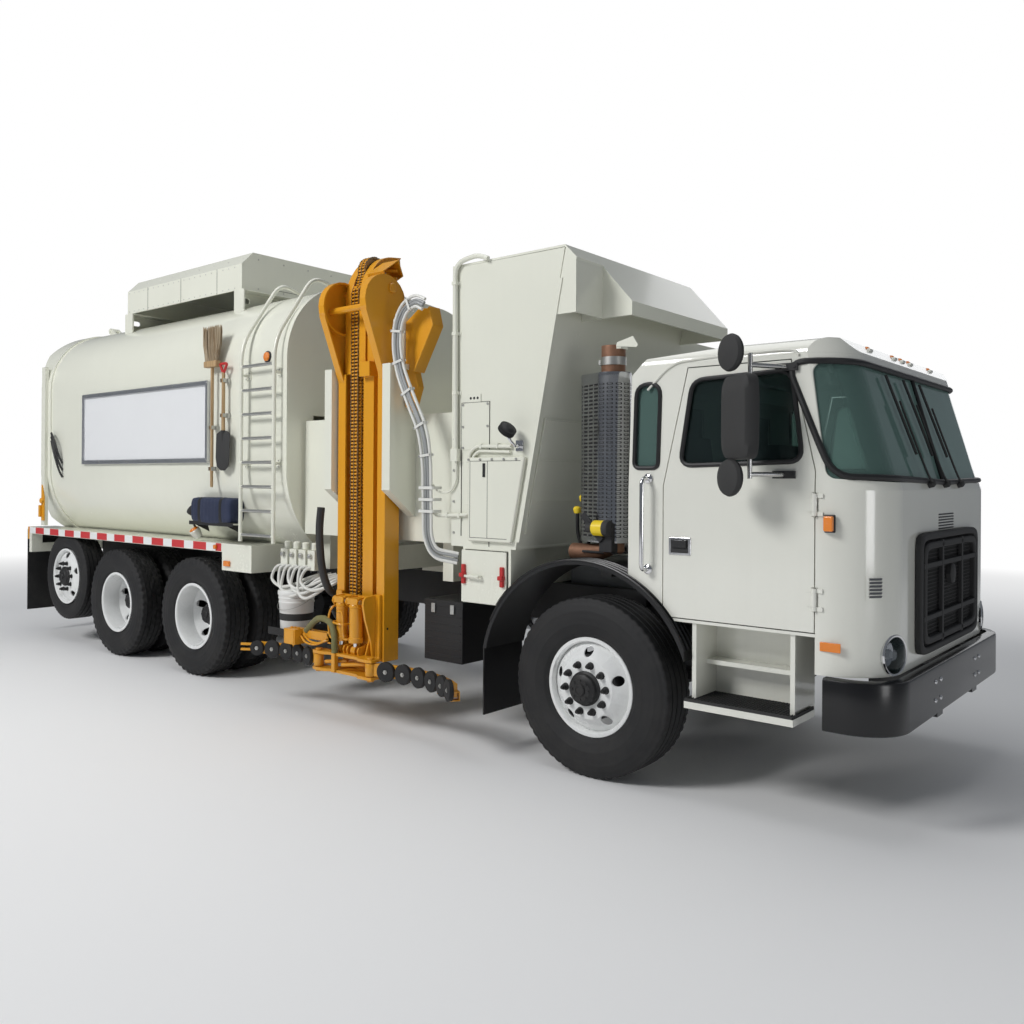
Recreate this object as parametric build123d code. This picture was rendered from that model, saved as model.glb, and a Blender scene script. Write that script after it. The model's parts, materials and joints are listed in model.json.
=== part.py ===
"""Automated side loader garbage truck: cab-over chassis, hopper, drum body and lift arm.

Millimetres.  The pieces are drawn in the axle frame: x forward from the front axle, y to the
driver's left from the centre plane, z up from the ground.  stow() then moves every piece so
that the origin lies on the ground under the middle of the overall length and width.
"""
from build123d import *
from math import cos, pi, radians, sin, sqrt
import os

os.makedirs("parts", exist_ok=True)

# ---------------------------------------------------------------- driving dimensions
# Overall
BUMPER_FRONT_X = 1745.0
FLAP_REAR_X = -7650.0
MIRROR_OUT_Y = 1500.0

# Clearances
SEAT = 0.3                  # between pieces that rest on each other
PANEL_GAP = 6.0             # round doors and between body panels
PIN_FIT = 0.05              # radial, pins and spindles that turn in their bores
BAR_SIDES = 10              # flat sides of slim round pieces that nothing turns in
BIG_BAR_SIDES = 24
WHEEL_SIDES = 24            # flats of each wheel, one of them on the ground

# Wheels and tyres
FRONT_TYRE_R = 538.0
FRONT_TYRE_W = 310.0
DRIVE_TYRE_R = 531.0
DRIVE_TYRE_W = 280.0
TAG_TYRE_R = 464.0
TAG_TYRE_W = 255.0
BEAD_R = 286.0
FLANGE_R = 298.5
RIM_W = 236.0
RIM_WALL = 12.0
HUB_R = 84.0
SPINDLE_R = 45.0
DISC_OUTSET = 168.0         # mounting face of a disc wheel from its rim's middle
HAND_HOLES = 5
HAND_HOLE_R = 27.0
HAND_HOLE_PCR = 212.0
FRONT_TRACK_Y = 1075.0      # middle of the front tyre
DUAL_GAP = 340.0            # between the middles of twin tyres
DRIVE_OUTER_Y = 1080.0
TAG_TRACK_Y = 1072.0
DRIVE_A_X = -4274.0
DRIVE_B_X = -5661.0
TAG_X = -6769.0
TAG_AXLE_Z = 710.0

# Steering
KINGPIN_Y = 900.0
KINGPIN_R = 22.0
KINGPIN_BOSS_R = 44.0
KINGPIN_BOSS_H = 130.0
YOKE_T = 34.0

# Chassis
RAIL_OUT_Y = 430.0
RAIL_FLANGE = 85.0
RAIL_T = 10.0
RAIL_BOTTOM_Z = 770.0
RAIL_TOP_Z = 1040.0
RAIL_FRONT_X = 1400.0
RAIL_REAR_X = -7450.0
CROSS_T = 60.0
CAB_MOUNT_XS = (590.0, 1280.0)
ENGINE_X0, ENGINE_X1 = -740.0, 700.0
ENGINE_HALF_Y = 320.0
ENGINE_Z0, ENGINE_Z1 = 600.0, 1200.0
BUMPER_Z0, BUMPER_Z1 = 530.0, 797.0
BUMPER_HALF_Y = 1200.0
BUMPER_CORNER_R = 250.0
BUMPER_BACK_X = 1390.0
BUMPER_WALL = 55.0
TOW_BORE_R = 20.0
TOW_PLATE_T = 30.0
HITCH_SPACING_Y, HITCH_SPACING_Z = 160.0, 110.0
HITCH_HOLE_R = 10.0

# Cab
CAB_HALF_Y = 1170.0
CAB_TUMBLE = 35.0           # how far the side leans in from the belt to the roof
CAB_REAR_X = 250.0
CAB_FRONT_X = 1665.0
CAB_CORNER_R = 330.0
CAB_SILL_Z = 990.0
CAB_APRON_Z = 802.0
CAB_BELT_Z = 1735.0
CAB_ROOF_Z = 2520.0
CAB_ROOF_SPLIT_Z = 2440.0
CAB_ROOF_EDGE_R = 85.0
CAB_WALL = 40.0
SCREEN_TOP_X = 1459.0
SCREEN_TOP_Z = 2455.0
GLASS_INSET = 12.0
GLASS_T = 8.0
DOOR_REAR_X = 480.0
DOOR_FRONT_X = 1335.0
DOOR_BOTTOM_Z = 1012.0
DOOR_KNEE_Z = 1830.0
DOOR_TOP_Z = 2408.0
DOOR_TOP_REAR_X = 612.0
DOOR_TOP_FRONT_X = 1196.0
WINDOW_R = 55.0
DOOR_PIN_R = 7.0
DOOR_BARREL_R = 13.0
DOOR_BARREL_LEN = 70.0
DOOR_HINGE_ZS = (1180.0, 1660.0)
ARCH_X, ARCH_Z = -72.0, 523.0
ARCH_R = 770.0
ARCH_T = 26.0
ARCH_IN_Y = 560.0
FENDER_IN_Y = 800.0
FENDER_OUT_Y = 1205.0
STEER_LEAN = 41.0
STEER_R = 215.0
STEP_X0, STEP_X1 = 655.0, 1235.0
STEP_Z0 = 540.0
STEP_OUT_Y = 1220.0
STEP_IN_Y = 880.0
STEP_T = 25.0
HEADLAMP_Y, HEADLAMP_Z, HEADLAMP_R = 925.0, 905.0, 92.0
GRILLE_HALF_Y = 630.0
GRILLE_Z0, GRILLE_Z1 = 860.0, 1500.0
GRILLE_DEPTH = 38.0
GRILLE_FRAME = 45.0
GRILLE_SLATS = 13

# Hopper
HOP_HALF_Y = 1200.0
HOP_WALL = 20.0
HOP_REAR_X = -2880.0
HOP_ARCH_X = -1118.0        # rear edge of the tall right wall
HOP_ARCH_W = 80.0
HOP_FLOOR_Z = 1350.0
HOP_TOP_Z = 3206.0
HOP_TOP_X = -192.0
HOP_FOOT_X = -560.0
HOP_LEFT_TOP_Z = 2840.0
HOP_SILL_Y = 1040.0         # low right wall behind the lift arm
HOP_SILL_TOP_Z = 2250.0
HOOD_X = -108.0
HOOD_CHEEK_Y = 905.0
HOOD_LEFT_Y = 420.0
HOOD_LIP_X = 107.0
HOOD_LIP_TOP_Z, HOOD_LIP_Z = 2886.0, 2800.0
HOOD_T = 14.0
POST_OUT_Y = 1300.0
POST_W = 80.0
POST_GAP = 20.0             # between a post and the mast
POST_Z0, POST_Z1 = 1500.0, 2600.0
CLEAN_X0, CLEAN_X1 = -1010.0, -600.0
CLEAN_Z0, CLEAN_Z1 = 960.0, 1330.0

# Drum body
DRUM_FRONT_X = -2906.0
DRUM_REAR_X = -7160.0
DRUM_HALF_Y = 1200.0
DRUM_WALL = 30.0
DRUM_CROWN_Z = 3430.0
DRUM_SHOULDER_Y, DRUM_SHOULDER_Z = 550.0, 2750.0
DRUM_BELLY_Y, DRUM_BELLY_Z = 400.0, 1860.0
DRUM_BOTTOM_Z = 1060.0
RING_W, RING_H = 55.0, 14.0
TAILGATE_REAR_X = -7520.0
TAILGATE_WALL = 30.0
HINGE_PIN_R = 20.0
HINGE_EYE_R = 34.0
HINGE_Z = 3490.0
HINGE_Y = 450.0
DECK_TOP_Z = 1215.0
DECK_T = 30.0
DECK_OUT_Y = 1220.0
DECK_IN_Y = 790.0
DECK_FRONT_X = -3786.0
DECK_REAR_X = -7640.0
DECK_LIP = 75.0
DECK_BOX_X = -3360.0
DECK_BOX_Z = 983.0
SIGN_X0, SIGN_X1 = -6340.0, -4020.0
SIGN_Z0, SIGN_Z1 = 1920.0, 2640.0
SIGN_T = 26.0
SIGN_FRAME = 34.0
ROOF_BOX_X0, ROOF_BOX_X1 = -6025.0, -3985.0
ROOF_BOX_HALF_Y = 900.0
ROOF_BOX_Z0, ROOF_BOX_Z1 = 3500.0, 3855.0
ROOF_BOX_T = 16.0
LADDER_X0, LADDER_X1 = -3440.0, -2990.0
LADDER_OUT_Y = 1275.0
LADDER_Z0, LADDER_BEND_Z = 1250.0, 2900.0
LADDER_TUBE_R = 17.0
RUNG_R = 13.0
RUNGS = 8
FLAP_T = 10.0
TAIL_LAMP_DEPTH = 22.0
FLAP_Z0 = 270.0

# Lift arm
MAST_X0, MAST_X1 = -2230.0, -1720.0
MAST_OUT_Y = 1250.0
MAST_DEPTH = 143.0
MAST_Z0 = 465.0
MAST_HEAD_Z = 3050.0
MAST_HEAD_R = 200.0
RAIL_FACE_W = 80.0
RAIL_WEB_T = 14.0
CHAIN_X = -2050.0
CHAIN_W = 34.0
CHAIN_T = 14.0
CHAIN_R = 46.0
CHAIN_Z0 = 620.0
CHAIN_Z1 = 3170.0
REACH_Z = 1190.0
REACH_H, REACH_W = 150.0, 210.0
REACH_WALL = 16.0
REACH_LEN_IN_Y = 880.0
CARRIAGE_Z0, CARRIAGE_Z1 = 400.0, 960.0
CARRIAGE_OUT_Y = 1330.0
GRIP_Z = 440.0
GRIP_PIVOT_GAP = 560.0
GRIP_PIVOT_Y = 1400.0
GRIP_PIN_R = 18.0
GRIP_ARM_H = 90.0
GRIP_ARM_T = 36.0
GRIP_FRONT_LEN = 1000.0
GRIP_REAR_LEN = 900.0
GRIP_CURVE = 150.0          # how far the tips bend outwards
PAD_R, PAD_T = 70.0, 34.0

# ---------------------------------------------------------------- places worked out
TAIL_END_X = DECK_REAR_X - FLAP_T - TAIL_LAMP_DEPTH
GRIPPER_OUT_Y = -(GRIP_PIVOT_Y + GRIP_ARM_T / 2 + GRIP_CURVE)
ORIGIN_X = (BUMPER_FRONT_X + TAIL_END_X) / 2
ORIGIN_Y = (MIRROR_OUT_Y + GRIPPER_OUT_Y) / 2
MAST_X = (MAST_X0 + MAST_X1) / 2
TUNNEL_HALF_Y = RAIL_OUT_Y + 15
TUNNEL_X1 = RAIL_FRONT_X + 15
TUNNEL_Z1 = ENGINE_Z1 + 40
HINGE_X = DRUM_REAR_X - 5
MAST_IN_Y = MAST_OUT_Y - MAST_DEPTH
DOOR_IN_Y = CAB_HALF_Y - CAB_TUMBLE - CAB_WALL - 10
DOOR_STEP_Y = CAB_HALF_Y - 35         # inside this the door steps in from its jamb
DOOR_STEP = 14.0
DOOR_HINGE_X = DOOR_FRONT_X + PANEL_GAP / 2
DOOR_HINGE_Y = CAB_HALF_Y + DOOR_BARREL_R - 6
CHAIN_Y = -MAST_OUT_Y + 16 + CHAIN_R


# ---------------------------------------------------------------- helpers
def block(x0, x1, y0, y1, z0, z1):
    """A box between two x, two y and two z planes."""
    corner = Pos(min(x0, x1), min(y0, y1), min(z0, z1))
    size = Box(abs(x1 - x0), abs(y1 - y0), abs(z1 - z0), align=(Align.MIN, Align.MIN, Align.MIN))
    return corner * size


def side_prism(outline, y0, y1):
    """An (x, z) outline drawn out from y0 to y1."""
    low = min(y0, y1)
    wire = Wire.make_polygon([(x, low, z) for x, z in outline])
    return extrude(Face(wire), amount=abs(y1 - y0), dir=(0, 1, 0))


def cross_prism(outline, x0, x1):
    """A (y, z) outline drawn out from x0 to x1."""
    low = min(x0, x1)
    wire = Wire.make_polygon([(low, y, z) for y, z in outline])
    return extrude(Face(wire), amount=abs(x1 - x0), dir=(1, 0, 0))


def plan_prism(outline, z0, z1):
    """An (x, y) outline drawn out from z0 to z1."""
    wire = Wire.make_polygon([(x, y, z0) for x, y in outline])
    return extrude(Face(wire), amount=z1 - z0, dir=(0, 0, 1))


def rod_x(x0, x1, y, z, radius):
    """A round bar along x."""
    return Pos((x0 + x1) / 2, y, z) * Rot(0, 90, 0) * Cylinder(radius, abs(x1 - x0))


def rod_y(x, y0, y1, z, radius):
    """A round bar along y."""
    return Pos(x, (y0 + y1) / 2, z) * Rot(90, 0, 0) * Cylinder(radius, abs(y1 - y0))


def rod_z(x, y, z0, z1, radius):
    """A round bar along z."""
    return Pos(x, y, (z0 + z1) / 2) * Cylinder(radius, abs(z1 - z0))


def bar(length, radius):
    """A many-sided bar about its middle, for round pieces that nothing turns in."""
    sides = BAR_SIDES if radius < 60 else BIG_BAR_SIDES
    return Pos(0, 0, -length / 2) * extrude(RegularPolygon(radius, sides), amount=length)


def bar_x(x0, x1, y, z, radius):
    """A many-sided bar along x."""
    return Pos((x0 + x1) / 2, y, z) * Rot(0, 90, 0) * bar(abs(x1 - x0), radius)


def bar_y(x, y0, y1, z, radius):
    """A many-sided bar along y."""
    return Pos(x, (y0 + y1) / 2, z) * Rot(90, 0, 0) * bar(abs(y1 - y0), radius)


def bar_z(x, y, z0, z1, radius):
    """A many-sided bar along z."""
    return Pos(x, y, (z0 + z1) / 2) * bar(abs(z1 - z0), radius)


def right_of(shape):
    """The right-hand twin of a piece drawn on the left."""
    return mirror(shape, about=Plane.XZ)


def tube_run(points, bends, radius):
    """A round tube along straight runs joined by bends."""
    path = FilletPolyline(*points, radius=bends)
    start = Plane(origin=path @ 0, z_dir=path % 0)
    return sweep(start * RegularPolygon(radius, BAR_SIDES), path=path)


def stow(name, *pieces):
    """Move pieces from the axle frame to the part's origin and write them as one node."""
    solids = []
    for piece in pieces:
        moved = Pos(-ORIGIN_X, -ORIGIN_Y, 0) * piece
        solids.extend(moved.solids())
    export_step(Compound(children=solids) if len(solids) > 1 else solids[0], f"parts/{name}.step")


# ---------------------------------------------------------------- wheels
def turned(profile, sides):
    """A closed (radius to the flats, y) outline turned about the y axis in flat sides."""
    turns = [2 * pi * (k + 0.5) / sides for k in range(sides)]
    out = 1 / cos(pi / sides)
    rings = [[(r * out * sin(turn), y, r * out * cos(turn)) for turn in turns]
             for r, y in profile]
    faces = []
    for here, there in zip(rings, rings[1:] + rings[:1]):
        for k in range(sides):
            far = (k + 1) % sides
            faces.append(Face(Wire.make_polygon([here[k], here[far], there[far], there[k]])))
    return Solid(Shell(faces))


def rim_ring(middle_y, face_y):
    """Rim and dished disc of one wheel; the disc's mounting face is at face_y."""
    half = RIM_W / 2
    lip = half - 12
    side = 1 if face_y > middle_y else -1
    inner = BEAD_R - RIM_WALL
    root = middle_y + side * 75
    disc = [(inner, root - side * 20), (174, face_y - side * RIM_WALL),
            (HUB_R - 4, face_y - side * RIM_WALL), (HUB_R - 4, face_y), (178, face_y),
            (inner, root)]
    outer = [(FLANGE_R, half), (FLANGE_R, lip), (BEAD_R, lip), (BEAD_R, -lip),
             (FLANGE_R, -lip), (FLANGE_R, -half)]
    if side < 0:
        disc = disc[::-1]
    profile = [(r, middle_y + y) for r, y in outer]
    profile = profile + [(inner, middle_y - half)] + disc + [(inner, middle_y + half)]
    ring = turned(profile, WHEEL_SIDES)
    for k in range(HAND_HOLES):
        hole = Rot(0, 360 / HAND_HOLES * k, 0) * bar_y(HAND_HOLE_PCR, middle_y - 200,
                                                       middle_y + 200, 0, HAND_HOLE_R)
        ring = ring - hole
    return ring


def tyre_ring(middle_y, radius, width):
    """A tyre as a closed ring seated on its rim."""
    half = width / 2
    seat = RIM_W / 2 - 12 - SEAT
    wall = radius - BEAD_R
    side = [(BEAD_R + 0.6, seat), (FLANGE_R + 2, seat), (BEAD_R + 0.5 * wall, half),
            (radius - 24, half - 20), (radius, half - 52)]
    profile = side + [(r, -y) for r, y in reversed(side)]
    return turned([(r, middle_y + y) for r, y in profile], WHEEL_SIDES)


def front_wheel():
    """Left front rim with its hub, and tyre, about the y axis."""
    face = FRONT_TRACK_Y + DISC_OUTSET - RIM_WALL
    hub = bar_y(0, FRONT_TRACK_Y - 70, face + 62, 0, HUB_R)
    bore = rod_y(0, FRONT_TRACK_Y - 80, FRONT_TRACK_Y + 90, 0, SPINDLE_R + PIN_FIT)
    rim = rim_ring(FRONT_TRACK_Y, face) + hub - bore
    return rim, tyre_ring(FRONT_TRACK_Y, FRONT_TYRE_R, FRONT_TYRE_W)


def twin_wheel():
    """Left pair of drive rims bolted face to face on one hub, and their tyres."""
    inner_y = DRIVE_OUTER_Y - DUAL_GAP
    joint_y = DRIVE_OUTER_Y - DUAL_GAP / 2
    rims = rim_ring(DRIVE_OUTER_Y, joint_y) + rim_ring(inner_y, joint_y)
    hub = bar_y(0, inner_y - 60, DRIVE_OUTER_Y - 20, 0, HUB_R + 10)
    bore = rod_y(0, inner_y - 70, inner_y + 180, 0, SPINDLE_R + PIN_FIT)
    rims = rims + hub - bore
    tyres = [tyre_ring(y, DRIVE_TYRE_R, DRIVE_TYRE_W) for y in (DRIVE_OUTER_Y, inner_y)]
    return rims, tyres


def tag_wheel():
    """Left wheel of the lifted rear axle: rim with hub, and tyre."""
    face = TAG_TRACK_Y + 120
    hub = bar_y(0, TAG_TRACK_Y - 70, face + 40, 0, HUB_R)
    bore = rod_y(0, TAG_TRACK_Y - 80, TAG_TRACK_Y + 70, 0, SPINDLE_R + PIN_FIT)
    rim = rim_ring(TAG_TRACK_Y, face) + hub - bore
    return rim, tyre_ring(TAG_TRACK_Y, TAG_TYRE_R, TAG_TYRE_W)


def write_wheels():
    """Every wheel, left and right, at its axle."""
    front_rim, front_tyre = front_wheel()
    twin_rim, twin_tyres = twin_wheel()
    tag_rim, tag_tyre = tag_wheel()
    # name, rim, tyres, x, z
    axles = [("front", front_rim, [front_tyre], 0.0, FRONT_TYRE_R),
             ("drive_a", twin_rim, twin_tyres, DRIVE_A_X, DRIVE_TYRE_R),
             ("drive_b", twin_rim, twin_tyres, DRIVE_B_X, DRIVE_TYRE_R),
             ("tag", tag_rim, [tag_tyre], TAG_X, TAG_AXLE_Z)]
    for name, rim, tyres, x, z in axles:
        at = Pos(x, 0, z)
        stow(f"rim_{name}_left", at * rim)
        stow(f"rim_{name}_right", at * right_of(rim))
        stow(f"tyre_{name}_left", *[at * t for t in tyres])
        stow(f"tyre_{name}_right", *[at * right_of(t) for t in tyres])


# ---------------------------------------------------------------- axles and steering
def knuckle():
    """Left steering knuckle: yoke, kingpin, spindle and steering arm."""
    z = FRONT_TYRE_R
    half = KINGPIN_BOSS_H / 2
    reach = half + SEAT + YOKE_T
    yoke_x = 52
    wall_y0 = KINGPIN_Y + KINGPIN_BOSS_R + 5
    wall = block(-yoke_x, yoke_x, wall_y0, wall_y0 + 40, z - reach, z + reach)
    upper = block(-yoke_x, yoke_x, KINGPIN_Y - 40, wall_y0 + 1, z + half + SEAT, z + reach)
    lower = block(-yoke_x, yoke_x, KINGPIN_Y - 40, wall_y0 + 1, z - reach, z - half - SEAT)
    pin = rod_z(0, KINGPIN_Y, z - reach, z + reach, KINGPIN_R)
    spindle = rod_y(0, wall_y0 + 20, FRONT_TRACK_Y + 80, z, SPINDLE_R)
    arm = block(-190, -40, KINGPIN_Y - 38, KINGPIN_Y - 8, z - reach, z - half - SEAT - 4)
    return wall + upper + lower + pin + spindle + arm


def front_axle():
    """Dropped I-beam with kingpin bosses and the two leaf springs under the frame."""
    z = FRONT_TYRE_R
    drop = 110
    half_h = 45
    outline = [(-KINGPIN_Y, z + half_h), (-620, z + half_h), (-520, z - drop + half_h),
               (520, z - drop + half_h), (620, z + half_h), (KINGPIN_Y, z + half_h),
               (KINGPIN_Y, z - half_h), (600, z - half_h), (500, z - drop - half_h),
               (-500, z - drop - half_h), (-600, z - half_h), (-KINGPIN_Y, z - half_h)]
    beam = cross_prism(outline, -48, 48)
    for side in (-1, 1):
        web = cross_prism([(side * 60, z - drop + 25), (side * 470, z - drop + 25),
                           (side * 470, z - drop - 25), (side * 60, z - drop - 25)], 20, 60)
        beam = beam - web - mirror(web, about=Plane.YZ)
        boss = bar_z(0, side * KINGPIN_Y, z - KINGPIN_BOSS_H / 2, z + KINGPIN_BOSS_H / 2,
                     KINGPIN_BOSS_R)
        bore = rod_z(0, side * KINGPIN_Y, z - 100, z + 100, KINGPIN_R + PIN_FIT)
        beam = beam + boss - bore
        beam = beam + leaf_spring(side * (RAIL_OUT_Y - RAIL_FLANGE / 2), z - drop + half_h)
    return beam


def leaf_spring(y, seat_z):
    """A spring pack on the axle, with its two hangers up to the frame rail."""
    half_w = 38
    leaves = [(-620, 620), (-470, 470), (-330, 330)]     # x of each leaf's ends, from the top
    top = seat_z + 20 * len(leaves) + 30
    pack = block(-70, 70, y - half_w, y + half_w, seat_z - 5, top)
    for k, (x0, x1) in enumerate(leaves):
        z1 = top - 20 * k
        pack = pack + block(x0, x1, y - half_w, y + half_w, z1 - 20.5, z1)
    for x in (-600, 600):
        pack = pack + block(x - 30, x + 30, y - 26, y + 26, top - 20, RAIL_BOTTOM_Z - SEAT)
    return pack


def drive_axle(x):
    """Banjo housing with its differential bowl, spindles and suspension seats."""
    z = DRIVE_TYRE_R
    inner_y = DRIVE_OUTER_Y - DUAL_GAP
    tube = bar_y(x, -inner_y + 100, inner_y - 100, z, 68)
    spindle = rod_y(x, -inner_y - 150, inner_y + 150, z, SPINDLE_R)
    bowl = bar_x(x - 90, x + 110, 0, z, 205) + bar_x(x - 150, x + 210, 0, z, 150)
    nose = bar_x(x + 150, x + 320, 0, z + 20, 62)
    axle = tube + spindle + bowl + nose
    for side in (-1, 1):
        y = side * (RAIL_OUT_Y - RAIL_FLANGE / 2)
        axle = axle + block(x - 75, x + 75, y - 40, y + 40, z, RAIL_BOTTOM_Z - SEAT)
    return axle


def tag_axle():
    """Straight tube of the lift axle with its trailing-arm hangers."""
    tube = bar_y(TAG_X, -TAG_TRACK_Y + 90, TAG_TRACK_Y - 90, TAG_AXLE_Z, 54)
    spindle = rod_y(TAG_X, -TAG_TRACK_Y - 60, TAG_TRACK_Y + 60, TAG_AXLE_Z, SPINDLE_R)
    axle = tube + spindle
    for side in (-1, 1):
        y = side * (RAIL_OUT_Y - RAIL_FLANGE / 2)
        arm = block(TAG_X - 60, TAG_X + 330, y - 30, y + 30, TAG_AXLE_Z - 40, TAG_AXLE_Z + 20)
        hanger = block(TAG_X + 270, TAG_X + 330, y - 30, y + 30, TAG_AXLE_Z,
                       RAIL_BOTTOM_Z - SEAT)
        axle = axle + arm + hanger
    return axle


# ---------------------------------------------------------------- frame, engine, bumper
def frame_rails():
    """Two channel rails with tow plates, the crossmembers between them and the hitch plate."""
    pieces = []
    for side in (-1, 1):
        out_y = side * RAIL_OUT_Y
        in_y = side * (RAIL_OUT_Y - RAIL_FLANGE)
        web_y = side * (RAIL_OUT_Y - RAIL_T)
        rail = block(RAIL_REAR_X, RAIL_FRONT_X, out_y, in_y, RAIL_BOTTOM_Z, RAIL_TOP_Z)
        hollow = block(RAIL_REAR_X - 1, RAIL_FRONT_X + 1, web_y, in_y,
                       RAIL_BOTTOM_Z + RAIL_T, RAIL_TOP_Z - RAIL_T)
        rail = rail - hollow
        tow = block(RAIL_REAR_X - 120, RAIL_REAR_X + 150, web_y - side * TOW_PLATE_T, web_y,
                    RAIL_BOTTOM_Z - 110, RAIL_BOTTOM_Z + 60)
        eye = rod_y(RAIL_REAR_X - 70, out_y - 200, out_y + 200, RAIL_BOTTOM_Z - 55, TOW_BORE_R)
        rail = rail + tow - eye
        for x in CAB_MOUNT_XS:
            rail = rail + block(x - 40, x + 40, side * (RAIL_OUT_Y - 1), side * (RAIL_OUT_Y + 130),
                                CAB_SILL_Z - 60, CAB_SILL_Z - SEAT)
        pieces.append(rail)
    # x of each crossmember
    for x in (1100, -1250, -2700, -3500, -4950, -6200, -7400):
        inner = RAIL_OUT_Y - RAIL_T - SEAT
        pieces.append(block(x - CROSS_T / 2, x + CROSS_T / 2, -inner, inner, RAIL_BOTTOM_Z + 40,
                            RAIL_TOP_Z - 40))
    hitch_z = (RAIL_BOTTOM_Z + RAIL_TOP_Z) / 2
    half = RAIL_OUT_Y - RAIL_T - TOW_PLATE_T - SEAT
    hitch = block(RAIL_REAR_X - 20, RAIL_REAR_X - SEAT, -half, half, RAIL_BOTTOM_Z, RAIL_TOP_Z)
    for sy in (-1, 1):
        for sz in (-1, 1):
            hole = rod_x(RAIL_REAR_X - 40, RAIL_REAR_X + 60, sy * HITCH_SPACING_Y / 2,
                         hitch_z + sz * HITCH_SPACING_Z / 2, HITCH_HOLE_R)
            hitch = hitch - hole
    return pieces + [hitch]


def engine():
    """The engine and gearbox as one plain block between the rails."""
    block_part = block(ENGINE_X0, ENGINE_X1, -ENGINE_HALF_Y, ENGINE_HALF_Y, ENGINE_Z0, ENGINE_Z1)
    sump = block(ENGINE_X0 + 300, ENGINE_X1 - 200, -200, 200, ENGINE_Z0 - 60, ENGINE_Z0 + 1)
    mount_y = RAIL_OUT_Y - RAIL_T - SEAT
    mounts = block(120, 200, -mount_y, mount_y, RAIL_BOTTOM_Z + RAIL_T + SEAT,
                   RAIL_BOTTOM_Z + 90)
    return block_part + sump + mounts


def bumper_plan(inset):
    """(x, y) face of the bumper's wrap, moved in by inset."""
    radius = BUMPER_CORNER_R - inset
    front = BUMPER_FRONT_X - inset
    half = BUMPER_HALF_Y - inset
    back = BUMPER_BACK_X - (20 if inset else 0)
    with BuildSketch() as sketch:
        with BuildLine():
            Line((back, -half), (front - radius, -half))
            RadiusArc((front - radius, -half), (front, -half + radius), -radius)
            Line((front, -half + radius), (front, half - radius))
            RadiusArc((front, half - radius), (front - radius, half), -radius)
            Line((front - radius, half), (back, half))
            Line((back, half), (back, -half))
        make_face()
    return sketch.sketch


def bumper():
    """Wrap-round channel bumper with brackets to the rails and two tow pin lugs."""
    tall = BUMPER_Z1 - BUMPER_Z0
    outer = Pos(0, 0, BUMPER_Z0) * extrude(bumper_plan(0), amount=tall)
    inner = Pos(0, 0, BUMPER_Z0 - 1) * extrude(bumper_plan(BUMPER_WALL), amount=tall + 2)
    part = outer - inner
    face_x = BUMPER_FRONT_X - BUMPER_WALL
    for side in (-1, 1):
        y = side * (RAIL_OUT_Y - RAIL_FLANGE / 2)
        bracket = block(RAIL_FRONT_X + SEAT, face_x + 10, y - 40, y + 40, BUMPER_Z0 + 60,
                        BUMPER_Z1 - 5)
        lug = block(RAIL_FRONT_X + 60, BUMPER_FRONT_X - 10, y - 55, y + 55,
                    BUMPER_Z0 - TOW_PLATE_T, BUMPER_Z0)
        lug = lug + block(face_x, BUMPER_FRONT_X - 10, y - 55, y + 55, BUMPER_Z0 - 5,
                          BUMPER_Z0 + 5)
        web = block(RAIL_FRONT_X + 60, face_x - 120, y - 15, y + 15, BUMPER_Z0 - 1,
                    BUMPER_Z0 + 70)
        pin = rod_z(face_x - 80, y, BUMPER_Z0 - 60, BUMPER_Z0 + 60, TOW_BORE_R)
        part = part + bracket + lug + web - pin
    return part


# ---------------------------------------------------------------- cab
def cab_plan(inset, front_x=CAB_FRONT_X):
    """(x, y) face of the cab up to front_x, moved in by inset, with round front corners."""
    rear = CAB_REAR_X + inset
    front = front_x - inset
    half = CAB_HALF_Y - inset
    radius = CAB_CORNER_R - inset
    with BuildSketch() as sketch:
        with BuildLine():
            Line((rear, -half), (front - radius, -half))
            RadiusArc((front - radius, -half), (front, -half + radius), -radius)
            Line((front, -half + radius), (front, half - radius))
            RadiusArc((front, half - radius), (front - radius, half), -radius)
            Line((front - radius, half), (rear, half))
            Line((rear, half), (rear, -half))
        make_face()
    return sketch.sketch


def cab_front_view(inset):
    """(y, z) outline with the leaning sides and round roof edges."""
    half = CAB_HALF_Y - inset
    top_half = half - CAB_TUMBLE
    top = CAB_ROOF_Z - inset
    radius = CAB_ROOF_EDGE_R - inset
    low = CAB_APRON_Z - 10
    with BuildSketch(Plane.YZ) as sketch:
        with BuildLine():
            Line((-half, low), (half, low))
            Line((half, low), (half, CAB_BELT_Z))
            Line((half, CAB_BELT_Z), (top_half, top - radius))
            RadiusArc((top_half, top - radius), (top_half - radius, top), -radius)
            Line((top_half - radius, top), (-top_half + radius, top))
            RadiusArc((-top_half + radius, top), (-top_half, top - radius), -radius)
            Line((-top_half, top - radius), (-half, CAB_BELT_Z))
            Line((-half, CAB_BELT_Z), (-half, low))
        make_face()
    return sketch.sketch


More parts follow.
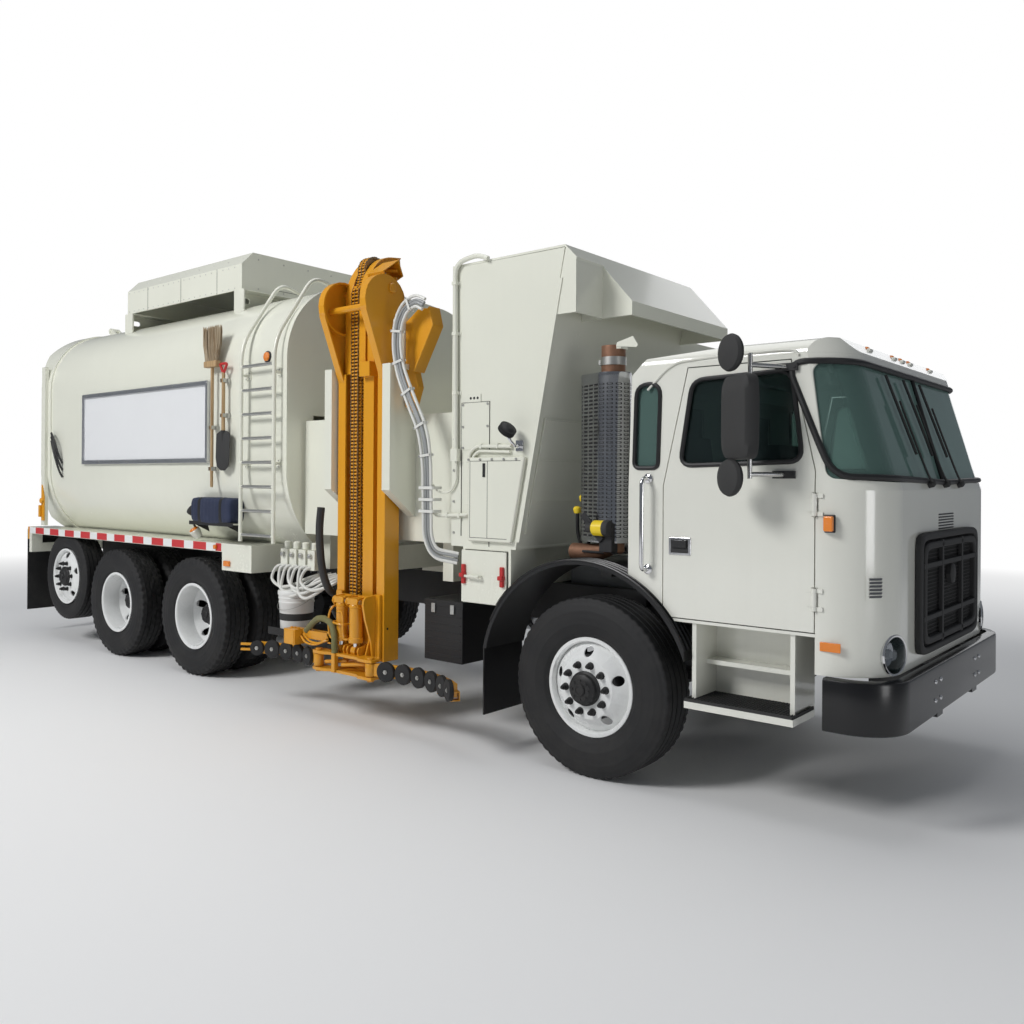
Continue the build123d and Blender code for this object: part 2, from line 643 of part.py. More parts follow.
def cab_body(inset, arch_grow):
    """The cab's whole outer form moved in by inset, with the wheel arches taken out."""
    plan = Pos(0, 0, CAB_APRON_Z - 10) * extrude(cab_plan(inset),
                                                 amount=CAB_BELT_Z - CAB_APRON_Z + 10)
    top_z = CAB_ROOF_Z + 20
    lean = (CAB_FRONT_X - SCREEN_TOP_X) / (SCREEN_TOP_Z - CAB_BELT_Z)
    top_front_x = CAB_FRONT_X - lean * (top_z - CAB_BELT_Z)
    plan = plan + loft([Pos(0, 0, CAB_BELT_Z) * cab_plan(inset),
                        Pos(0, 0, top_z) * cab_plan(inset, top_front_x)], ruled=True)
    front_view = Pos(CAB_REAR_X - 10, 0, 0) * extrude(cab_front_view(inset),
                                                      amount=CAB_FRONT_X - CAB_REAR_X + 20)
    low = CAB_SILL_Z + inset
    apron = CAB_APRON_Z if inset == 0 else CAB_SILL_Z + inset
    front = CAB_FRONT_X - inset
    roof = CAB_ROOF_Z - inset
    side = [(CAB_REAR_X + inset, low), (DOOR_FRONT_X + PANEL_GAP, low),
            (DOOR_FRONT_X + PANEL_GAP, apron), (front + 1, apron), (front + 1, SCREEN_TOP_Z),
            (SCREEN_TOP_X - inset, SCREEN_TOP_Z), (SCREEN_TOP_X - inset - 60, roof),
            (CAB_REAR_X + inset + 650, roof), (CAB_REAR_X + inset + 90, roof - 38),
            (CAB_REAR_X + inset, roof - 130)]
    if inset:
        side = [side[0]] + side[3:]
        side[1] = (front + 1, low)
    profile = side_prism(side, -CAB_HALF_Y - 10, CAB_HALF_Y + 10)
    body = plan & front_view & profile
    arch = ARCH_R + PANEL_GAP + arch_grow
    for lim in (-1, 1):
        cut = rod_y(ARCH_X, lim * (ARCH_IN_Y - arch_grow), lim * (CAB_HALF_Y + 20), ARCH_Z, arch)
        body = body - cut
    return body


def rounded_window(outline, y0, y1, grow=0.0):
    """An (x, z) window outline with round corners, drawn out between two y planes."""
    low = min(y0, y1)
    face = Face(Wire.make_polygon([(x, low, z) for x, z in outline]))
    face = face.fillet_2d(WINDOW_R, face.vertices())
    if grow:
        face = Face(face.outer_wire().offset_2d(grow))
    return extrude(face, amount=abs(y1 - y0), dir=(0, 1, 0))


DOOR_OUTLINE = [(DOOR_REAR_X, DOOR_BOTTOM_Z), (DOOR_FRONT_X, DOOR_BOTTOM_Z),
                (DOOR_FRONT_X, DOOR_KNEE_Z), (DOOR_TOP_FRONT_X, DOOR_TOP_Z),
                (DOOR_TOP_REAR_X, DOOR_TOP_Z), (DOOR_REAR_X, DOOR_KNEE_Z - 80)]
DOOR_WINDOW = [(578, 1862), (1272, 1880), (1203, 2356), (640, 2340)]
QUARTER_WINDOW = [(284, 1850), (440, 1850), (440, 2335), (284, 2335)]
SCREEN_WINDOW = [(1392, 1795), (1800, 1765), (1800, 2395), (1300, 2395)]
REAR_WINDOW_Y = (290.0, 760.0)
REAR_WINDOW_Z = (1860.0, 2240.0)


def door_region(side, grow):
    """The volume inside a door's outline, on one side, grown outwards by grow."""
    face = Face(Wire.make_polygon([(x, 0, z) for x, z in DOOR_OUTLINE]))
    if grow:
        face = Face(face.outer_wire().offset_2d(grow, kind=Kind.INTERSECTION))
    prism = extrude(face, amount=CAB_HALF_Y + 50, dir=(0, side, 0))
    return prism


def front_region(gap):
    """Everything forward of the seam behind the windscreen pillar."""
    seam = DOOR_FRONT_X + gap
    lean = DOOR_TOP_FRONT_X + gap
    slope = (lean - seam) / (DOOR_TOP_Z - DOOR_KNEE_Z)
    top = CAB_ROOF_Z + 20
    outline = [(seam, CAB_APRON_Z - 20), (CAB_FRONT_X + 60, CAB_APRON_Z - 20),
               (CAB_FRONT_X + 60, top), (seam + slope * (top - DOOR_KNEE_Z), top),
               (seam, DOOR_KNEE_Z)]
    return side_prism(outline, -CAB_HALF_Y - 60, CAB_HALF_Y + 60)


def hinge_set(side, parts):
    """Hinge barrels on the door's front edge: parts is -1 for the door's, 1 for the post's."""
    y = side * DOOR_HINGE_Y
    skin = side * (CAB_HALF_Y - 2)
    half = DOOR_BARREL_LEN / 2
    part = None
    for z in DOOR_HINGE_ZS:
        spans = [(z - half, z + half)]
        if parts > 0:
            spans = [(z - half - 22, z - half - SEAT), (z + half + SEAT, z + half + 22)]
        for z0, z1 in spans:
            piece = rod_z(DOOR_HINGE_X, y, z0, z1, DOOR_BARREL_R)
            piece = piece + block(DOOR_HINGE_X, DOOR_HINGE_X + parts * 42, skin,
                                  side * (CAB_HALF_Y + 6), z0, z1)
            if parts < 0:
                piece = piece - rod_z(DOOR_HINGE_X, y, z0 - 1, z1 + 1, DOOR_PIN_R + PIN_FIT)
            part = piece if part is None else part + piece
        if parts > 0:
            part = part + rod_z(DOOR_HINGE_X, y, z - half - 10, z + half + 10, DOOR_PIN_R)
    return part


def hinge_relief():
    """The room round the door hinges, cut from the doors and from the post."""
    reach = DOOR_BARREL_LEN / 2 + 27
    part = None
    for side in (1, -1):
        for z in DOOR_HINGE_ZS:
            rod = rod_z(DOOR_HINGE_X, side * DOOR_HINGE_Y, z - reach, z + reach,
                        DOOR_BARREL_R + 5)
            part = rod if part is None else part + rod
    return part


def build_cab():
    """Cab panels, doors and glass, all cut from one hollow form."""
    outer = cab_body(0, 0)
    inner = cab_body(CAB_WALL, CAB_WALL)
    shell = outer - inner
    # open the apron in front of the floor, so that it is a panel and not a block
    nose_gap = Pos(0, 0, CAB_APRON_Z - 20) * extrude(cab_plan(CAB_WALL),
                                                     amount=CAB_SILL_Z - CAB_APRON_Z + 15)
    shell = shell - (nose_gap & block(DOOR_FRONT_X - 10, CAB_FRONT_X, -CAB_HALF_Y, CAB_HALF_Y,
                                      0, CAB_SILL_Z))
    tunnel = block(CAB_REAR_X + CAB_WALL, TUNNEL_X1, -TUNNEL_HALF_Y, TUNNEL_HALF_Y,
                   CAB_SILL_Z - 10, CAB_SILL_Z + CAB_WALL + 5)
    tunnel = tunnel + block(CAB_REAR_X - 10, CAB_REAR_X + CAB_WALL + 1, -TUNNEL_HALF_Y,
                            TUNNEL_HALF_Y, CAB_SILL_Z - 10, TUNNEL_Z1)
    shell = shell - tunnel
    far = CAB_HALF_Y + 60
    for window in (QUARTER_WINDOW, DOOR_WINDOW, SCREEN_WINDOW):
        shell = shell - rounded_window(window, -far, far)
    for side in (-1, 1):
        rear = block(CAB_REAR_X - 20, CAB_REAR_X + CAB_WALL + 20, side * REAR_WINDOW_Y[0],
                     side * REAR_WINDOW_Y[1], REAR_WINDOW_Z[0], REAR_WINDOW_Z[1])
        shell = shell - rear
    for side in (-1, 1):
        socket = bar_x(CAB_FRONT_X - 120, CAB_FRONT_X + 60, side * HEADLAMP_Y, HEADLAMP_Z,
                       HEADLAMP_R)
        shell = shell - socket
    roof_space = block(0, 2000, -far, far, CAB_ROOF_SPLIT_Z, CAB_ROOF_Z + 50)
    below_roof = block(0, 2000, -far, far, 0, CAB_ROOF_SPLIT_Z - SEAT)
    front_space = front_region(PANEL_GAP)
    body = (shell & below_roof) - hinge_relief()
    front = (body & front_space) + hinge_set(1, 1) + hinge_set(-1, 1)
    doorway = None
    for side in (1, -1):
        hole = door_region(side, PANEL_GAP) & block(0, 2000, side * DOOR_IN_Y, side * far, 0, 3000)
        doorway = hole if doorway is None else doorway + hole
    rest = body - front_region(PANEL_GAP - SEAT) - doorway
    roof = shell & roof_space
    doors = []
    for side in (1, -1):
        skin = body & door_region(side, 0) & block(0, 2000, side * DOOR_STEP_Y, side * far, 0, 3000)
        pan = body & door_region(side, -DOOR_STEP)
        pan = pan & block(0, 2000, side * (DOOR_IN_Y + PANEL_GAP), side * (DOOR_STEP_Y + 1), 0, 3000)
        pan = pan - rod_y(ARCH_X, side * DOOR_IN_Y, side * (DOOR_STEP_Y + 2), ARCH_Z,
                          ARCH_R + PANEL_GAP + DOOR_STEP)
        doors.append(skin + pan + hinge_set(side, -1))
    pane = cab_body(GLASS_INSET, GLASS_INSET) - cab_body(GLASS_INSET + GLASS_T,
                                                         GLASS_INSET + GLASS_T)
    panes = []
    for window in (SCREEN_WINDOW, QUARTER_WINDOW):
        panes.extend((pane & rounded_window(window, -far, far, -SEAT)).solids())
    for side in (-1, 1):
        glass_x = CAB_REAR_X + GLASS_INSET
        panes.append(block(glass_x, glass_x + GLASS_T, side * (REAR_WINDOW_Y[0] + SEAT),
                           side * (REAR_WINDOW_Y[1] - SEAT), REAR_WINDOW_Z[0] + SEAT,
                           REAR_WINDOW_Z[1] - SEAT))
    door_panes = [pane & rounded_window(DOOR_WINDOW, side * 900, side * far, -SEAT)
                  for side in (1, -1)]
    return rest, front, roof, doors, panes, door_panes


def write_cab():
    """The cab's nodes."""
    rest, front, roof, doors, panes, door_panes = build_cab()
    stow("cab_shell", rest)
    stow("cab_front", front)
    stow("cab_roof", roof)
    stow("cab_glass", *panes)
    for name, door, pane in zip(("left", "right"), doors, door_panes):
        stow(f"door_{name}", door)
        stow(f"door_glass_{name}", pane)


def cab_interior():
    """Seats, the engine cover between them, the dash and the steering wheel."""
    floor = CAB_SILL_Z + CAB_WALL + SEAT
    cover = block(CAB_REAR_X + CAB_WALL + SEAT, TUNNEL_X1 + 30, -TUNNEL_HALF_Y - 30,
                  TUNNEL_HALF_Y + 30, floor, TUNNEL_Z1 + 30)
    cover = cover - block(CAB_REAR_X, TUNNEL_X1, -TUNNEL_HALF_Y, TUNNEL_HALF_Y, floor - 10,
                          TUNNEL_Z1)
    pieces = [cover]
    for side in (-1, 1):
        y = side * 735
        base = block(430, 900, y - 200, y + 200, floor + 250, floor + 330)
        pedestal = block(575, 790, y - 110, y + 110, floor, floor + 251)
        back = side_prism([(430, floor + 300), (540, floor + 300), (450, floor + 1010),
                           (350, floor + 1010)], y - 200, y + 200)
        pieces.append(base + pedestal + back)
    dash = side_prism([(1330, floor + 380), (1590, floor + 330), (1590, floor + 620),
                       (1420, floor + 650), (1330, floor + 560)], -800, 800)
    legs = block(1480, 1560, -790, -730, floor, floor + 340)
    legs = legs + block(1480, 1560, 730, 790, floor, floor + 340)
    lean = Rot(0, -STEER_LEAN, 0)
    column = Pos(1260, 735, floor + 545) * lean * bar(340, 28)
    hub_place = Pos(1150, 735, floor + 672) * lean
    grip = [(STEER_R + 17 * cos(pi / 3 * k), 17 * sin(pi / 3 * k)) for k in range(6)]
    ring = Rot(90, 0, 0) * turned(grip, BIG_BAR_SIDES)
    wheel = hub_place * (ring + Box(50, 2 * STEER_R, 24) + bar(44, 55))
    pieces.append(dash + legs + column + wheel)
    return pieces


def front_fenders():
    """Black arches over the front wheels, each with its rear flap."""
    pieces = []
    for side in (-1, 1):
        y0, y1 = side * FENDER_IN_Y, side * FENDER_OUT_Y
        ring = rod_y(ARCH_X, y0, y1, ARCH_Z, ARCH_R)
        ring = ring - rod_y(ARCH_X, side * (FENDER_IN_Y - 10), side * (FENDER_OUT_Y + 10),
                            ARCH_Z, ARCH_R - ARCH_T)
        low_front = block(0, STEP_X0 - 27, side * 700, side * 1300, ARCH_Z + 190, 2000)
        rear_keep = block(-1200, 0, side * 700, side * 1300, ARCH_Z + 150, 2000)
        ring = ring & (low_front + rear_keep)
        flap_x = ARCH_X - sqrt((ARCH_R - ARCH_T / 2) ** 2 - 150 ** 2)
        flap = block(flap_x - FLAP_T, flap_x, y0, y1, 235, ARCH_Z + 160)
        bracket = block(ARCH_X - 40, ARCH_X + 40, side * (RAIL_OUT_Y + SEAT), side * FENDER_IN_Y,
                        ARCH_Z + ARCH_R - 120, ARCH_Z + ARCH_R - 70)
        bracket = bracket + block(ARCH_X - 40, ARCH_X + 40, side * (FENDER_IN_Y - 1), side * 900,
                                  ARCH_Z + ARCH_R - 120, ARCH_Z + ARCH_R - ARCH_T + 5)
        foot = block(ARCH_X - 40, ARCH_X + 40, side * (RAIL_OUT_Y + SEAT),
                     side * (RAIL_OUT_Y + 40), RAIL_TOP_Z - 100, ARCH_Z + ARCH_R - 70)
        pieces.append(ring + flap + bracket + foot)
    return pieces


def step_wells():
    """White step boxes under the doors, each with two treads."""
    pieces = []
    top = CAB_SILL_Z - SEAT
    for side in (-1, 1):
        y_in, y_out = side * STEP_IN_Y, side * STEP_OUT_Y
        body = block(STEP_X0, STEP_X1, y_in, side * (CAB_HALF_Y - 15), STEP_Z0, top)
        hollow = block(STEP_X0 + STEP_T, STEP_X1 - STEP_T, side * (STEP_IN_Y + STEP_T),
                       side * (CAB_HALF_Y + 100), STEP_Z0 + STEP_T, top + 10)
        body = body - hollow
        tread = block(STEP_X0 - 15, STEP_X1 + 15, side * (STEP_IN_Y + 40), y_out, STEP_Z0 - 12,
                      STEP_Z0 + STEP_T)
        middle = block(STEP_X0 + 5, STEP_X1 - 5, y_in, side * (STEP_IN_Y + 150), STEP_Z0 + 210,
                       STEP_Z0 + 235)
        pieces.append(body + tread + middle)
    return pieces


def grille():
    """Black surround with slats and two upright bars, standing on the cab's nose."""
    x0 = CAB_FRONT_X + SEAT
    x1 = x0 + GRILLE_DEPTH
    frame = block(x0, x1, -GRILLE_HALF_Y, GRILLE_HALF_Y, GRILLE_Z0, GRILLE_Z1)
    inner_half = GRILLE_HALF_Y - GRILLE_FRAME
    opening = block(x0 - 1, x1 + 1, -inner_half, inner_half, GRILLE_Z0 + GRILLE_FRAME,
                    GRILLE_Z1 - GRILLE_FRAME)
    part = frame - opening
    span = GRILLE_Z1 - GRILLE_Z0 - 2 * GRILLE_FRAME
    for k in range(GRILLE_SLATS):
        z = GRILLE_Z0 + GRILLE_FRAME + span * (k + 0.5) / GRILLE_SLATS
        part = part + block(x0, x0 + 12, -inner_half - 1, inner_half + 1, z - 7, z + 7)
    for y in (-220, 220):
        part = part + block(x0, x1 + 8, y - 16, y + 16, GRILLE_Z0 + 5, GRILLE_Z1 - 5)
    return part


def mirror_set():
    """Left mirror: two brackets on the door, the main head and two round ones."""
    door_y = CAB_HALF_Y + SEAT
    post_x, post_y = 1045.0, 1370.0
    part = bar_z(post_x, post_y, 1800, 2450, 13)
    slope = CAB_TUMBLE / (CAB_ROOF_Z - CAB_ROOF_EDGE_R - CAB_BELT_Z)
    for z in (1812, 2370):
        lean = slope * (z - CAB_BELT_Z)
        in_low, in_high = [door_y - slope * (z + dz - CAB_BELT_Z) for dz in (-22, 22)]
        foot = cross_prism([(in_low, z - 22), (in_high, z + 22), (in_high + 24, z + 22),
                            (in_low + 24, z - 22)], 1120, 1240)
        arm = plan_prism([(1180, door_y - lean + 5), (1215, door_y - lean + 15),
                          (post_x + 14, post_y + 12), (post_x - 14, post_y - 12)], z - 10, z + 10)
        part = part + foot + arm
    head = plan_prism([(940, 1330), (1035, 1385), (1160, MIRROR_OUT_Y - 25),
                       (1150, MIRROR_OUT_Y), (1000, 1455), (925, 1395)], 1885, 2320)
    part = part + head
    for z in (1795, 2435):
        disc = Pos(975, 1395, z) * Rot(0, 0, 28) * Rot(0, 90, 0) * bar(42, 98)
        stub = plan_prism([(960, 1375), (post_x + 8, post_y - 8), (post_x + 8, post_y + 8),
                           (960, 1395)], z - 8, z + 8)
        part = part + disc + stub
    return part


# ---------------------------------------------------------------- hopper
def hop_front_x(z):
    """x of the hopper's leaning front edge at height z."""
    share = (z - HOP_FLOOR_Z) / (HOP_TOP_Z - HOP_FLOOR_Z)
    return HOP_FOOT_X + share * (HOP_TOP_X - HOP_FOOT_X)


def hopper_shell():
    """Hopper walls, floor, leaning front, rear arch post and the two mast posts."""
    half = HOP_HALF_Y
    floor = HOP_FLOOR_Z
    tall = side_prism([(HOP_ARCH_X, floor), (hop_front_x(floor), floor),
                       (hop_front_x(HOP_TOP_Z), HOP_TOP_Z), (HOP_ARCH_X, HOP_TOP_Z + 4)],
                      -half, -half + HOP_WALL)
    post = block(HOP_ARCH_X, HOP_ARCH_X + HOP_ARCH_W, -half, -half + 70, floor, HOP_TOP_Z + 4)
    left = side_prism([(HOP_REAR_X, floor), (hop_front_x(floor), floor),
                       (hop_front_x(HOP_LEFT_TOP_Z), HOP_LEFT_TOP_Z),
                       (HOP_REAR_X, HOP_LEFT_TOP_Z)], half - HOP_WALL, half)
    right_top = hop_front_x(HOP_TOP_Z - 20)
    front_right = side_prism([(hop_front_x(floor) - 25, floor), (hop_front_x(floor), floor),
                              (right_top, HOP_TOP_Z - 20), (right_top - 25, HOP_TOP_Z - 20)],
                             -half, HOOD_LEFT_Y)
    left_top = hop_front_x(HOP_LEFT_TOP_Z)
    front_left = side_prism([(hop_front_x(floor) - 25, floor), (hop_front_x(floor), floor),
                             (left_top, HOP_LEFT_TOP_Z), (left_top - 25, HOP_LEFT_TOP_Z)],
                            HOOD_LEFT_Y - 1, half)
    base = block(HOP_REAR_X, hop_front_x(floor), -HOP_SILL_Y, half, floor - HOP_WALL, floor)
    base = base + block(HOP_ARCH_X, hop_front_x(floor), -half, half, floor - HOP_WALL, floor)
    sill = block(HOP_REAR_X, HOP_ARCH_X + HOP_ARCH_W, -HOP_SILL_Y, -HOP_SILL_Y + HOP_WALL,
                 floor, HOP_SILL_TOP_Z)
    turn = block(HOP_ARCH_X, HOP_ARCH_X + HOP_WALL, -half, -HOP_SILL_Y + HOP_WALL, floor,
                 HOP_SILL_TOP_Z)
    shell = tall + post + left + front_right + front_left + base + sill + turn
    for x0 in (MAST_X0 - POST_GAP - POST_W, MAST_X1 + POST_GAP):
        outline = [(-POST_OUT_Y, POST_Z0 + 200), (-POST_OUT_Y, POST_Z1),
                   (-HOP_SILL_Y + 5, POST_Z1 - 120), (-HOP_SILL_Y + 5, POST_Z0)]
        shell = shell + cross_prism(outline, x0, x0 + POST_W)
        brace = block(x0, x0 + POST_W, -HOP_SILL_Y, -HOP_SILL_Y + HOP_WALL, HOP_SILL_TOP_Z - 1,
                      POST_Z1 - 100)
        shell = shell + brace
    # lower clean-out box under the tall wall
    box = block(CLEAN_X0, CLEAN_X1, -half, -half + 260, CLEAN_Z0, floor - HOP_WALL + 1)
    cavity = block(CLEAN_X0 + HOP_WALL, CLEAN_X1 - HOP_WALL, -half - 1, -half + 240,
                   CLEAN_Z0 + HOP_WALL, floor - HOP_WALL - 15)
    # cross sills down to the frame
    sills = None
    for x in (-2780, -1420, ENGINE_X0 - 120):
        beam = block(x - 50, x + 50, -900, 900, RAIL_TOP_Z + SEAT, floor - HOP_WALL + 1)
        sills = beam if sills is None else sills + beam
    return shell + box - cavity - fender_clearance() + sills


def fender_clearance():
    """The room kept round the front fenders' outer face."""
    return rod_y(ARCH_X, -HOP_HALF_Y - 80, HOP_HALF_Y + 80, ARCH_Z, ARCH_R + 12)


def hopper_door():
    """The clean-out door on the front of its box, hinged at its front edge."""
    y = -HOP_HALF_Y
    panel = block(CLEAN_X0, CLEAN_X1 - 30, y - SEAT - 14, y - SEAT, CLEAN_Z0 + 5, CLEAN_Z1 - 20)
    handle = bar_x(CLEAN_X0 + 60, CLEAN_X0 + 180, y - 50, 1140, 9)
    for x in (CLEAN_X0 + 65, CLEAN_X0 + 175):
        handle = handle + bar_y(x, y - 55, y - SEAT - 10, 1140, 8)
    return panel + handle - fender_clearance()


def hopper_hood():
    """Folded sheet hood over the hopper's front, with its visor above the cab."""
    top = HOP_TOP_Z + 4 + SEAT
    right = -HOP_HALF_Y
    cover = side_prism([(HOP_ARCH_X, top), (HOP_TOP_X, top), (HOP_TOP_X, top + HOOD_T),
                        (HOP_ARCH_X, top + HOOD_T)], right, HOOD_LEFT_Y)
    nose = side_prism([(HOP_TOP_X, top), (HOP_TOP_X, top + HOOD_T), (HOOD_X + 4, 3134),
                       (HOOD_X, 3120), (HOOD_X, HOOD_LIP_Z), (HOOD_X - HOOD_T, HOOD_LIP_Z),
                       (HOOD_X - HOOD_T, 3115)], right, -HOOD_CHEEK_Y)
    visor = side_prism([(HOP_TOP_X, top), (HOP_TOP_X, top + HOOD_T),
                        (HOOD_LIP_X, HOOD_LIP_TOP_Z), (HOOD_LIP_X, HOOD_LIP_Z),
                        (HOOD_LIP_X - HOOD_T, HOOD_LIP_Z),
                        (HOOD_LIP_X - HOOD_T, HOOD_LIP_TOP_Z - 8)],
                       -HOOD_CHEEK_Y - 1, HOOD_LEFT_Y)
    hood = cover + nose + visor
    cheek = [(HOP_TOP_X + 8, top + 2), (HOOD_LIP_X - 1, HOOD_LIP_TOP_Z - 5),
             (HOOD_LIP_X - 1, HOOD_LIP_Z), (hop_front_x(HOOD_LIP_Z) + 2, HOOD_LIP_Z)]
    for y in (-HOOD_CHEEK_Y, HOOD_LEFT_Y - HOOD_T):
        hood = hood + side_prism(cheek, y, y + HOOD_T)
    outer_cheek = [(HOP_TOP_X + 8, top), (HOOD_X - 2, 3118), (HOOD_X - 2, HOOD_LIP_Z),
                   (hop_front_x(HOOD_LIP_Z) + 2, HOOD_LIP_Z)]
    hood = hood + side_prism(outer_cheek, right, right + HOOD_T)
    left_cheek = side_prism([(HOP_ARCH_X, HOP_LEFT_TOP_Z), (hop_front_x(HOP_LEFT_TOP_Z) - 45,
                             HOP_LEFT_TOP_Z), (HOP_TOP_X - 45, top + 1), (HOP_ARCH_X, top + 1)],
                            HOOD_LEFT_Y - HOOD_T, HOOD_LEFT_Y)
    return hood + left_cheek


def packer_blade():
    """The ram plate that sweeps the hopper's floor towards the drum."""
    half = 900.0
    face = block(-1010, -930, -half, half, HOP_FLOOR_Z + 8, HOP_FLOOR_Z + 620)
    deck = block(-930, -640, -half, half, HOP_FLOOR_Z + 8, HOP_FLOOR_Z + 90)
    ribs = None
    for y in (-600, 0, 600):
        rib = side_prism([(-931, HOP_FLOOR_Z + 80), (-700, HOP_FLOOR_Z + 80),
                          (-931, HOP_FLOOR_Z + 560)], y - 20, y + 20)
        ribs = rib if ribs is None else ribs + rib
    shoes = None
    for y in (-700, 700):
        shoe = block(-1010, -640, y - 40, y + 40, HOP_FLOOR_Z + SEAT, HOP_FLOOR_Z + 12)
        shoes = shoe if shoes is None else shoes + shoe
    return face + deck + ribs + shoes


# ---------------------------------------------------------------- drum body
def drum_section(grow):
    """(y, z) face of the drum: upright sides, round shoulders and a deeper round belly."""
    half = DRUM_HALF_Y + grow
    crown = DRUM_CROWN_Z + grow
    shoulder_r = half - DRUM_SHOULDER_Y
    belly_r = half - DRUM_BELLY_Y
    top = DRUM_SHOULDER_Z + shoulder_r
    low = DRUM_BELLY_Z - belly_r
    with BuildSketch(Plane.YZ) as sketch:
        with BuildLine():
            Line((-DRUM_BELLY_Y, low), (DRUM_BELLY_Y, low))
            RadiusArc((DRUM_BELLY_Y, low), (half, DRUM_BELLY_Z), -belly_r)
            Line((half, DRUM_BELLY_Z), (half, DRUM_SHOULDER_Z))
            RadiusArc((half, DRUM_SHOULDER_Z), (DRUM_SHOULDER_Y, top), -shoulder_r)
            ThreePointArc((DRUM_SHOULDER_Y, top), (0, crown), (-DRUM_SHOULDER_Y, top))
            RadiusArc((-DRUM_SHOULDER_Y, top), (-half, DRUM_SHOULDER_Z), -shoulder_r)
            Line((-half, DRUM_SHOULDER_Z), (-half, DRUM_BELLY_Z))
            RadiusArc((-half, DRUM_BELLY_Z), (-DRUM_BELLY_Y, low), -belly_r)
        make_face()
    return sketch.sketch


def drum_form(x0, x1, grow):
    """The drum's solid form between two x planes."""
    return Pos(x0, 0, 0) * extrude(drum_section(grow), amount=x1 - x0)


def drum_shell():
    """Open tube with end rings, a front head cut for the refuse, and the hinge lugs."""
    tube = drum_form(DRUM_REAR_X, DRUM_FRONT_X, 0)
    for x in (DRUM_FRONT_X - RING_W, DRUM_REAR_X):
        tube = tube + drum_form(x, x + RING_W, RING_H)
    bore = drum_form(DRUM_REAR_X - 1, DRUM_FRONT_X - DRUM_WALL, -DRUM_WALL)
    mouth = block(DRUM_FRONT_X - 2 * DRUM_WALL, DRUM_FRONT_X + 1, -940, 940,
                  HOP_FLOOR_Z - 10, 2300)
    shell = tube - bore - mouth
    for side in (-1, 1):
        for shift in (-42, 42):
            y = side * HINGE_Y + shift
            lug = side_prism([(DRUM_REAR_X + 230, 3390), (HINGE_X, HINGE_Z + HINGE_EYE_R),
                              (HINGE_X, HINGE_Z - HINGE_EYE_R),
                              (DRUM_REAR_X + 6, HINGE_Z - HINGE_EYE_R),
                              (DRUM_REAR_X + 6, 3390)], y - 12, y + 12)
            shell = shell + lug + bar_y(HINGE_X, y - 12, y + 12, HINGE_Z, HINGE_EYE_R)
        pin = rod_y(HINGE_X, side * HINGE_Y - 60, side * HINGE_Y + 60, HINGE_Z, HINGE_PIN_R)
        shell = shell + pin
    return shell


def tailgate():
    """Dished rear door with side posts, hung on the drum's top pins."""
    front = DRUM_REAR_X - SEAT - 2
    body = drum_form(TAILGATE_REAR_X, front, RING_H)
    edge = 190
    low, high = DRUM_BOTTOM_Z - RING_H - 5, DRUM_CROWN_Z + RING_H + 5
    profile = side_prism([(front + 1, low), (front + 1, high), (TAILGATE_REAR_X + edge, high),
                          (TAILGATE_REAR_X, high - 420), (TAILGATE_REAR_X, low + 300),
                          (TAILGATE_REAR_X + edge, low)], -1300, 1300)
    plan = plan_prism([(front + 1, -1300), (front + 1, 1300), (TAILGATE_REAR_X + edge, 1215),
                       (TAILGATE_REAR_X, 1000), (TAILGATE_REAR_X, -1000),
                       (TAILGATE_REAR_X + edge, -1215)], low, high)
    body = body & profile & plan
    inside = drum_form(TAILGATE_REAR_X + edge + 20, front + 1, -TAILGATE_WALL)
    pocket = block(TAILGATE_REAR_X + TAILGATE_WALL, TAILGATE_REAR_X + edge + 21, -950, 950,
                   low + 330, high - 470)
    gate = body - inside - pocket
    for side in (-1, 1):
        arm = side_prism([(HINGE_X, HINGE_Z + HINGE_EYE_R), (HINGE_X, HINGE_Z - HINGE_EYE_R),
                          (front - 12, HINGE_Z - HINGE_EYE_R), (front - 12, 3350),
                          (front - 170, 3350)], side * HINGE_Y - 24, side * HINGE_Y + 24)
        arm = arm + bar_y(HINGE_X, side * HINGE_Y - 24, side * HINGE_Y + 24, HINGE_Z,
                          HINGE_EYE_R)
        bore = rod_y(HINGE_X, side * HINGE_Y - 40, side * HINGE_Y + 40, HINGE_Z,
                     HINGE_PIN_R + PIN_FIT)
        gate = gate + arm - bore
        post = block(front - 90, front - 10, side * (DRUM_HALF_Y + 5), side * (DRUM_HALF_Y + 45),
                     DECK_TOP_Z + 30, 3000)
        gate = gate + post
    return gate


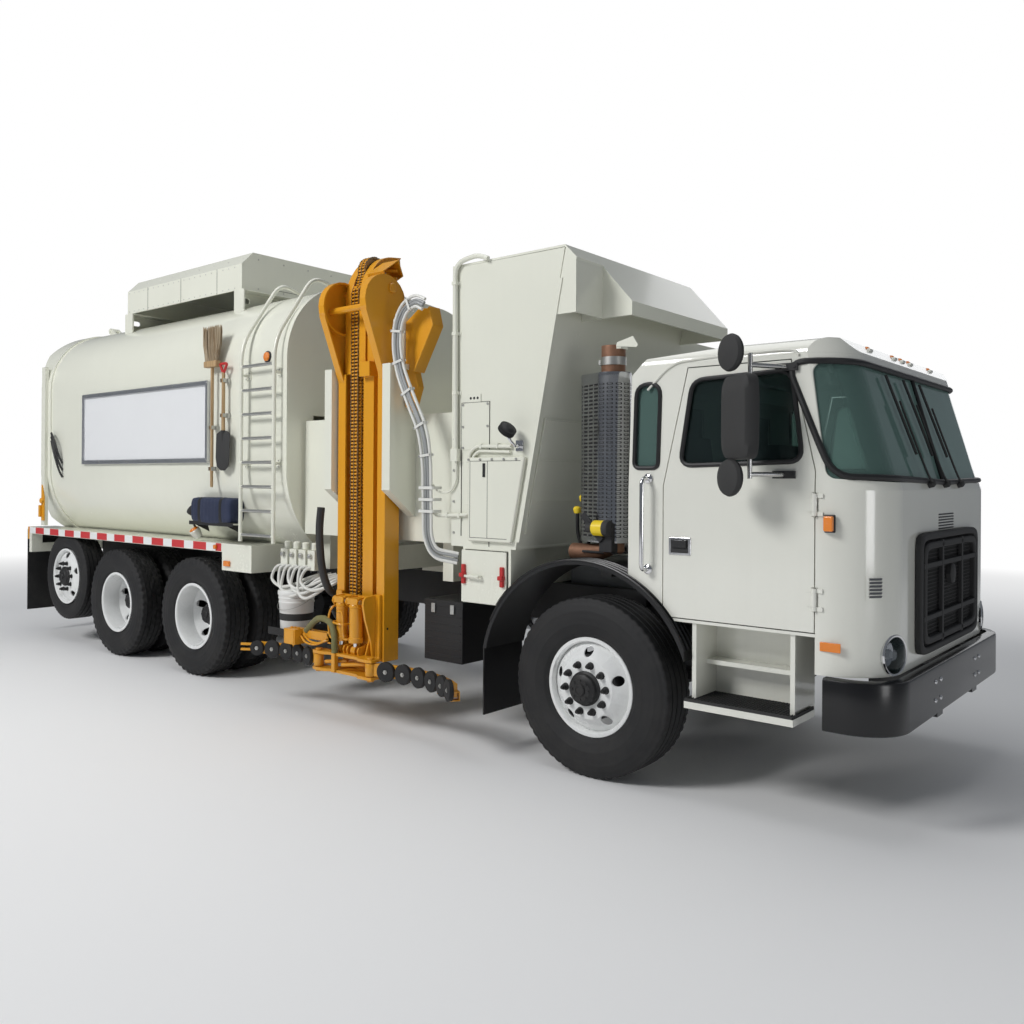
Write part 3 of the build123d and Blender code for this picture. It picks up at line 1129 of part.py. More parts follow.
def rear_deck():
    """Wheel decks each side, their lips and front boxes, and the outriggers from the frame."""
    keep_out = drum_form(DRUM_REAR_X, DRUM_FRONT_X + 400, RING_H + SEAT)
    keep_out = keep_out + drum_form(DRUM_REAR_X - 600, DRUM_REAR_X + 1, RING_H + 9)
    deck = None
    for side in (-1, 1):
        top = block(DECK_REAR_X, DECK_FRONT_X, side * DECK_IN_Y, side * DECK_OUT_Y,
                    DECK_TOP_Z - DECK_T, DECK_TOP_Z)
        lip = block(DECK_REAR_X, DECK_FRONT_X, side * (DECK_OUT_Y - 12), side * DECK_OUT_Y,
                    DECK_TOP_Z - DECK_LIP, DECK_TOP_Z)
        front_box = block(DECK_FRONT_X - 1, DECK_BOX_X, side * DECK_IN_Y, side * DECK_OUT_Y,
                          DECK_BOX_Z, DECK_TOP_Z)
        hollow = block(DECK_FRONT_X + 15, DECK_BOX_X - 15, side * (DECK_IN_Y - 1),
                       side * (DECK_OUT_Y - 15), DECK_BOX_Z - 1, DECK_TOP_Z - DECK_T)
        sill = block(DRUM_REAR_X, DRUM_FRONT_X, side * (RAIL_OUT_Y - RAIL_FLANGE),
                     side * RAIL_OUT_Y, RAIL_TOP_Z + SEAT, RAIL_TOP_Z + 40)
        stub = block(DECK_REAR_X + 40, RAIL_REAR_X - 20 - SEAT, side * (RAIL_OUT_Y - RAIL_FLANGE),
                     side * RAIL_OUT_Y, RAIL_TOP_Z - 110, RAIL_TOP_Z - 10)
        post = block(DECK_REAR_X + 40, DECK_REAR_X + 100, side * (DECK_OUT_Y - 120),
                     side * DECK_OUT_Y, RAIL_TOP_Z - 110, DECK_TOP_Z - DECK_T + 1)
        piece = top + lip + (front_box - hollow) + sill + stub + post
        # x of each outrigger
        for x in (-3600, -4967, -6248):
            foot = side * (RAIL_OUT_Y - RAIL_FLANGE)
            arm = cross_prism([(foot, RAIL_TOP_Z + SEAT), (side * (RAIL_OUT_Y + 20),
                               RAIL_TOP_Z + SEAT), (side * 1190, DECK_TOP_Z - DECK_T - 25),
                               (side * 1190, DECK_TOP_Z - DECK_T + 1),
                               (side * 700, DECK_TOP_Z - DECK_T + 1),
                               (foot, RAIL_TOP_Z + 60)], x - 30, x + 30)
            piece = piece + arm
        deck = piece if deck is None else deck + piece
    tail = block(DECK_REAR_X + 40, DECK_REAR_X + 100, -DECK_OUT_Y, DECK_OUT_Y,
                 RAIL_TOP_Z - 110, RAIL_TOP_Z - 10)
    return deck + tail - keep_out


def rear_flaps():
    """Mudflaps hung from the rear of the decks."""
    flaps = []
    for side in (-1, 1):
        flaps.append(block(FLAP_REAR_X, FLAP_REAR_X + FLAP_T - SEAT, side * 640,
                           side * DECK_OUT_Y, FLAP_Z0, DECK_TOP_Z - 30))
    return flaps


def sign_boards():
    """Blank boards in their frames, on the drum's sides."""
    boards = []
    for side in (-1, 1):
        y0 = side * (DRUM_HALF_Y + SEAT)
        y1 = side * (DRUM_HALF_Y + SIGN_T)
        board = block(SIGN_X0, SIGN_X1, y0, y1, SIGN_Z0, SIGN_Z1)
        dish = block(SIGN_X0 + SIGN_FRAME, SIGN_X1 - SIGN_FRAME, side * (DRUM_HALF_Y + 14),
                     side * (DRUM_HALF_Y + 60), SIGN_Z0 + SIGN_FRAME, SIGN_Z1 - SIGN_FRAME)
        boards.append(board - dish)
    return boards


def roof_box():
    """Sheet housing on the drum's roof, on two cross frames that follow the drum."""
    x0, x1 = ROOF_BOX_X0, ROOF_BOX_X1
    half = ROOF_BOX_HALF_Y
    corner = 120
    outline = [(-half, ROOF_BOX_Z0), (half, ROOF_BOX_Z0), (half, ROOF_BOX_Z1 - corner),
               (half - corner, ROOF_BOX_Z1), (-half + corner, ROOF_BOX_Z1),
               (-half, ROOF_BOX_Z1 - corner)]
    box = cross_prism(outline, x0, x1)
    hollow = block(x0 + ROOF_BOX_T, x1 - ROOF_BOX_T, -half + ROOF_BOX_T, half - ROOF_BOX_T,
                   ROOF_BOX_Z0 - 1, ROOF_BOX_Z1 - corner - 10)
    box = box - hollow
    keep_out = drum_form(DRUM_REAR_X, DRUM_FRONT_X, SEAT)
    for leg_x in (x0 - 40, x1 - 110):
        leg = block(leg_x, leg_x + 150, -half - 6, half + 6, 3180, ROOF_BOX_Z0 + 1)
        window = block(leg_x + 12, leg_x + 151, -half + 10, half - 10, 3000, ROOF_BOX_Z0 - 12)
        slot = Pos(leg_x + 6, 0, 0) * cross_slot(half - 90)
        box = box + (leg - window - slot)
    return box - keep_out


def cross_slot(y):
    """A pair of oval holes through the cross frame's web."""
    slots = None
    for side in (-1, 1):
        bar = block(-20, 20, side * (y - 45), side * (y + 45), 3395, 3445)
        bar = bar + bar_x(-20, 20, side * (y - 45), 3420, 25)
        bar = bar + bar_x(-20, 20, side * (y + 45), 3420, 25)
        slots = bar if slots is None else slots + bar
    return slots


def ladder():
    """Tube ladder up the drum's right side with handrails bent over the shoulder."""
    part = None
    y = -LADDER_OUT_Y
    for x in (LADDER_X0, LADDER_X1):
        points = [(x, y, LADDER_Z0), (x, y, LADDER_BEND_Z), (x, -880, 3480), (x, -620, 3405)]
        rail = tube_run(points, [160, 90], LADDER_TUBE_R)
        stub_low = bar_y(x, y, -DRUM_HALF_Y + 1, 1900, 12)
        stub_high = bar_y(x, y, -DRUM_HALF_Y + 1, 2640, 12)
        rail = rail + stub_low + stub_high
        part = rail if part is None else part + rail
    for k in range(RUNGS):
        z = LADDER_Z0 + 60 + k * 200
        part = part + bar_x(LADDER_X0, LADDER_X1, y, z, RUNG_R)
    keep_out = drum_form(DRUM_REAR_X, DRUM_FRONT_X, SEAT)
    return part - keep_out


def yard_tools():
    """Broom and shovel standing in their clips."""
    x_broom, x_shovel = -3900.0, -3730.0
    y = -DRUM_HALF_Y - 55
    handle = bar_z(x_broom, y, 1700, 2760, 14)
    head = cross_prism([(y - 28, 2740), (y + 28, 2740), (y + 45, 3080), (y - 30, 3080)],
                       x_broom - 70, x_broom + 70)
    clip = block(x_broom - 30, x_broom + 30, y, -DRUM_HALF_Y - SEAT, 2200, 2240)
    broom = handle + head + clip
    shaft = bar_z(x_shovel, y, 2150, 2700, 15)
    grip = bar_x(x_shovel - 50, x_shovel + 50, y, 2770, 13)
    for side in (-1, 1):
        grip = grip + side_prism([(x_shovel + side * 50, 2770), (x_shovel + side * 38, 2770),
                                  (x_shovel, 2690), (x_shovel + side * 12, 2690)], y - 9, y + 9)
    blade = block(x_shovel - 85, x_shovel + 85, y - 12, y + 4, 1850, 2180)
    clip = block(x_shovel - 30, x_shovel + 30, y, -DRUM_HALF_Y - SEAT, 2300, 2340)
    return [broom, shaft + grip + blade + clip]


def tool_bag():
    """Soft bag strapped against the drum's belly."""
    bag = block(-4200, -3560, -1300, -1050, 1380, 1610)
    bag = fillet(bag.edges().filter_by(Axis.Z), 40)
    return bag - drum_form(DRUM_REAR_X, DRUM_FRONT_X, 1.0)


# ---------------------------------------------------------------- exhaust, tanks, lamps
def exhaust():
    """Upright stack in its round heat shield behind the cab, with a flap cap."""
    x, y = 35.0, -1000.0
    base = ARCH_Z + ARCH_R + 30
    shield = bar_z(x, y, base + 80, 2430, 112) - bar_z(x, y, base + 70, 2440, 106)
    pipe = bar_z(x, y, base, 2600, 74)
    collar = bar_z(x, y, base + 80, base + 92, 111) + bar_z(x, y, 2418, 2430, 111)
    cap = Pos(x - 10, y, 2616) * Rot(0, -14, 0) * bar(8, 82)
    stay = bar_z(x - 70, y, 2560, 2612, 8)
    guard = block(x - 185, x - 120, y - 60, y + 20, base + 60, 2400)
    link = block(x - 125, x - 100, y - 40, y - 10, 1600, 1640)
    link = link + block(x - 125, x - 100, y - 40, y - 10, 2260, 2300)
    bracket = block(x - 40, x + 60, y + 60, -700, base + 5, base + 45)
    foot = block(x - 40, x + 60, -700, -380, base + 5, base + 45)
    leg = block(x - 40, x + 60, -RAIL_OUT_Y, -380, RAIL_TOP_Z + SEAT, base + 45)
    return shield + pipe + collar + cap + stay + guard + link + bracket + foot + leg


def tanks():
    """Fuel tank, battery box and the pail's shelf, each hung on the frame rails."""
    y = 790.0
    fuel = bar_x(-3050, -1500, y, 720, 285)
    hang = None
    for x in (-2800, -1800):
        strap = bar_x(x - 30, x + 30, y, 720, 293)
        arm = block(x - 30, x + 30, RAIL_OUT_Y + SEAT, y - 200, RAIL_BOTTOM_Z + 20,
                    RAIL_TOP_Z - 40)
        hang = strap + arm if hang is None else hang + strap + arm
    battery = block(-1480, -1120, -1080, -RAIL_OUT_Y - SEAT, 500, 930)
    shelf = block(-3090, -2750, -1245, -RAIL_OUT_Y - SEAT, 515, 535)
    shelf = shelf + block(-2940, -2900, -RAIL_OUT_Y - 60, -RAIL_OUT_Y - SEAT, 530, 900)
    return [fuel + hang, battery, shelf]


def pail():
    """White lidded pail on its shelf."""
    x, y, z = -2920.0, -1090.0, 535.0 + SEAT
    body = loft([Pos(x, y, z) * RegularPolygon(128, BIG_BAR_SIDES),
                 Pos(x, y, z + 320) * RegularPolygon(146, BIG_BAR_SIDES)], ruled=True)
    lid = bar_z(x, y, z + 318, z + 342, 152)
    return body + lid


def lamps():
    """Head, marker, turn and tail lamps as plain closed solids on their panels."""
    pieces = []
    for side in (-1, 1):
        lens = bar_x(CAB_FRONT_X - 90, CAB_FRONT_X - 25, side * HEADLAMP_Y, HEADLAMP_Z,
                     HEADLAMP_R - SEAT)
        pieces.append(lens)
        pieces.append(block(1386, 1440, side * (CAB_HALF_Y + SEAT - 2), side * 1215, 1530, 1610)
                      - cab_plan_post())
        pieces.append(block(-3900, -3860, side * (DECK_OUT_Y + SEAT), side * (DECK_OUT_Y + 22),
                            DECK_TOP_Z - 60, DECK_TOP_Z - 15))
        for y in (760, 1000):
            pieces.append(bar_x(TAIL_END_X, DECK_REAR_X - FLAP_T - SEAT,
                                side * y, DECK_TOP_Z - 95, 48))
    for y in (-560, -150, 0, 150, 560):
        pieces.append(block(1330, 1380, y - 26, y + 26, CAB_ROOF_Z + SEAT, CAB_ROOF_Z + 30))
    return pieces


def cab_plan_post():
    """The cab's outer plan with a seat gap, for trimming what stands on its side."""
    grown = Pos(0, 0, 1400) * extrude(cab_plan(-SEAT), amount=400)
    return grown


# ---------------------------------------------------------------- lift arm
def mast_rail(x_web, face_dir):
    """One channel rail: web plate with the round head, front flange and rear flange."""
    front, rear = -MAST_OUT_Y, -MAST_IN_Y
    web_x1 = x_web + face_dir * RAIL_WEB_T
    head_y = front
    web = cross_prism([(front, MAST_Z0), (rear, MAST_Z0), (rear, 2700), (front + 160, 2900),
                       (front + 160, 3120), (front - 160, 3120), (front - 190, 2980),
                       (front, 2500)], x_web, web_x1)
    disc = bar_x(x_web, web_x1, head_y, MAST_HEAD_Z, MAST_HEAD_R)
    front_flange = block(x_web, x_web + face_dir * RAIL_FACE_W, front, front + 14, MAST_Z0, 2560)
    rear_flange = block(x_web, x_web + face_dir * RAIL_FACE_W, rear - 14, rear, MAST_Z0, 2700)
    rim = bar_x(x_web, x_web + face_dir * 60, head_y, MAST_HEAD_Z, MAST_HEAD_R)
    rim = rim - bar_x(x_web - 100, x_web + 100, head_y, MAST_HEAD_Z, MAST_HEAD_R - 14)
    lead = cross_prism([(front, 2500), (front + 14, 2500), (front - 178, 2976),
                        (front - 191, 2976)], x_web, x_web + face_dir * 60)
    return web + disc + front_flange + rear_flange + rim + lead


def mast():
    """Two rails, the back plate with its middle rib, the head's cross tubes and reach beam."""
    front, rear = -MAST_OUT_Y, -MAST_IN_Y
    part = mast_rail(MAST_X0, 1) + mast_rail(MAST_X1, -1)
    plate = block(MAST_X0 + 5, MAST_X1 - 5, rear - 12, rear, MAST_Z0, 2700)
    rib = block(MAST_X0 + 235, MAST_X0 + 345, front + 40, rear - 5, MAST_Z0 + 20, 2900)
    foot = block(MAST_X0 + 5, MAST_X1 - 5, front + 16, rear, MAST_Z0, MAST_Z0 + 24)
    part = part + plate + rib + foot
    for y, z, r in ((front - 90, MAST_HEAD_Z - 30, 26), (front + 60, MAST_HEAD_Z + 110, 30)):
        part = part + bar_x(MAST_X0 + 5, MAST_X1 - 5, y, z, r)
    crown = block(MAST_X0 + 120, MAST_X1 - 120, front + 40, front + 170, MAST_HEAD_Z + 90,
                  MAST_HEAD_Z + 170)
    part = part + crown
    beam = block(MAST_X - REACH_W / 2, MAST_X + REACH_W / 2, rear - 5, REACH_LEN_IN_Y,
                 REACH_Z - REACH_H / 2, REACH_Z + REACH_H / 2)
    beam = beam - block(MAST_X - REACH_W / 2 + 14, MAST_X + REACH_W / 2 - 14, rear + 20,
                        REACH_LEN_IN_Y + 1, REACH_Z - REACH_H / 2 + 14,
                        REACH_Z + REACH_H / 2 - 14)
    part = part + beam
    part = part - chain_loop(6.0)
    for z in (CHAIN_Z0, CHAIN_Z1):
        wheel = rod_x(CHAIN_X - CHAIN_W / 2 + 4, CHAIN_X + CHAIN_W / 2 - 4, CHAIN_Y, z,
                      CHAIN_R - CHAIN_T - SEAT)
        shaft = bar_x(MAST_X0 + 5, MAST_X0 + 240, CHAIN_Y, z, 16)
        part = part + wheel + shaft
    return part


def chain_loop(grow):
    """The lift chain as one flat loop round its top and bottom sprockets."""
    y = CHAIN_Y
    outer = CHAIN_R + grow
    inner = CHAIN_R - CHAIN_T - grow
    x0, x1 = CHAIN_X - CHAIN_W / 2 - grow, CHAIN_X + CHAIN_W / 2 + grow
    loop = block(x0, x1, y - outer, y + outer, CHAIN_Z0, CHAIN_Z1)
    loop = loop + rod_x(x0, x1, y, CHAIN_Z0, outer) + rod_x(x0, x1, y, CHAIN_Z1, outer)
    hole = block(x0 - 1, x1 + 1, y - inner, y + inner, CHAIN_Z0, CHAIN_Z1)
    hole = hole + rod_x(x0 - 1, x1 + 1, y, CHAIN_Z0, inner)
    hole = hole + rod_x(x0 - 1, x1 + 1, y, CHAIN_Z1, inner)
    return loop - hole


def arm_base():
    """The square guide tube across the frame that the reach beam slides in."""
    half_w = REACH_W / 2 + SEAT + REACH_WALL
    half_h = REACH_H / 2 + SEAT + REACH_WALL
    tube = block(MAST_X - half_w, MAST_X + half_w, -1000, 960, REACH_Z - half_h,
                 REACH_Z + half_h)
    bore = block(MAST_X - half_w + REACH_WALL, MAST_X + half_w - REACH_WALL, -1001, 961,
                 REACH_Z - half_h + REACH_WALL, REACH_Z + half_h - REACH_WALL)
    part = tube - bore
    for side in (-1, 1):
        seat = block(MAST_X - half_w - 40, MAST_X + half_w + 40,
                     side * (RAIL_OUT_Y - RAIL_FLANGE), side * RAIL_OUT_Y, RAIL_TOP_Z + SEAT,
                     REACH_Z - half_h + 1)
        part = part + seat
    return part


def carriage():
    """The plate and cheeks that ride the mast, with two short cylinders and pivot bosses."""
    back = -MAST_OUT_Y - 6
    out = -CARRIAGE_OUT_Y
    plate = block(MAST_X0 + 20, MAST_X1 - 20, back - 24, back, CARRIAGE_Z0 + 90, CARRIAGE_Z1)
    part = plate
    for x in (MAST_X0 + 30, MAST_X1 - 50):
        part = part + side_prism([(x, CARRIAGE_Z0 + 90), (x + 20, CARRIAGE_Z0 + 90),
                                  (x + 20, CARRIAGE_Z1), (x, CARRIAGE_Z1)], out - 40, back - 10)
    for x in (MAST_X - 90, MAST_X + 60):
        part = part + bar_z(x, out - 10, 600, 880, 46)
        part = part + bar_z(x, out - 10, 540, 601, 20)
        part = part + block(x - 30, x + 30, out - 40, back - 10, 875, 915)
        part = part + block(x - 30, x + 30, out - 40, back - 10, 500, 545)
    for x in (MAST_X0 + 20, MAST_X1 - 80):
        for z in (CARRIAGE_Z0 + 110, CARRIAGE_Z1 - 90):
            part = part + block(x, x + 60, back - 1, -MAST_OUT_Y - SEAT, z, z + 70)
    half = GRIP_PIVOT_GAP / 2
    for z in (GRIP_Z + GRIP_ARM_H / 2 + 6, GRIP_Z - GRIP_ARM_H / 2 - 26):
        shelf = block(MAST_X - half - 45, MAST_X + half + 45, -GRIP_PIVOT_Y - 40,
                      -POST_OUT_Y - 32, z, z + 20)
        part = part + shelf + block(MAST_X - 165, MAST_X + 165, -GRIP_PIVOT_Y, back, z, z + 20)
    part = part + block(MAST_X - 150, MAST_X + 150, back - 24, back, GRIP_Z - 70,
                        CARRIAGE_Z0 + 92)
    for side in (-1, 1):
        pin = rod_z(MAST_X + side * half, -GRIP_PIVOT_Y, GRIP_Z - 80, GRIP_Z + 80, GRIP_PIN_R)
        part = part + pin
    return part


def gripper_arm(side, length, pads):
    """A gripper arm about its own pivot: side +1 reaches forward, -1 rearward."""
    half_t = GRIP_ARM_T / 2
    y = -GRIP_PIVOT_Y
    bend = length - 330
    curve = [(0, -half_t), (bend, -half_t), (bend + 190, -half_t - 0.35 * GRIP_CURVE),
             (length, -half_t - GRIP_CURVE), (length - 14, half_t - GRIP_CURVE),
             (bend + 180, half_t - 0.35 * GRIP_CURVE), (bend, half_t), (0, half_t)]
    outline = [(side * x, y + dy) for x, dy in curve]
    arm = plan_prism(outline, GRIP_Z - GRIP_ARM_H / 2, GRIP_Z + GRIP_ARM_H / 2)
    boss = bar_z(0, y, GRIP_Z - GRIP_ARM_H / 2, GRIP_Z + GRIP_ARM_H / 2, 36)
    arm = arm + boss
    pad_y = y - half_t - PAD_T / 2
    first = 190
    step = (bend - first - 20) / (pads - 2)
    for k in range(pads - 1):
        x = side * (first + k * step)
        arm = arm + Pos(x, pad_y + 1, GRIP_Z) * Rot(90, 0, 0) * bar(PAD_T, PAD_R)
    bore = rod_z(0, y, GRIP_Z - 100, GRIP_Z + 100, GRIP_PIN_R + PIN_FIT)
    arm = arm - bore
    return Pos(MAST_X + side * GRIP_PIVOT_GAP / 2, 0, 0) * arm


# ---------------------------------------------------------------- write everything
write_wheels()
stow("knuckle_left", knuckle())
stow("knuckle_right", right_of(knuckle()))
stow("front_axle", front_axle())
stow("rear_axles", drive_axle(DRIVE_A_X), drive_axle(DRIVE_B_X), tag_axle())
stow("frame_rails", *frame_rails())
stow("engine", engine())
stow("bumper", bumper())
write_cab()
stow("cab_interior", *cab_interior())
stow("front_fenders", *front_fenders())
stow("step_wells", *step_wells())
stow("grille", grille())
stow("mirror_left", mirror_set())
stow("mirror_right", right_of(mirror_set()))
stow("hopper_shell", hopper_shell())
stow("hopper_door", hopper_door())
stow("hopper_hood", hopper_hood())
stow("packer_blade", packer_blade())
stow("drum_shell", drum_shell())
stow("tailgate", tailgate())
stow("rear_deck", rear_deck())
stow("rear_flaps", *rear_flaps())
stow("sign_boards", *sign_boards())
stow("roof_box", roof_box())
stow("ladder", ladder())
stow("yard_tools", *yard_tools())
stow("tool_bag", tool_bag())
stow("exhaust", exhaust())
stow("tanks", *tanks())
stow("pail", pail())
stow("lamps", *lamps())
stow("mast", mast())
stow("lift_chain", chain_loop(0.0))
stow("arm_base", arm_base())
stow("carriage", carriage())
stow("gripper_front", gripper_arm(1, GRIP_FRONT_LEN, 6))
stow("gripper_rear", gripper_arm(-1, GRIP_REAR_LEN, 5))
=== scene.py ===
"""Looks of a side loader garbage truck: finishes, fittings, hoses, lamps and the stage.

Lengths are in metres. Places are written in the truck's own axle frame (x forward, y to the
left, z up, zero on the ground under the front axle's middle) and moved by SHIFT at the end.
"""
from __future__ import annotations

import json
import logging
import math
from dataclasses import dataclass, field
from enum import Enum
from typing import Iterable, Sequence

import bmesh
import bpy
import numpy as np
from mathutils import Matrix

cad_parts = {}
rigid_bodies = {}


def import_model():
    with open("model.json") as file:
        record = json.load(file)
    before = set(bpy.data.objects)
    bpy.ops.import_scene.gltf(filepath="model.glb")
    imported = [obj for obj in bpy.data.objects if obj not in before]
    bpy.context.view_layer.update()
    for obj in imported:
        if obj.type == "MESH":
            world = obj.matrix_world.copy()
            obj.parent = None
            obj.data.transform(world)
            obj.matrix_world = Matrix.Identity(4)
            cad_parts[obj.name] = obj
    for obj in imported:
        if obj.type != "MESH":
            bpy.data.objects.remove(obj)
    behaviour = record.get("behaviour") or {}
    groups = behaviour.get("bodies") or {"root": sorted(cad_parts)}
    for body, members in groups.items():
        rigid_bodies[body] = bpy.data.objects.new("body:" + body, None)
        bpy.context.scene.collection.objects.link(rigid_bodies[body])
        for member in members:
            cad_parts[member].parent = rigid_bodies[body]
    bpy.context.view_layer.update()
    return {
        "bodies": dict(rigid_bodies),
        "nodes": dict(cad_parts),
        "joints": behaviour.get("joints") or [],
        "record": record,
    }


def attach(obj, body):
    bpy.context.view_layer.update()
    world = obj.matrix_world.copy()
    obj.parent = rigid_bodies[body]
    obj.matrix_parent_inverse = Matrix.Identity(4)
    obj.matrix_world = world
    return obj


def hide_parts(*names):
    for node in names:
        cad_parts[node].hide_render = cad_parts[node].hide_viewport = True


LOG = logging.getLogger("truck")
SHIFT = np.array([2.9635, 0.034, 0.0])
SIDES = {"left": 1, "right": -1}
Array = np.ndarray
Spot = Sequence[float]
Colour = tuple[float, float, float]


# ------------------------------------------------------------------ shader sums
class Socket:
    """A shader socket that takes part in Python sums; each operator adds its Math node."""

    def __init__(self, shop: "Shop", out: bpy.types.NodeSocket) -> None:
        """Keeps the socket and the shop that adds nodes to its tree."""
        self.shop, self.out = shop, out

    def maths(self, operation: str, *terms: object, clamp: bool = False) -> "Socket":
        """One Math node.

        Args:
            operation: the node's operation.
            terms: its operands, sockets or numbers.
            clamp: whether the result is kept within 0 and 1.
        Returns:
            The node's result.
        """
        settings = {"operation": operation, "use_clamp": clamp}
        return self.shop.node("ShaderNodeMath", settings, dict(enumerate(terms)))

    def __add__(self, other: object) -> "Socket":
        """Sum."""
        return self.maths("ADD", self, other)

    def __sub__(self, other: object) -> "Socket":
        """Difference."""
        return self.maths("SUBTRACT", self, other)

    def __rsub__(self, other: object) -> "Socket":
        """Difference from a number."""
        return self.maths("SUBTRACT", other, self)

    def __mul__(self, other: object) -> "Socket":
        """Product."""
        return self.maths("MULTIPLY", self, other)

    def __truediv__(self, other: object) -> "Socket":
        """Quotient."""
        return self.maths("DIVIDE", self, other)

    def __gt__(self, other: object) -> "Socket":
        """1 where this is the greater."""
        return self.maths("GREATER_THAN", self, other)

    __radd__ = __add__
    __rmul__ = __mul__

    def steps(self, low: float, high: float) -> "Socket":
        """Ramp from 0 at low to 1 at high, kept within them; low may be the larger."""
        return self.maths("MULTIPLY", self - low, 1.0 / (high - low), clamp=True)

    def wave(self, period: float) -> "Socket":
        """Sine of the value over a period, from -1 to 1."""
        return self.maths("SINE", self * (2 * math.pi / period))

    def fract(self) -> "Socket":
        """Part after the decimal point."""
        return self.maths("FRACT", self)

    def power(self, exponent: float) -> "Socket":
        """Value raised to an exponent."""
        return self.maths("POWER", self, exponent)


class Shop:
    """Builds one material's node tree."""

    def __init__(self, name: str) -> None:
        """Makes an empty node material with its surface shader and its object coordinates.

        Args:
            name: the material's name.
        """
        self.material = bpy.data.materials.new(name)
        self.material.use_nodes = True
        self.tree = self.material.node_tree
        self.tree.nodes.clear()
        self.output = self.tree.nodes.new("ShaderNodeOutputMaterial")
        self.surface = self.tree.nodes.new("ShaderNodeBsdfPrincipled")
        self.tree.links.new(self.surface.outputs[0], self.output.inputs["Surface"])
        self.place = self.node("ShaderNodeTexCoord", {}, {}, "Object")
        self.x, self.y, self.z = (self.node("ShaderNodeSeparateXYZ", {}, {0: self.place}, k)
                                  for k in range(3))

    def node(self, kind: str, settings: dict, inputs: dict, output: int | str = 0) -> Socket:
        """Adds a node.

        Args:
            kind: the node's type.
            settings: its properties, set first; "stops" gives a ramp's (place, colour) pairs.
            inputs: socket name or number to a number, tuple or Socket.
            output: which output is wanted.
        Returns:
            That output.
        """
        made = self.tree.nodes.new(kind)
        for key, value in settings.items():
            if key == "stops":
                ramp = made.color_ramp
                while len(ramp.elements) < len(value):
                    ramp.elements.new(0.5)
                for element, (spot, colour) in zip(ramp.elements, value):
                    element.position, element.color = spot, (*colour, 1.0)
            else:
                setattr(made, key, value)
        for key, value in inputs.items():
            if isinstance(value, Socket):
                self.tree.links.new(value.out, made.inputs[key])
            else:
                made.inputs[key].default_value = value
        return Socket(self, made.outputs[output])

    def noise(self, scale: float, detail: float = 3.0, stretch: Spot = (1, 1, 1),
              rough: float = 0.55) -> Socket:
        """Cloud noise from 0 to 1 on object coordinates.

        Args:
            scale: features in a metre, about.
            detail: octaves.
            stretch: factor on each axis, smaller for longer features.
            rough: how strong the finer octaves are.
        Returns:
            The noise value.
        """
        spot = self.node("ShaderNodeMapping", {}, {"Vector": self.place, "Scale": tuple(stretch)})
        return self.node("ShaderNodeTexNoise", {}, {"Vector": spot, "Scale": scale,
                                                    "Detail": detail, "Roughness": rough})

    def mix(self, share: object, first: object, second: object) -> Socket:
        """Mixes two colours.

        Args:
            share: how much of the second, from 0 to 1.
            first: a colour or Socket.
            second: a colour or Socket.
        Returns:
            The mixed colour.
        """
        paint = [c if isinstance(c, Socket) else (*c, 1.0) for c in (first, second)]
        return self.node("ShaderNodeMix", {"data_type": "RGBA"},
                         {0: share, 6: paint[0], 7: paint[1]}, 2)

    def bump(self, height: Socket, depth: float, strength: float = 1.0) -> Socket:
        """Normal bent by a height map whose full step is depth metres."""
        return self.node("ShaderNodeBump", {}, {"Height": height, "Distance": depth,
                                                "Strength": strength})

    def dress(self, **values: object) -> bpy.types.Material:
        """Sets the surface shader's inputs, named with underscores for spaces.

        Args:
            values: socket name to a number, colour or Socket.
        Returns:
            The material.
        """
        for key, value in values.items():
            target = self.surface.inputs[key.replace("_", " ")]
            if isinstance(value, Socket):
                self.tree.links.new(value.out, target)
            else:
                target.default_value = (*value, 1.0) if isinstance(value, tuple) else value
        return self.material


# ------------------------------------------------------------------ finishes
@dataclass(frozen=True)
class Enamel:
    """Sprayed paint with orange peel, faint clouding, road film low down and fine streaks."""

    name: str
    colour: Colour
    gloss: float = 0.24
    grime: float = 0.35
    film: Colour = (0.36, 0.33, 0.28)
    coat: float = 0.5
    wear: float = 0.0
    under: Colour = (0.18, 0.17, 0.16)

    def make(self) -> bpy.types.Material:
        """Builds the finish.

        Returns:
            The finished material.
        """
        shop = Shop(self.name)
        cloud = shop.noise(1.3, 4)
        fine = shop.noise(38, 3)
        streak = shop.noise(9, 4, (1, 1, 0.06), 0.7)
        dark = tuple(c * 0.9 for c in self.colour)
        paint = shop.mix(cloud.steps(0.35, 0.75) * 0.35, self.colour, dark)
        low = shop.z.steps(1.5, 0.35)
        dirt = ((low * 0.75 + 0.1) * (streak.steps(0.42, 0.8) * 0.7 + fine.steps(0.5, 0.75) * 0.3)
                ) * self.grime
        paint = shop.mix(dirt, paint, self.film)
        rough = cloud * 0.08 + dirt * 0.5 + (self.gloss - 0.03)
        if self.wear:
            chips = (shop.noise(26, 6, (1, 1, 1), 0.75) + cloud * 0.3).steps(0.87, 0.9) * self.wear
            paint = shop.mix(chips, paint, self.under)
            rough = rough + chips * 0.4
        peel = shop.bump(shop.noise(240, 2) + fine * 0.2, 0.0003, 0.25)
        return shop.dress(Base_Color=paint, Roughness=rough, Normal=peel, Coat_Weight=self.coat,
                          Coat_Roughness=0.08)


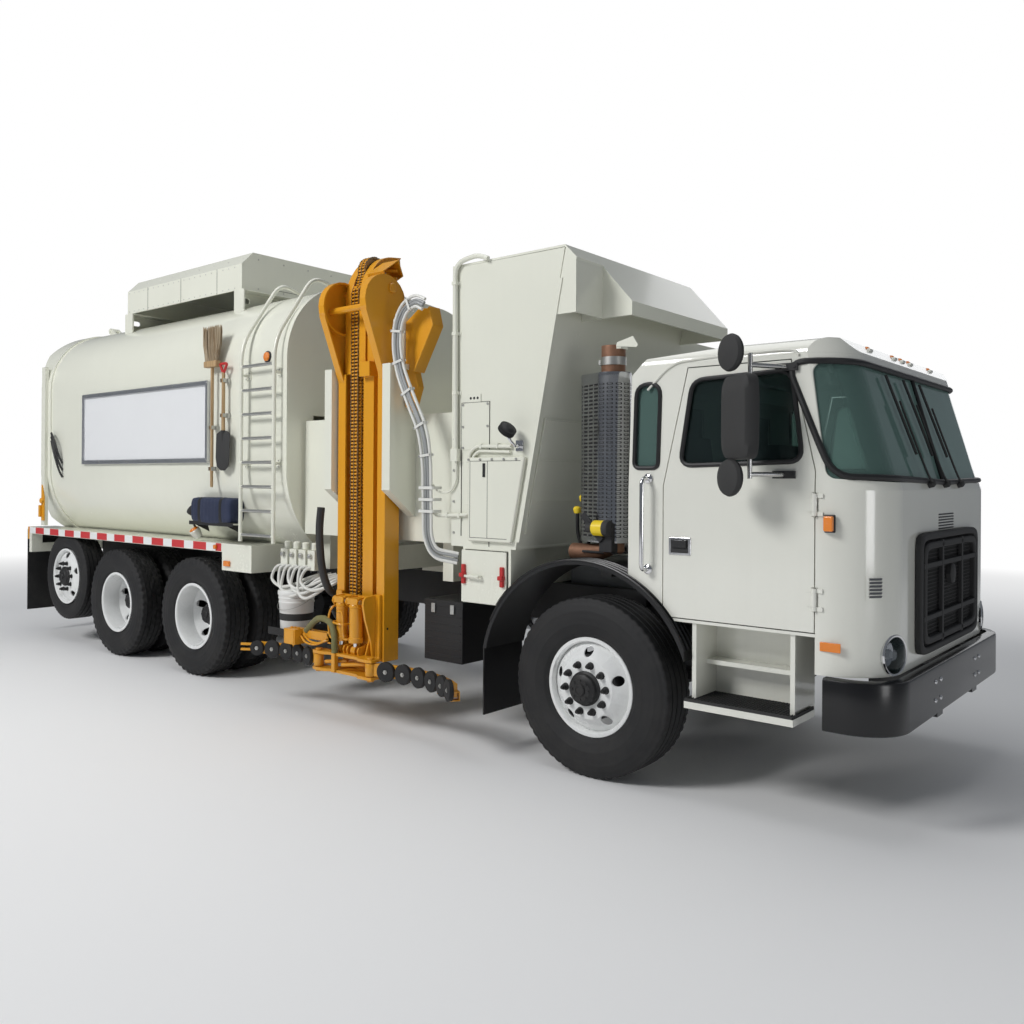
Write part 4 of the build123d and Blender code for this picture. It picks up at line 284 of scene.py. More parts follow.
@dataclass(frozen=True)
class Rubber:
    """Moulded rubber or plastic with a fine grain and a dusty bloom."""

    name: str
    colour: Colour = (0.022, 0.022, 0.024)
    rough: float = 0.62
    dust: float = 0.25
    grain: float = 420.0
    dust_colour: Colour = (0.25, 0.23, 0.2)

    def make(self) -> bpy.types.Material:
        """Builds the finish.

        Returns:
            The finished material.
        """
        shop = Shop(self.name)
        patch = shop.noise(5, 5, (1, 1, 1), 0.65)
        low = shop.z.steps(1.6, 0.2) * 0.7 + 0.15
        bloom = patch.steps(0.38, 0.8) * low * self.dust
        paint = shop.mix(bloom, self.colour, self.dust_colour)
        skin = shop.bump(shop.noise(self.grain, 2), 0.0004, 0.4)
        return shop.dress(Base_Color=paint, Roughness=patch * 0.12 + (self.rough - 0.06),
                          Normal=skin)


@dataclass(frozen=True)
class Metal:
    """Bare metal with brushed scratches along one axis and light stains."""

    name: str
    colour: Colour
    rough: float = 0.3
    brush: Spot = (1, 1, 30)
    stain: float = 0.3
    stain_colour: Colour = (0.2, 0.17, 0.13)
    metallic: float = 1.0

    def make(self) -> bpy.types.Material:
        """Builds the finish.

        Returns:
            The finished material.
        """
        shop = Shop(self.name)
        lines = shop.noise(60, 3, self.brush)
        blot = shop.noise(7, 5, (1, 1, 1), 0.65).steps(0.45, 0.8) * self.stain
        paint = shop.mix(lines * 0.25, self.colour, tuple(c * 0.75 for c in self.colour))
        paint = shop.mix(blot, paint, self.stain_colour)
        rough = lines * 0.14 + blot * 0.3 + (self.rough - 0.07)
        return shop.dress(Base_Color=paint, Roughness=rough, Metallic=self.metallic,
                          Normal=shop.bump(lines, 0.0002, 0.3))


@dataclass(frozen=True)
class Pane:
    """Clear tinted glass with a thin film of dust."""

    name: str
    tint: Colour = (0.55, 0.66, 0.63)
    clear: float = 0.72
    film: Colour = (0.03, 0.045, 0.045)

    def make(self) -> bpy.types.Material:
        """Builds the finish as a mix of see-through tint and gloss.

        Returns:
            The finished material.
        """
        shop = Shop(self.name)
        dust = shop.noise(3, 5, (1, 1, 1), 0.7).steps(0.5, 0.85) * 0.05
        seen = shop.node("ShaderNodeBsdfTransparent", {}, {"Color": (*self.tint, 1)})
        face = shop.node("ShaderNodeFresnel", {}, {"IOR": 1.6})
        share = (face * 1.6 + dust + (1 - self.clear)).steps(0.0, 1.0)
        shop.dress(Base_Color=self.film, Roughness=0.04, Metallic=0.0)
        mixed = shop.node("ShaderNodeMixShader", {}, {0: share, 1: seen,
                                                      2: Socket(shop, shop.surface.outputs[0])})
        shop.tree.links.new(mixed.out, shop.output.inputs["Surface"])
        return shop.material


@dataclass(frozen=True)
class Lens:
    """Coloured lamp plastic with moulded prism ribs."""

    name: str
    colour: Colour
    rib: float = 0.006
    glow: float = 0.06

    def make(self) -> bpy.types.Material:
        """Builds the finish.

        Returns:
            The finished material.
        """
        shop = Shop(self.name)
        ribs = shop.y.wave(self.rib) + shop.z.wave(self.rib) + shop.x.wave(self.rib)
        paint = shop.mix(ribs.steps(-1.5, 1.5) * 0.4, self.colour,
                         tuple(c * 0.55 for c in self.colour))
        return shop.dress(Base_Color=paint, Roughness=0.16, Normal=shop.bump(ribs, 0.0006, 0.5),
                          Coat_Weight=0.6, Emission_Color=paint, Emission_Strength=self.glow)


@dataclass(frozen=True)
class Tape:
    """Red and white reflective tape, its blocks running along x."""

    name: str
    pitch: float = 0.356

    def make(self) -> bpy.types.Material:
        """Builds the finish.

        Returns:
            The finished material.
        """
        shop = Shop(self.name)
        red = (shop.x / self.pitch).fract() > 0.42
        cells = shop.node("ShaderNodeTexVoronoi", {}, {"Vector": shop.place, "Scale": 260.0})
        paint = shop.mix(red, (0.78, 0.79, 0.78), (0.55, 0.008, 0.012))
        return shop.dress(Base_Color=shop.mix(cells.steps(0.2, 0.7) * 0.04, paint, (0.9, 0.9, 0.9)),
                          Roughness=cells * 0.3 + 0.4, Coat_Weight=0.2)


@dataclass(frozen=True)
class Weave:
    """Woven bag cloth with a fine crossed thread and slight fading."""

    name: str
    colour: Colour
    thread: float = 0.0016

    def make(self) -> bpy.types.Material:
        """Builds the finish.

        Returns:
            The finished material.
        """
        shop = Shop(self.name)
        warp = (shop.x + shop.y * 0.3).wave(self.thread) * shop.z.wave(self.thread)
        fade = shop.noise(6, 4).steps(0.4, 0.8)
        light = tuple(min(1.0, c * 1.9 + 0.02) for c in self.colour)
        paint = shop.mix(fade * 0.4 + warp.steps(-1, 1) * 0.25, self.colour, light)
        return shop.dress(Base_Color=paint, Roughness=0.85, Sheen_Weight=0.08,
                          Normal=shop.bump(warp, 0.0004, 0.6))


@dataclass(frozen=True)
class Grainwood:
    """Turned handle wood with long grain along z."""

    name: str
    colour: Colour = (0.52, 0.36, 0.19)

    def make(self) -> bpy.types.Material:
        """Builds the finish.

        Returns:
            The finished material.
        """
        shop = Shop(self.name)
        grain = shop.noise(70, 4, (1, 1, 0.04), 0.6)
        paint = shop.mix(grain.steps(0.35, 0.7), self.colour, (0.27, 0.16, 0.07))
        return shop.dress(Base_Color=paint, Roughness=0.5, Normal=shop.bump(grain, 0.0004, 0.4))


CREAM = (0.8, 0.805, 0.7)
AMBER_TONE = (0.85, 0.24, 0.02)


SLOTS = {"black_rubber": "SEAL FLAP OLIVE_HOSE HOSE", "body_white": "CAB BODY BOARD",
         "amber": "AMBER TAPE RED", "black_plastic": "PLASTIC RED_PLASTIC FENDER",
         "gloss_black": "BUMPER", "stainless": "CHROME ZINC CLEAR_LENS RUST SHIELD ALUMINIUM STEEL",
         "tool_wood": "WOOD BRISTLE", "bag_navy": "BAG", "frame_black": "CHASSIS",
         "arm_yellow": "ARM YELLOW_PLASTIC", "tyre_black": "TYRE", "chain_steel": "CHAIN",
         "trim_grey": "WHITE_HOSE TRIM", "pail_white": "PAIL", "wheel_white": "WHEEL",
         "cab_glass": "CLEAR"}


class Look(Enum):
    """Every finish on the truck."""

    BODY = Enamel("body_enamel", CREAM)
    CAB = Enamel("cab_enamel", (0.8, 0.8, 0.725), 0.16, 0.18, coat=0.9)
    ARM = Enamel("arm_enamel", (0.74, 0.33, 0.012), 0.33, 0.4, (0.17, 0.1, 0.04), 0.25, 0.5)
    BUMPER = Enamel("bumper_enamel", (0.004, 0.004, 0.005), 0.24, 0.05, (0.06, 0.055, 0.05), 0.1)
    CHASSIS = Enamel("chassis_enamel", (0.012, 0.012, 0.013), 0.5, 0.4, (0.06, 0.053, 0.045), 0.0)
    WHEEL = Enamel("wheel_enamel", (0.82, 0.83, 0.82), 0.26, 0.25, (0.28, 0.24, 0.2), 0.4)
    ENGINE = Enamel("engine_enamel", (0.16, 0.17, 0.18), 0.5, 0.6, (0.08, 0.06, 0.05), 0.0)
    TYRE = Rubber("tyre_rubber", (0.008, 0.008, 0.009), 0.7, 0.08, 160.0)
    PLASTIC = Rubber("black_plastic", (0.004, 0.004, 0.006), 0.3, 0.03)
    FENDER = Rubber("fender_plastic", (0.005, 0.005, 0.006), 0.36, 0.05, 600.0)
    FLAP = Rubber("flap_rubber", (0.01, 0.01, 0.011), 0.55, 0.12)
    SEAL = Rubber("window_seal", (0.01, 0.01, 0.011), 0.5, 0.08)
    HOSE = Rubber("hose_rubber", (0.02, 0.02, 0.021), 0.5, 0.3, 700.0)
    WHITE_HOSE = Rubber("pale_hose", (0.72, 0.72, 0.68), 0.4, 0.25, 700.0, (0.3, 0.28, 0.25))
    GREY_HOSE = Rubber("grey_hose", (0.3, 0.31, 0.31), 0.42, 0.25, 700.0)
    OLIVE_HOSE = Rubber("sleeve_hose", (0.17, 0.16, 0.06), 0.8, 0.3, 900.0)
    TRIM = Rubber("cab_trim", (0.1, 0.105, 0.115), 0.6, 0.1)
    SEAT = Weave("seat_cloth", (0.06, 0.065, 0.075))
    PAIL = Rubber("pail_plastic", (0.78, 0.78, 0.76), 0.35, 0.25, 500.0, (0.35, 0.33, 0.3))
    CHROME = Metal("chrome_plate", (0.78, 0.78, 0.79), 0.1, (1, 1, 1), 0.08)
    SHIELD = Metal("heat_shield", (0.46, 0.47, 0.49), 0.16, (1, 1, 0.1), 0.2)
    STEEL = Metal("stainless_steel", (0.6, 0.6, 0.59), 0.24, (1, 1, 0.05), 0.12)
    ZINC = Metal("zinc_bolt", (0.55, 0.55, 0.53), 0.38, (1, 1, 1), 0.35)
    ALUMINIUM = Metal("board_frame", (0.66, 0.67, 0.69), 0.34, (0.05, 1, 1), 0.1)
    CHAIN = Metal("chain_steel", (0.5, 0.3, 0.07), 0.4, (1, 1, 1), 0.5, (0.1, 0.06, 0.025))
    RUST = Metal("hot_steel", (0.3, 0.16, 0.1), 0.5, (1, 1, 0.1), 0.6, (0.1, 0.05, 0.03), 0.6)
    GLASS = Pane("cab_pane")
    SCREEN = Pane("screen_pane", (0.7, 0.84, 0.8), 0.62, (0.16, 0.26, 0.235))
    CLEAR = Pane("lamp_pane", (0.9, 0.92, 0.95), 0.8)
    AMBER = Lens("amber_lens", AMBER_TONE)
    RED = Lens("red_lens", (0.55, 0.012, 0.015))
    CLEAR_LENS = Lens("reflector", (0.7, 0.73, 0.76))
    TAPE = Tape("edge_tape")
    BAG = Weave("bag_cloth", (0.008, 0.015, 0.045))
    WOOD = Grainwood("handle_wood")
    BRISTLE = Grainwood("bristle", (0.6, 0.52, 0.38))
    BOARD = Enamel("board_face", (0.8, 0.81, 0.82), 0.3, 0.1, coat=0.3)
    RED_PLASTIC = Rubber("red_plastic", (0.5, 0.02, 0.02), 0.35, 0.1)
    YELLOW_PLASTIC = Rubber("yellow_plastic", (0.85, 0.62, 0.02), 0.35, 0.1)

    def material(self) -> bpy.types.Material:
        """The finish's material, made on first use."""
        found = bpy.data.materials.get(self.value.name)
        return found if found else self.value.make()

    def slot(self) -> str:
        """The record's material slot that things of this finish usually have."""
        return next(slot for slot, looks in SLOTS.items() if self.name in looks.split())


# ------------------------------------------------------------------ mesh kit
def unit(vector: Array) -> Array:
    """Vectors scaled to length one along their last axis."""
    return vector / np.maximum(np.linalg.norm(vector, axis=-1, keepdims=True), 1e-12)


def circle(count: int) -> Array:
    """Even angles round a full turn, the last not closed."""
    return np.linspace(0, 2 * np.pi, count, endpoint=False)


def frame_of(axis: Spot) -> Array:
    """A right-handed frame about an axis, from two cross products.

    Args:
        axis: the direction, of any length.
    Returns:
        Three unit rows: two across the axis, then the axis itself.
    """
    along = unit(np.array(axis, float))
    seed = np.array([0.0, 0, 1]) if abs(along[2]) < 0.9 else np.array([1.0, 0, 0])
    first = unit(np.cross(seed, along))
    return np.array([first, np.cross(along, first), along])


def smooth_path(points: Sequence[Spot], per_span: int = 8) -> Array:
    """Catmull-Rom curve through the points.

    Each span is p(t) = (2b + (c-a)t + (2a-5b+4c-d)t^2 + (3b-a-3c+d)t^3) / 2.

    Args:
        points: the places it passes through.
        per_span: samples between neighbours.
    Returns:
        An array of places.
    """
    p = np.array(points, float)
    p = np.vstack([2 * p[0] - p[1], p, 2 * p[-1] - p[-2]])
    t = np.linspace(0, 1, per_span, endpoint=False)[:, None, None]
    a, b, c, d = p[:-3], p[1:-2], p[2:-1], p[3:]
    spans = (2 * b + (c - a) * t + (2 * a - 5 * b + 4 * c - d) * t ** 2
             + (3 * b - a - 3 * c + d) * t ** 3) / 2
    return np.vstack([spans.transpose(1, 0, 2).reshape(-1, 3), p[-2]])


def rounded_path(points: Sequence[Spot], radius: float, steps: int = 5) -> Array:
    """Straight runs joined by round corners.

    A corner is the quadratic curve (1-t)^2 a + 2t(1-t) corner + t^2 b between points set back
    along both runs by radius, or by less than half a short run.

    Args:
        points: ends and corners.
        radius: set-back from each corner.
        steps: samples in each corner.
    Returns:
        An array of places.
    """
    p = np.array(points, float)
    runs = np.linalg.norm(np.diff(p, axis=0), axis=1)
    back = np.minimum(radius, 0.49 * np.minimum(runs[:-1], runs[1:]))[:, None]
    a = p[1:-1] + unit(p[:-2] - p[1:-1]) * back
    b = p[1:-1] + unit(p[2:] - p[1:-1]) * back
    t = np.linspace(0, 1, steps)[:, None, None]
    turn = (1 - t) ** 2 * a + 2 * t * (1 - t) * p[1:-1] + t ** 2 * b
    return np.vstack([p[:1], turn.transpose(1, 0, 2).reshape(-1, 3), p[-1:]])


@dataclass
class Form:
    """Vertices and faces gathered into one mesh."""

    verts: list = field(default_factory=list)
    faces: list = field(default_factory=list)
    count: int = 0

    def add(self, verts: Array, faces: Iterable) -> "Form":
        """Adds a mesh.

        Args:
            verts: its vertices.
            faces: the faces that index them.
        Returns:
            The form.
        """
        self.verts.append(np.asarray(verts, float).reshape(-1, 3))
        self.faces.extend([tuple(int(i) + self.count for i in f) for f in faces])
        self.count += len(self.verts[-1])
        return self

    def grid(self, points: Array, wrap: bool = True, ends: bool = False) -> "Form":
        """Quads over an (m, n) grid of places.

        Args:
            points: array m x n x 3; n runs round the section.
            wrap: whether the n direction closes on itself.
            ends: whether the first and last rows are closed with a face.
        Returns:
            The form.
        """
        m, n = points.shape[:2]
        i, j = np.meshgrid(np.arange(m - 1), np.arange(n if wrap else n - 1), indexing="ij")
        k = (j + 1) % n
        quads = np.stack([i * n + j, i * n + k, (i + 1) * n + k, (i + 1) * n + j], -1)
        faces = [tuple(q) for q in quads.reshape(-1, 4)]
        if ends:
            faces += [tuple(range(n))[::-1], tuple(range((m - 1) * n, m * n))]
        return self.add(points, faces)

    def tube(self, path: Array, radius: object, sides: int = 10, flat: float = 1.0) -> "Form":
        """Round section carried along a path: centre + r (cos a * side + sin a * up).

        Args:
            path: places along the middle.
            radius: one radius, or one for each place.
            sides: corners of the section.
            flat: the section's height over its width.
        Returns:
            The form.
        """
        path = np.asarray(path, float)
        tangent = unit(np.gradient(path, axis=0))
        side = [frame_of(tangent[0])[0]]
        for step in tangent[1:]:
            side.append(unit(side[-1] - step * np.dot(side[-1], step)))
        side = np.array(side)
        up = np.cross(tangent, side) * flat
        angle = circle(sides)
        size = np.broadcast_to(np.asarray(radius, float), len(path))[:, None, None]
        rings = path[:, None] + size * (np.cos(angle)[None, :, None] * side[:, None]
                                        + np.sin(angle)[None, :, None] * up[:, None])
        return self.grid(rings, True, True)

    def lathe(self, profile: Sequence[Spot], centre: Spot, axis: Spot, turns: int = 40,
              ends: bool = True) -> "Form":
        """Turned shape: centre + r (cos a * across + sin a * aside) + h * axis.

        Args:
            profile: (radius, height) pairs, so that faces look left of its run.
            centre: where height is zero.
            axis: direction of height.
            turns: corners of each ring.
            ends: whether the first and last rings are closed.
        Returns:
            The form.
        """
        rows = frame_of(axis)
        angle = circle(turns)
        r, h = np.array(profile, float).T[:, :, None]
        points = (r * np.cos(angle))[..., None] * rows[0] + (r * np.sin(angle))[..., None] * rows[1]
        points = points + (h * np.ones(turns))[..., None] * rows[2] + np.array(centre, float)
        return self.grid(points, True, ends)

    def box(self, low: Spot, high: Spot) -> "Form":
        """Box between two opposite corners.

        Args:
            low: one corner.
            high: the other, which may be lower on any axis.
        Returns:
            The form.
        """
        pick = np.array([[i, j, k] for i in (0, 1) for j in (0, 1) for k in (0, 1)])
        low, high = np.minimum(low, high), np.maximum(low, high)
        quads = [(0, 1, 3, 2), (4, 6, 7, 5), (0, 4, 5, 1), (2, 3, 7, 6), (0, 2, 6, 4), (1, 5, 7, 3)]
        return self.add(np.where(pick, high, low), quads)

    def plate(self, outline: Sequence[Spot], axis: int, start: float, stop: float) -> "Form":
        """Flat outline pushed along an axis.

        Args:
            outline: corners on the other two axes, in x, y, z order.
            axis: 0, 1 or 2.
            start: place of one face on the axis.
            stop: place of the other.
        Returns:
            The form.
        """
        flat = np.array(outline, float)
        n = len(flat)
        area = np.sum(flat[:, 0] * np.roll(flat[:, 1], -1) - np.roll(flat[:, 0], -1) * flat[:, 1])
        turned = (area > 0) != (axis == 1)
        start, stop = min(start, stop), max(start, stop)
        layers = np.stack([np.insert(flat, axis, v, axis=1) for v in (start, stop)])
        ring = [(i, (i + 1) % n, n + (i + 1) % n, n + i) for i in range(n)]
        caps = [tuple(range(n))[::-1], tuple(range(n, 2 * n))]
        faces = ring + caps
        return self.add(layers, faces if turned else [f[::-1] for f in faces])

    def spread(self, spots: Sequence[Spot], axis: Spot, profile: Sequence[Spot],
               sides: int = 6) -> "Form":
        """Copies of one small turned shape, such as a bolt head.

        Args:
            spots: the places.
            axis: which way they all face.
            profile: (radius, height) pairs of one.
            sides: corners of its rings.
        Returns:
            The form.
        """
        one = Form().lathe(profile, (0, 0, 0), axis, sides)
        shape = one.verts[0]
        spots = np.array(spots, float).reshape(-1, 3)
        for spot in spots:
            self.add(shape + spot, one.faces)
        return self

    def merge(self, other: "Form") -> "Form":
        """Adds another form's mesh."""
        return self.add(np.vstack(other.verts), other.faces)

    def mirrored(self) -> "Form":
        """The same form on the truck's other side, with its faces turned back outwards."""
        verts = np.vstack(self.verts) * (1, -1, 1)
        return Form().add(verts, [f[::-1] for f in self.faces])


BOLT = [(0.0001, 0.0), (1.0, 0.0), (1.0, 0.62), (0.86, 0.74), (0.0001, 0.74)]
DOME = [(1.0, 0.0), (0.94, 0.3), (0.7, 0.52), (0.35, 0.62), (0.0001, 0.64)]


def scaled(profile: Sequence[Spot], size: float) -> list[tuple[float, float]]:
    """A bolt profile at a real size."""
    return [(r * size, h * size) for r, h in profile]


@dataclass
class Assembly:
    """Part of the truck that puts its forms into the scene, each riding on a CAD body."""

    frame: dict

    def piece(self, name: str, form: Form, look: Look, bevel: float = 0.0, angle: float = 35.0,
              body: str = "chassis", slot: str = "", stands_for: Sequence[str] = ()
              ) -> bpy.types.Object:
        """Makes one piece.

        Args:
            name: the piece's name.
            form: its mesh, in the axle frame.
            look: its finish.
            bevel: width of a rounded edge, if any.
            angle: edges sharper than this stay sharp, in degrees.
            body: the CAD body it rides on.
            slot: the record's material slot, where it isn't the finish's usual one; not used.
            stands_for: CAD nodes that it replaces.
        Returns:
            The object.
        """
        mesh = bpy.data.meshes.new(name)
        mesh.from_pydata((np.vstack(form.verts) + SHIFT).tolist(), [], form.faces)
        mesh.validate()
        turn = bmesh.new()
        turn.from_mesh(mesh)
        bmesh.ops.recalc_face_normals(turn, faces=turn.faces[:])
        turn.to_mesh(mesh)
        turn.free()
        mesh.polygons.foreach_set("use_smooth", np.ones(len(mesh.polygons), bool))
        mesh.set_sharp_from_angle(angle=math.radians(angle))
        mesh.materials.append(look.material())
        made = bpy.data.objects.new(name, mesh)
        bpy.context.scene.collection.objects.link(made)
        if bevel:
            edge = made.modifiers.new("edges", "BEVEL")
            edge.width, edge.segments, edge.limit_method = bevel, 2, "ANGLE"
            edge.angle_limit = math.radians(40)
            edge.harden_normals = True
        slot = slot or look.slot()
        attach(made, body)
        if stands_for:
            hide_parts(*stands_for)
        LOG.info("piece %s on %s, %d faces", name, body, len(form.faces))
        return made

    def dress(self, look: Look, *nodes: str) -> None:
        """Gives CAD nodes a finish.

        Args:
            look: the finish.
            nodes: the nodes' names.
        """
        for node in nodes:
            for holder in self.frame["nodes"][node].material_slots:
                holder.material = look.material()


# ------------------------------------------------------------------ stage
@dataclass
class Stage:
    """Camera, soft studio light and the pale floor."""

    eye: tuple = (3.041, -5.7666, 1.7702)
    yaw: float = 0.7084
    pitch: float = 0.0021
    roll: float = 0.0064
    lens: float = 31.99
    shift: tuple = (0.032, -0.0323)
    sky: Colour = (0.8, 0.86, 0.95)
    sky_power: float = 0.19
    fade_start: float = 7.0
    fade_end: float = 16.0
    reach: float = 60.0

    def camera(self) -> None:
        """Camera at the solved place: right, up and backward unit vectors are its columns."""
        ahead = np.array([-math.sin(self.yaw) * math.cos(self.pitch),
                          math.cos(self.yaw) * math.cos(self.pitch), math.sin(self.pitch)])
        right = np.array([math.cos(self.yaw), math.sin(self.yaw), 0.0])
        up = np.cross(right, ahead)
        turn = (math.cos(self.roll), math.sin(self.roll))
        right, up = right * turn[0] + up * turn[1], up * turn[0] - right * turn[1]
        matrix = np.eye(4)
        matrix[:3, :3] = np.array([right, up, -ahead]).T
        matrix[:3, 3] = np.array(self.eye) + SHIFT
        data = bpy.data.cameras.new("camera")
        data.lens, data.sensor_width = self.lens, 36.0
        data.shift_x, data.shift_y = self.shift
        data.clip_end = 200.0
        holder = bpy.data.objects.new("camera", data)
        holder.matrix_world = Matrix(matrix.tolist())
        bpy.context.scene.collection.objects.link(holder)
        bpy.context.scene.camera = holder

    def lamp(self, name: str, spot: Spot, target: Spot, size: float, power: float) -> None:
        """Adds a square soft lamp.

        Args:
            name: the lamp's name.
            spot: its place.
            target: the place that it faces.
            size: the square's side.
            power: its strength in watts.
        """
        data = bpy.data.lights.new(name, "AREA")
        data.shape, data.size, data.energy = "SQUARE", size, power
        holder = bpy.data.objects.new(name, data)
        rows = frame_of(np.array(spot) - np.array(target))
        matrix = np.eye(4)
        matrix[:3, :3] = rows.T
        matrix[:3, 3] = np.array(spot) + SHIFT
        holder.matrix_world = Matrix(matrix.tolist())
        bpy.context.scene.collection.objects.link(holder)

    def light(self) -> None:
        """Key from the right, low fill from ahead, an overhead sheet, one lamp from behind on
        the left, and a dim sky that the camera sees as white.
        """
        self.lamp("key", (-5.5, -13, 10.5), (-2.5, -0.5, 1.6), 4.5, 1500)
        self.lamp("fill", (12, -3.5, 1.9), (1.5, 0, 1.6), 3.0, 120)
        self.lamp("overhead", (-3, 0, 12), (-3, 0, 0), 10.0, 430)
        self.lamp("back", (-2, 12, 6), (-3, 0, 1.5), 8.0, 200)
        world = bpy.data.worlds.new("sky")
        world.use_nodes = True
        tree = world.node_tree
        tree.nodes.clear()
        path = tree.nodes.new("ShaderNodeLightPath")
        seen = tree.nodes.new("ShaderNodeMath")
        seen.operation = "MAXIMUM"
        tree.links.new(path.outputs["Is Camera Ray"], seen.inputs[0])
        tree.links.new(path.outputs["Is Transmission Ray"], seen.inputs[1])
        dim, white = (tree.nodes.new("ShaderNodeBackground") for _ in range(2))
        dim.inputs["Color"].default_value = (*self.sky, 1)
        dim.inputs["Strength"].default_value = self.sky_power
        white.inputs["Color"].default_value = (1, 1, 1, 1)
        mixed = tree.nodes.new("ShaderNodeMixShader")
        tree.links.new(seen.outputs[0], mixed.inputs[0])
        tree.links.new(dim.outputs[0], mixed.inputs[1])
        tree.links.new(white.outputs[0], mixed.inputs[2])
        out = tree.nodes.new("ShaderNodeOutputWorld")
        tree.links.new(mixed.outputs[0], out.inputs[0])
        bpy.context.scene.world = world
        bpy.context.scene.view_settings.view_transform = "Standard"

    def floor(self) -> None:
        """Pale floor that keeps the shadow and fades into the white background far off.

        The grid is polar: radius grows as the square of the row, from 0 to reach.
        """
        radius = np.linspace(0.001, 1, 24)[:, None] ** 2 * self.reach
        angle = circle(64)[None]
        disc = np.stack([radius * np.cos(angle), radius * np.sin(angle), radius * angle * 0], -1)
        form = Form().grid(disc, True)
        mesh = bpy.data.meshes.new("floor")
        mesh.from_pydata((np.vstack(form.verts) - (0, 0, 0.001)).tolist(), [], form.faces)
        shop = Shop("floor_paint")
        shop.dress(Base_Color=(0.86, 0.86, 0.86), Roughness=0.8)
        far = (shop.x * shop.x + shop.y * shop.y).power(0.5).steps(self.fade_start, self.fade_end)
        far = far * shop.node("ShaderNodeLightPath", {}, {})
        glow = shop.node("ShaderNodeEmission", {}, {"Color": (1, 1, 1, 1), "Strength": 1.0})
        mixed = shop.node("ShaderNodeMixShader", {}, {0: far, 1: Socket(shop,
                          shop.surface.outputs[0]), 2: glow})
        shop.tree.links.new(mixed.out, shop.output.inputs["Surface"])
        mesh.materials.append(shop.material)
        holder = bpy.data.objects.new("floor", mesh)
        bpy.context.scene.collection.objects.link(holder)


# ------------------------------------------------------------------ wheels
@dataclass
class Tyre:
    """A road tyre turned about the y axis, with its sidewall rings and tread."""

    middle: float
    radius: float
    width: float
    lugs: int = 0
    bead: float = 0.2885
    around: int = 180

    def form(self, x: float, z: float) -> Form:
        """Grid of section by angle.

        The section runs round the sidewall and the tread. Each tread point drops by the depth
        of its groove: straight ribs, and where lugs is set, shoulder slots that come and go
        with the angle, every other one shifted on the far side.

        Args:
            x: axle place.
            z: axle height.
        Returns:
            The mesh.
        """
        wall = self.radius - self.bead
        side = np.array([(0.0, 0.66), (0.05, 0.74), (0.09, 0.79), (0.13, 0.83), (0.15, 0.86),
                         (0.16, 0.865), (0.28, 0.94), (0.36, 0.975), (0.375, 0.985),
                         (0.39, 0.98), (0.47, 1.0), (0.58, 0.995), (0.66, 0.975),
                         (0.675, 0.98), (0.7, 0.965), (0.8, 0.93), (0.865, 0.905),
                         (0.88, 0.885), (0.93, 0.87), (0.965, 0.855), (0.985, 0.82)])
        ribs = [0.8, 0.7, 0.56, 0.54, 0.5, 0.48, 0.36, 0.22, 0.2, 0.16, 0.14, 0.07]
        ribs = np.array(ribs + [-r for r in reversed(ribs)])
        deep = np.isin(np.round(np.abs(ribs), 2), (0.54, 0.5, 0.2, 0.16))
        section_r = np.concatenate([side[:, 0], 1 - 0.012 * np.abs(ribs) ** 2, side[::-1, 0]])
        section_h = np.concatenate([side[:, 1], ribs, -side[::-1, 1]])
        groove = np.concatenate([side[:, 0] * 0, deep * 0.014, side[:, 0] * 0])
        angle = circle(self.around)[:, None]
        drop = groove[None] * np.ones_like(angle)
        shoulder = (np.abs(section_h) > 0.6) & (section_r > 0.86)
        count = self.lugs or 60
        slot = np.sin(angle * count + np.pi * (section_h[None] > 0)) > (0.15 if self.lugs else 0.8)
        drop = np.where(shoulder[None] & slot, 0.013 if self.lugs else 0.006, drop)
        if self.lugs:
            inner = (np.abs(section_h) < 0.5) & (section_r > 0.9)
            cross = np.sin(angle * count + 2.2 * section_h[None] * 3) > 0.8
            drop = np.where(inner[None] & cross, 0.012, drop)
        r = self.bead + wall * section_r[None] - drop
        h = self.middle + section_h[None] * self.width / 2 * np.ones_like(angle)
        points = np.stack([x + r * np.sin(angle), h, z + r * np.cos(angle)], -1)
        return Form().grid(np.concatenate([points, points[:1]]), True)


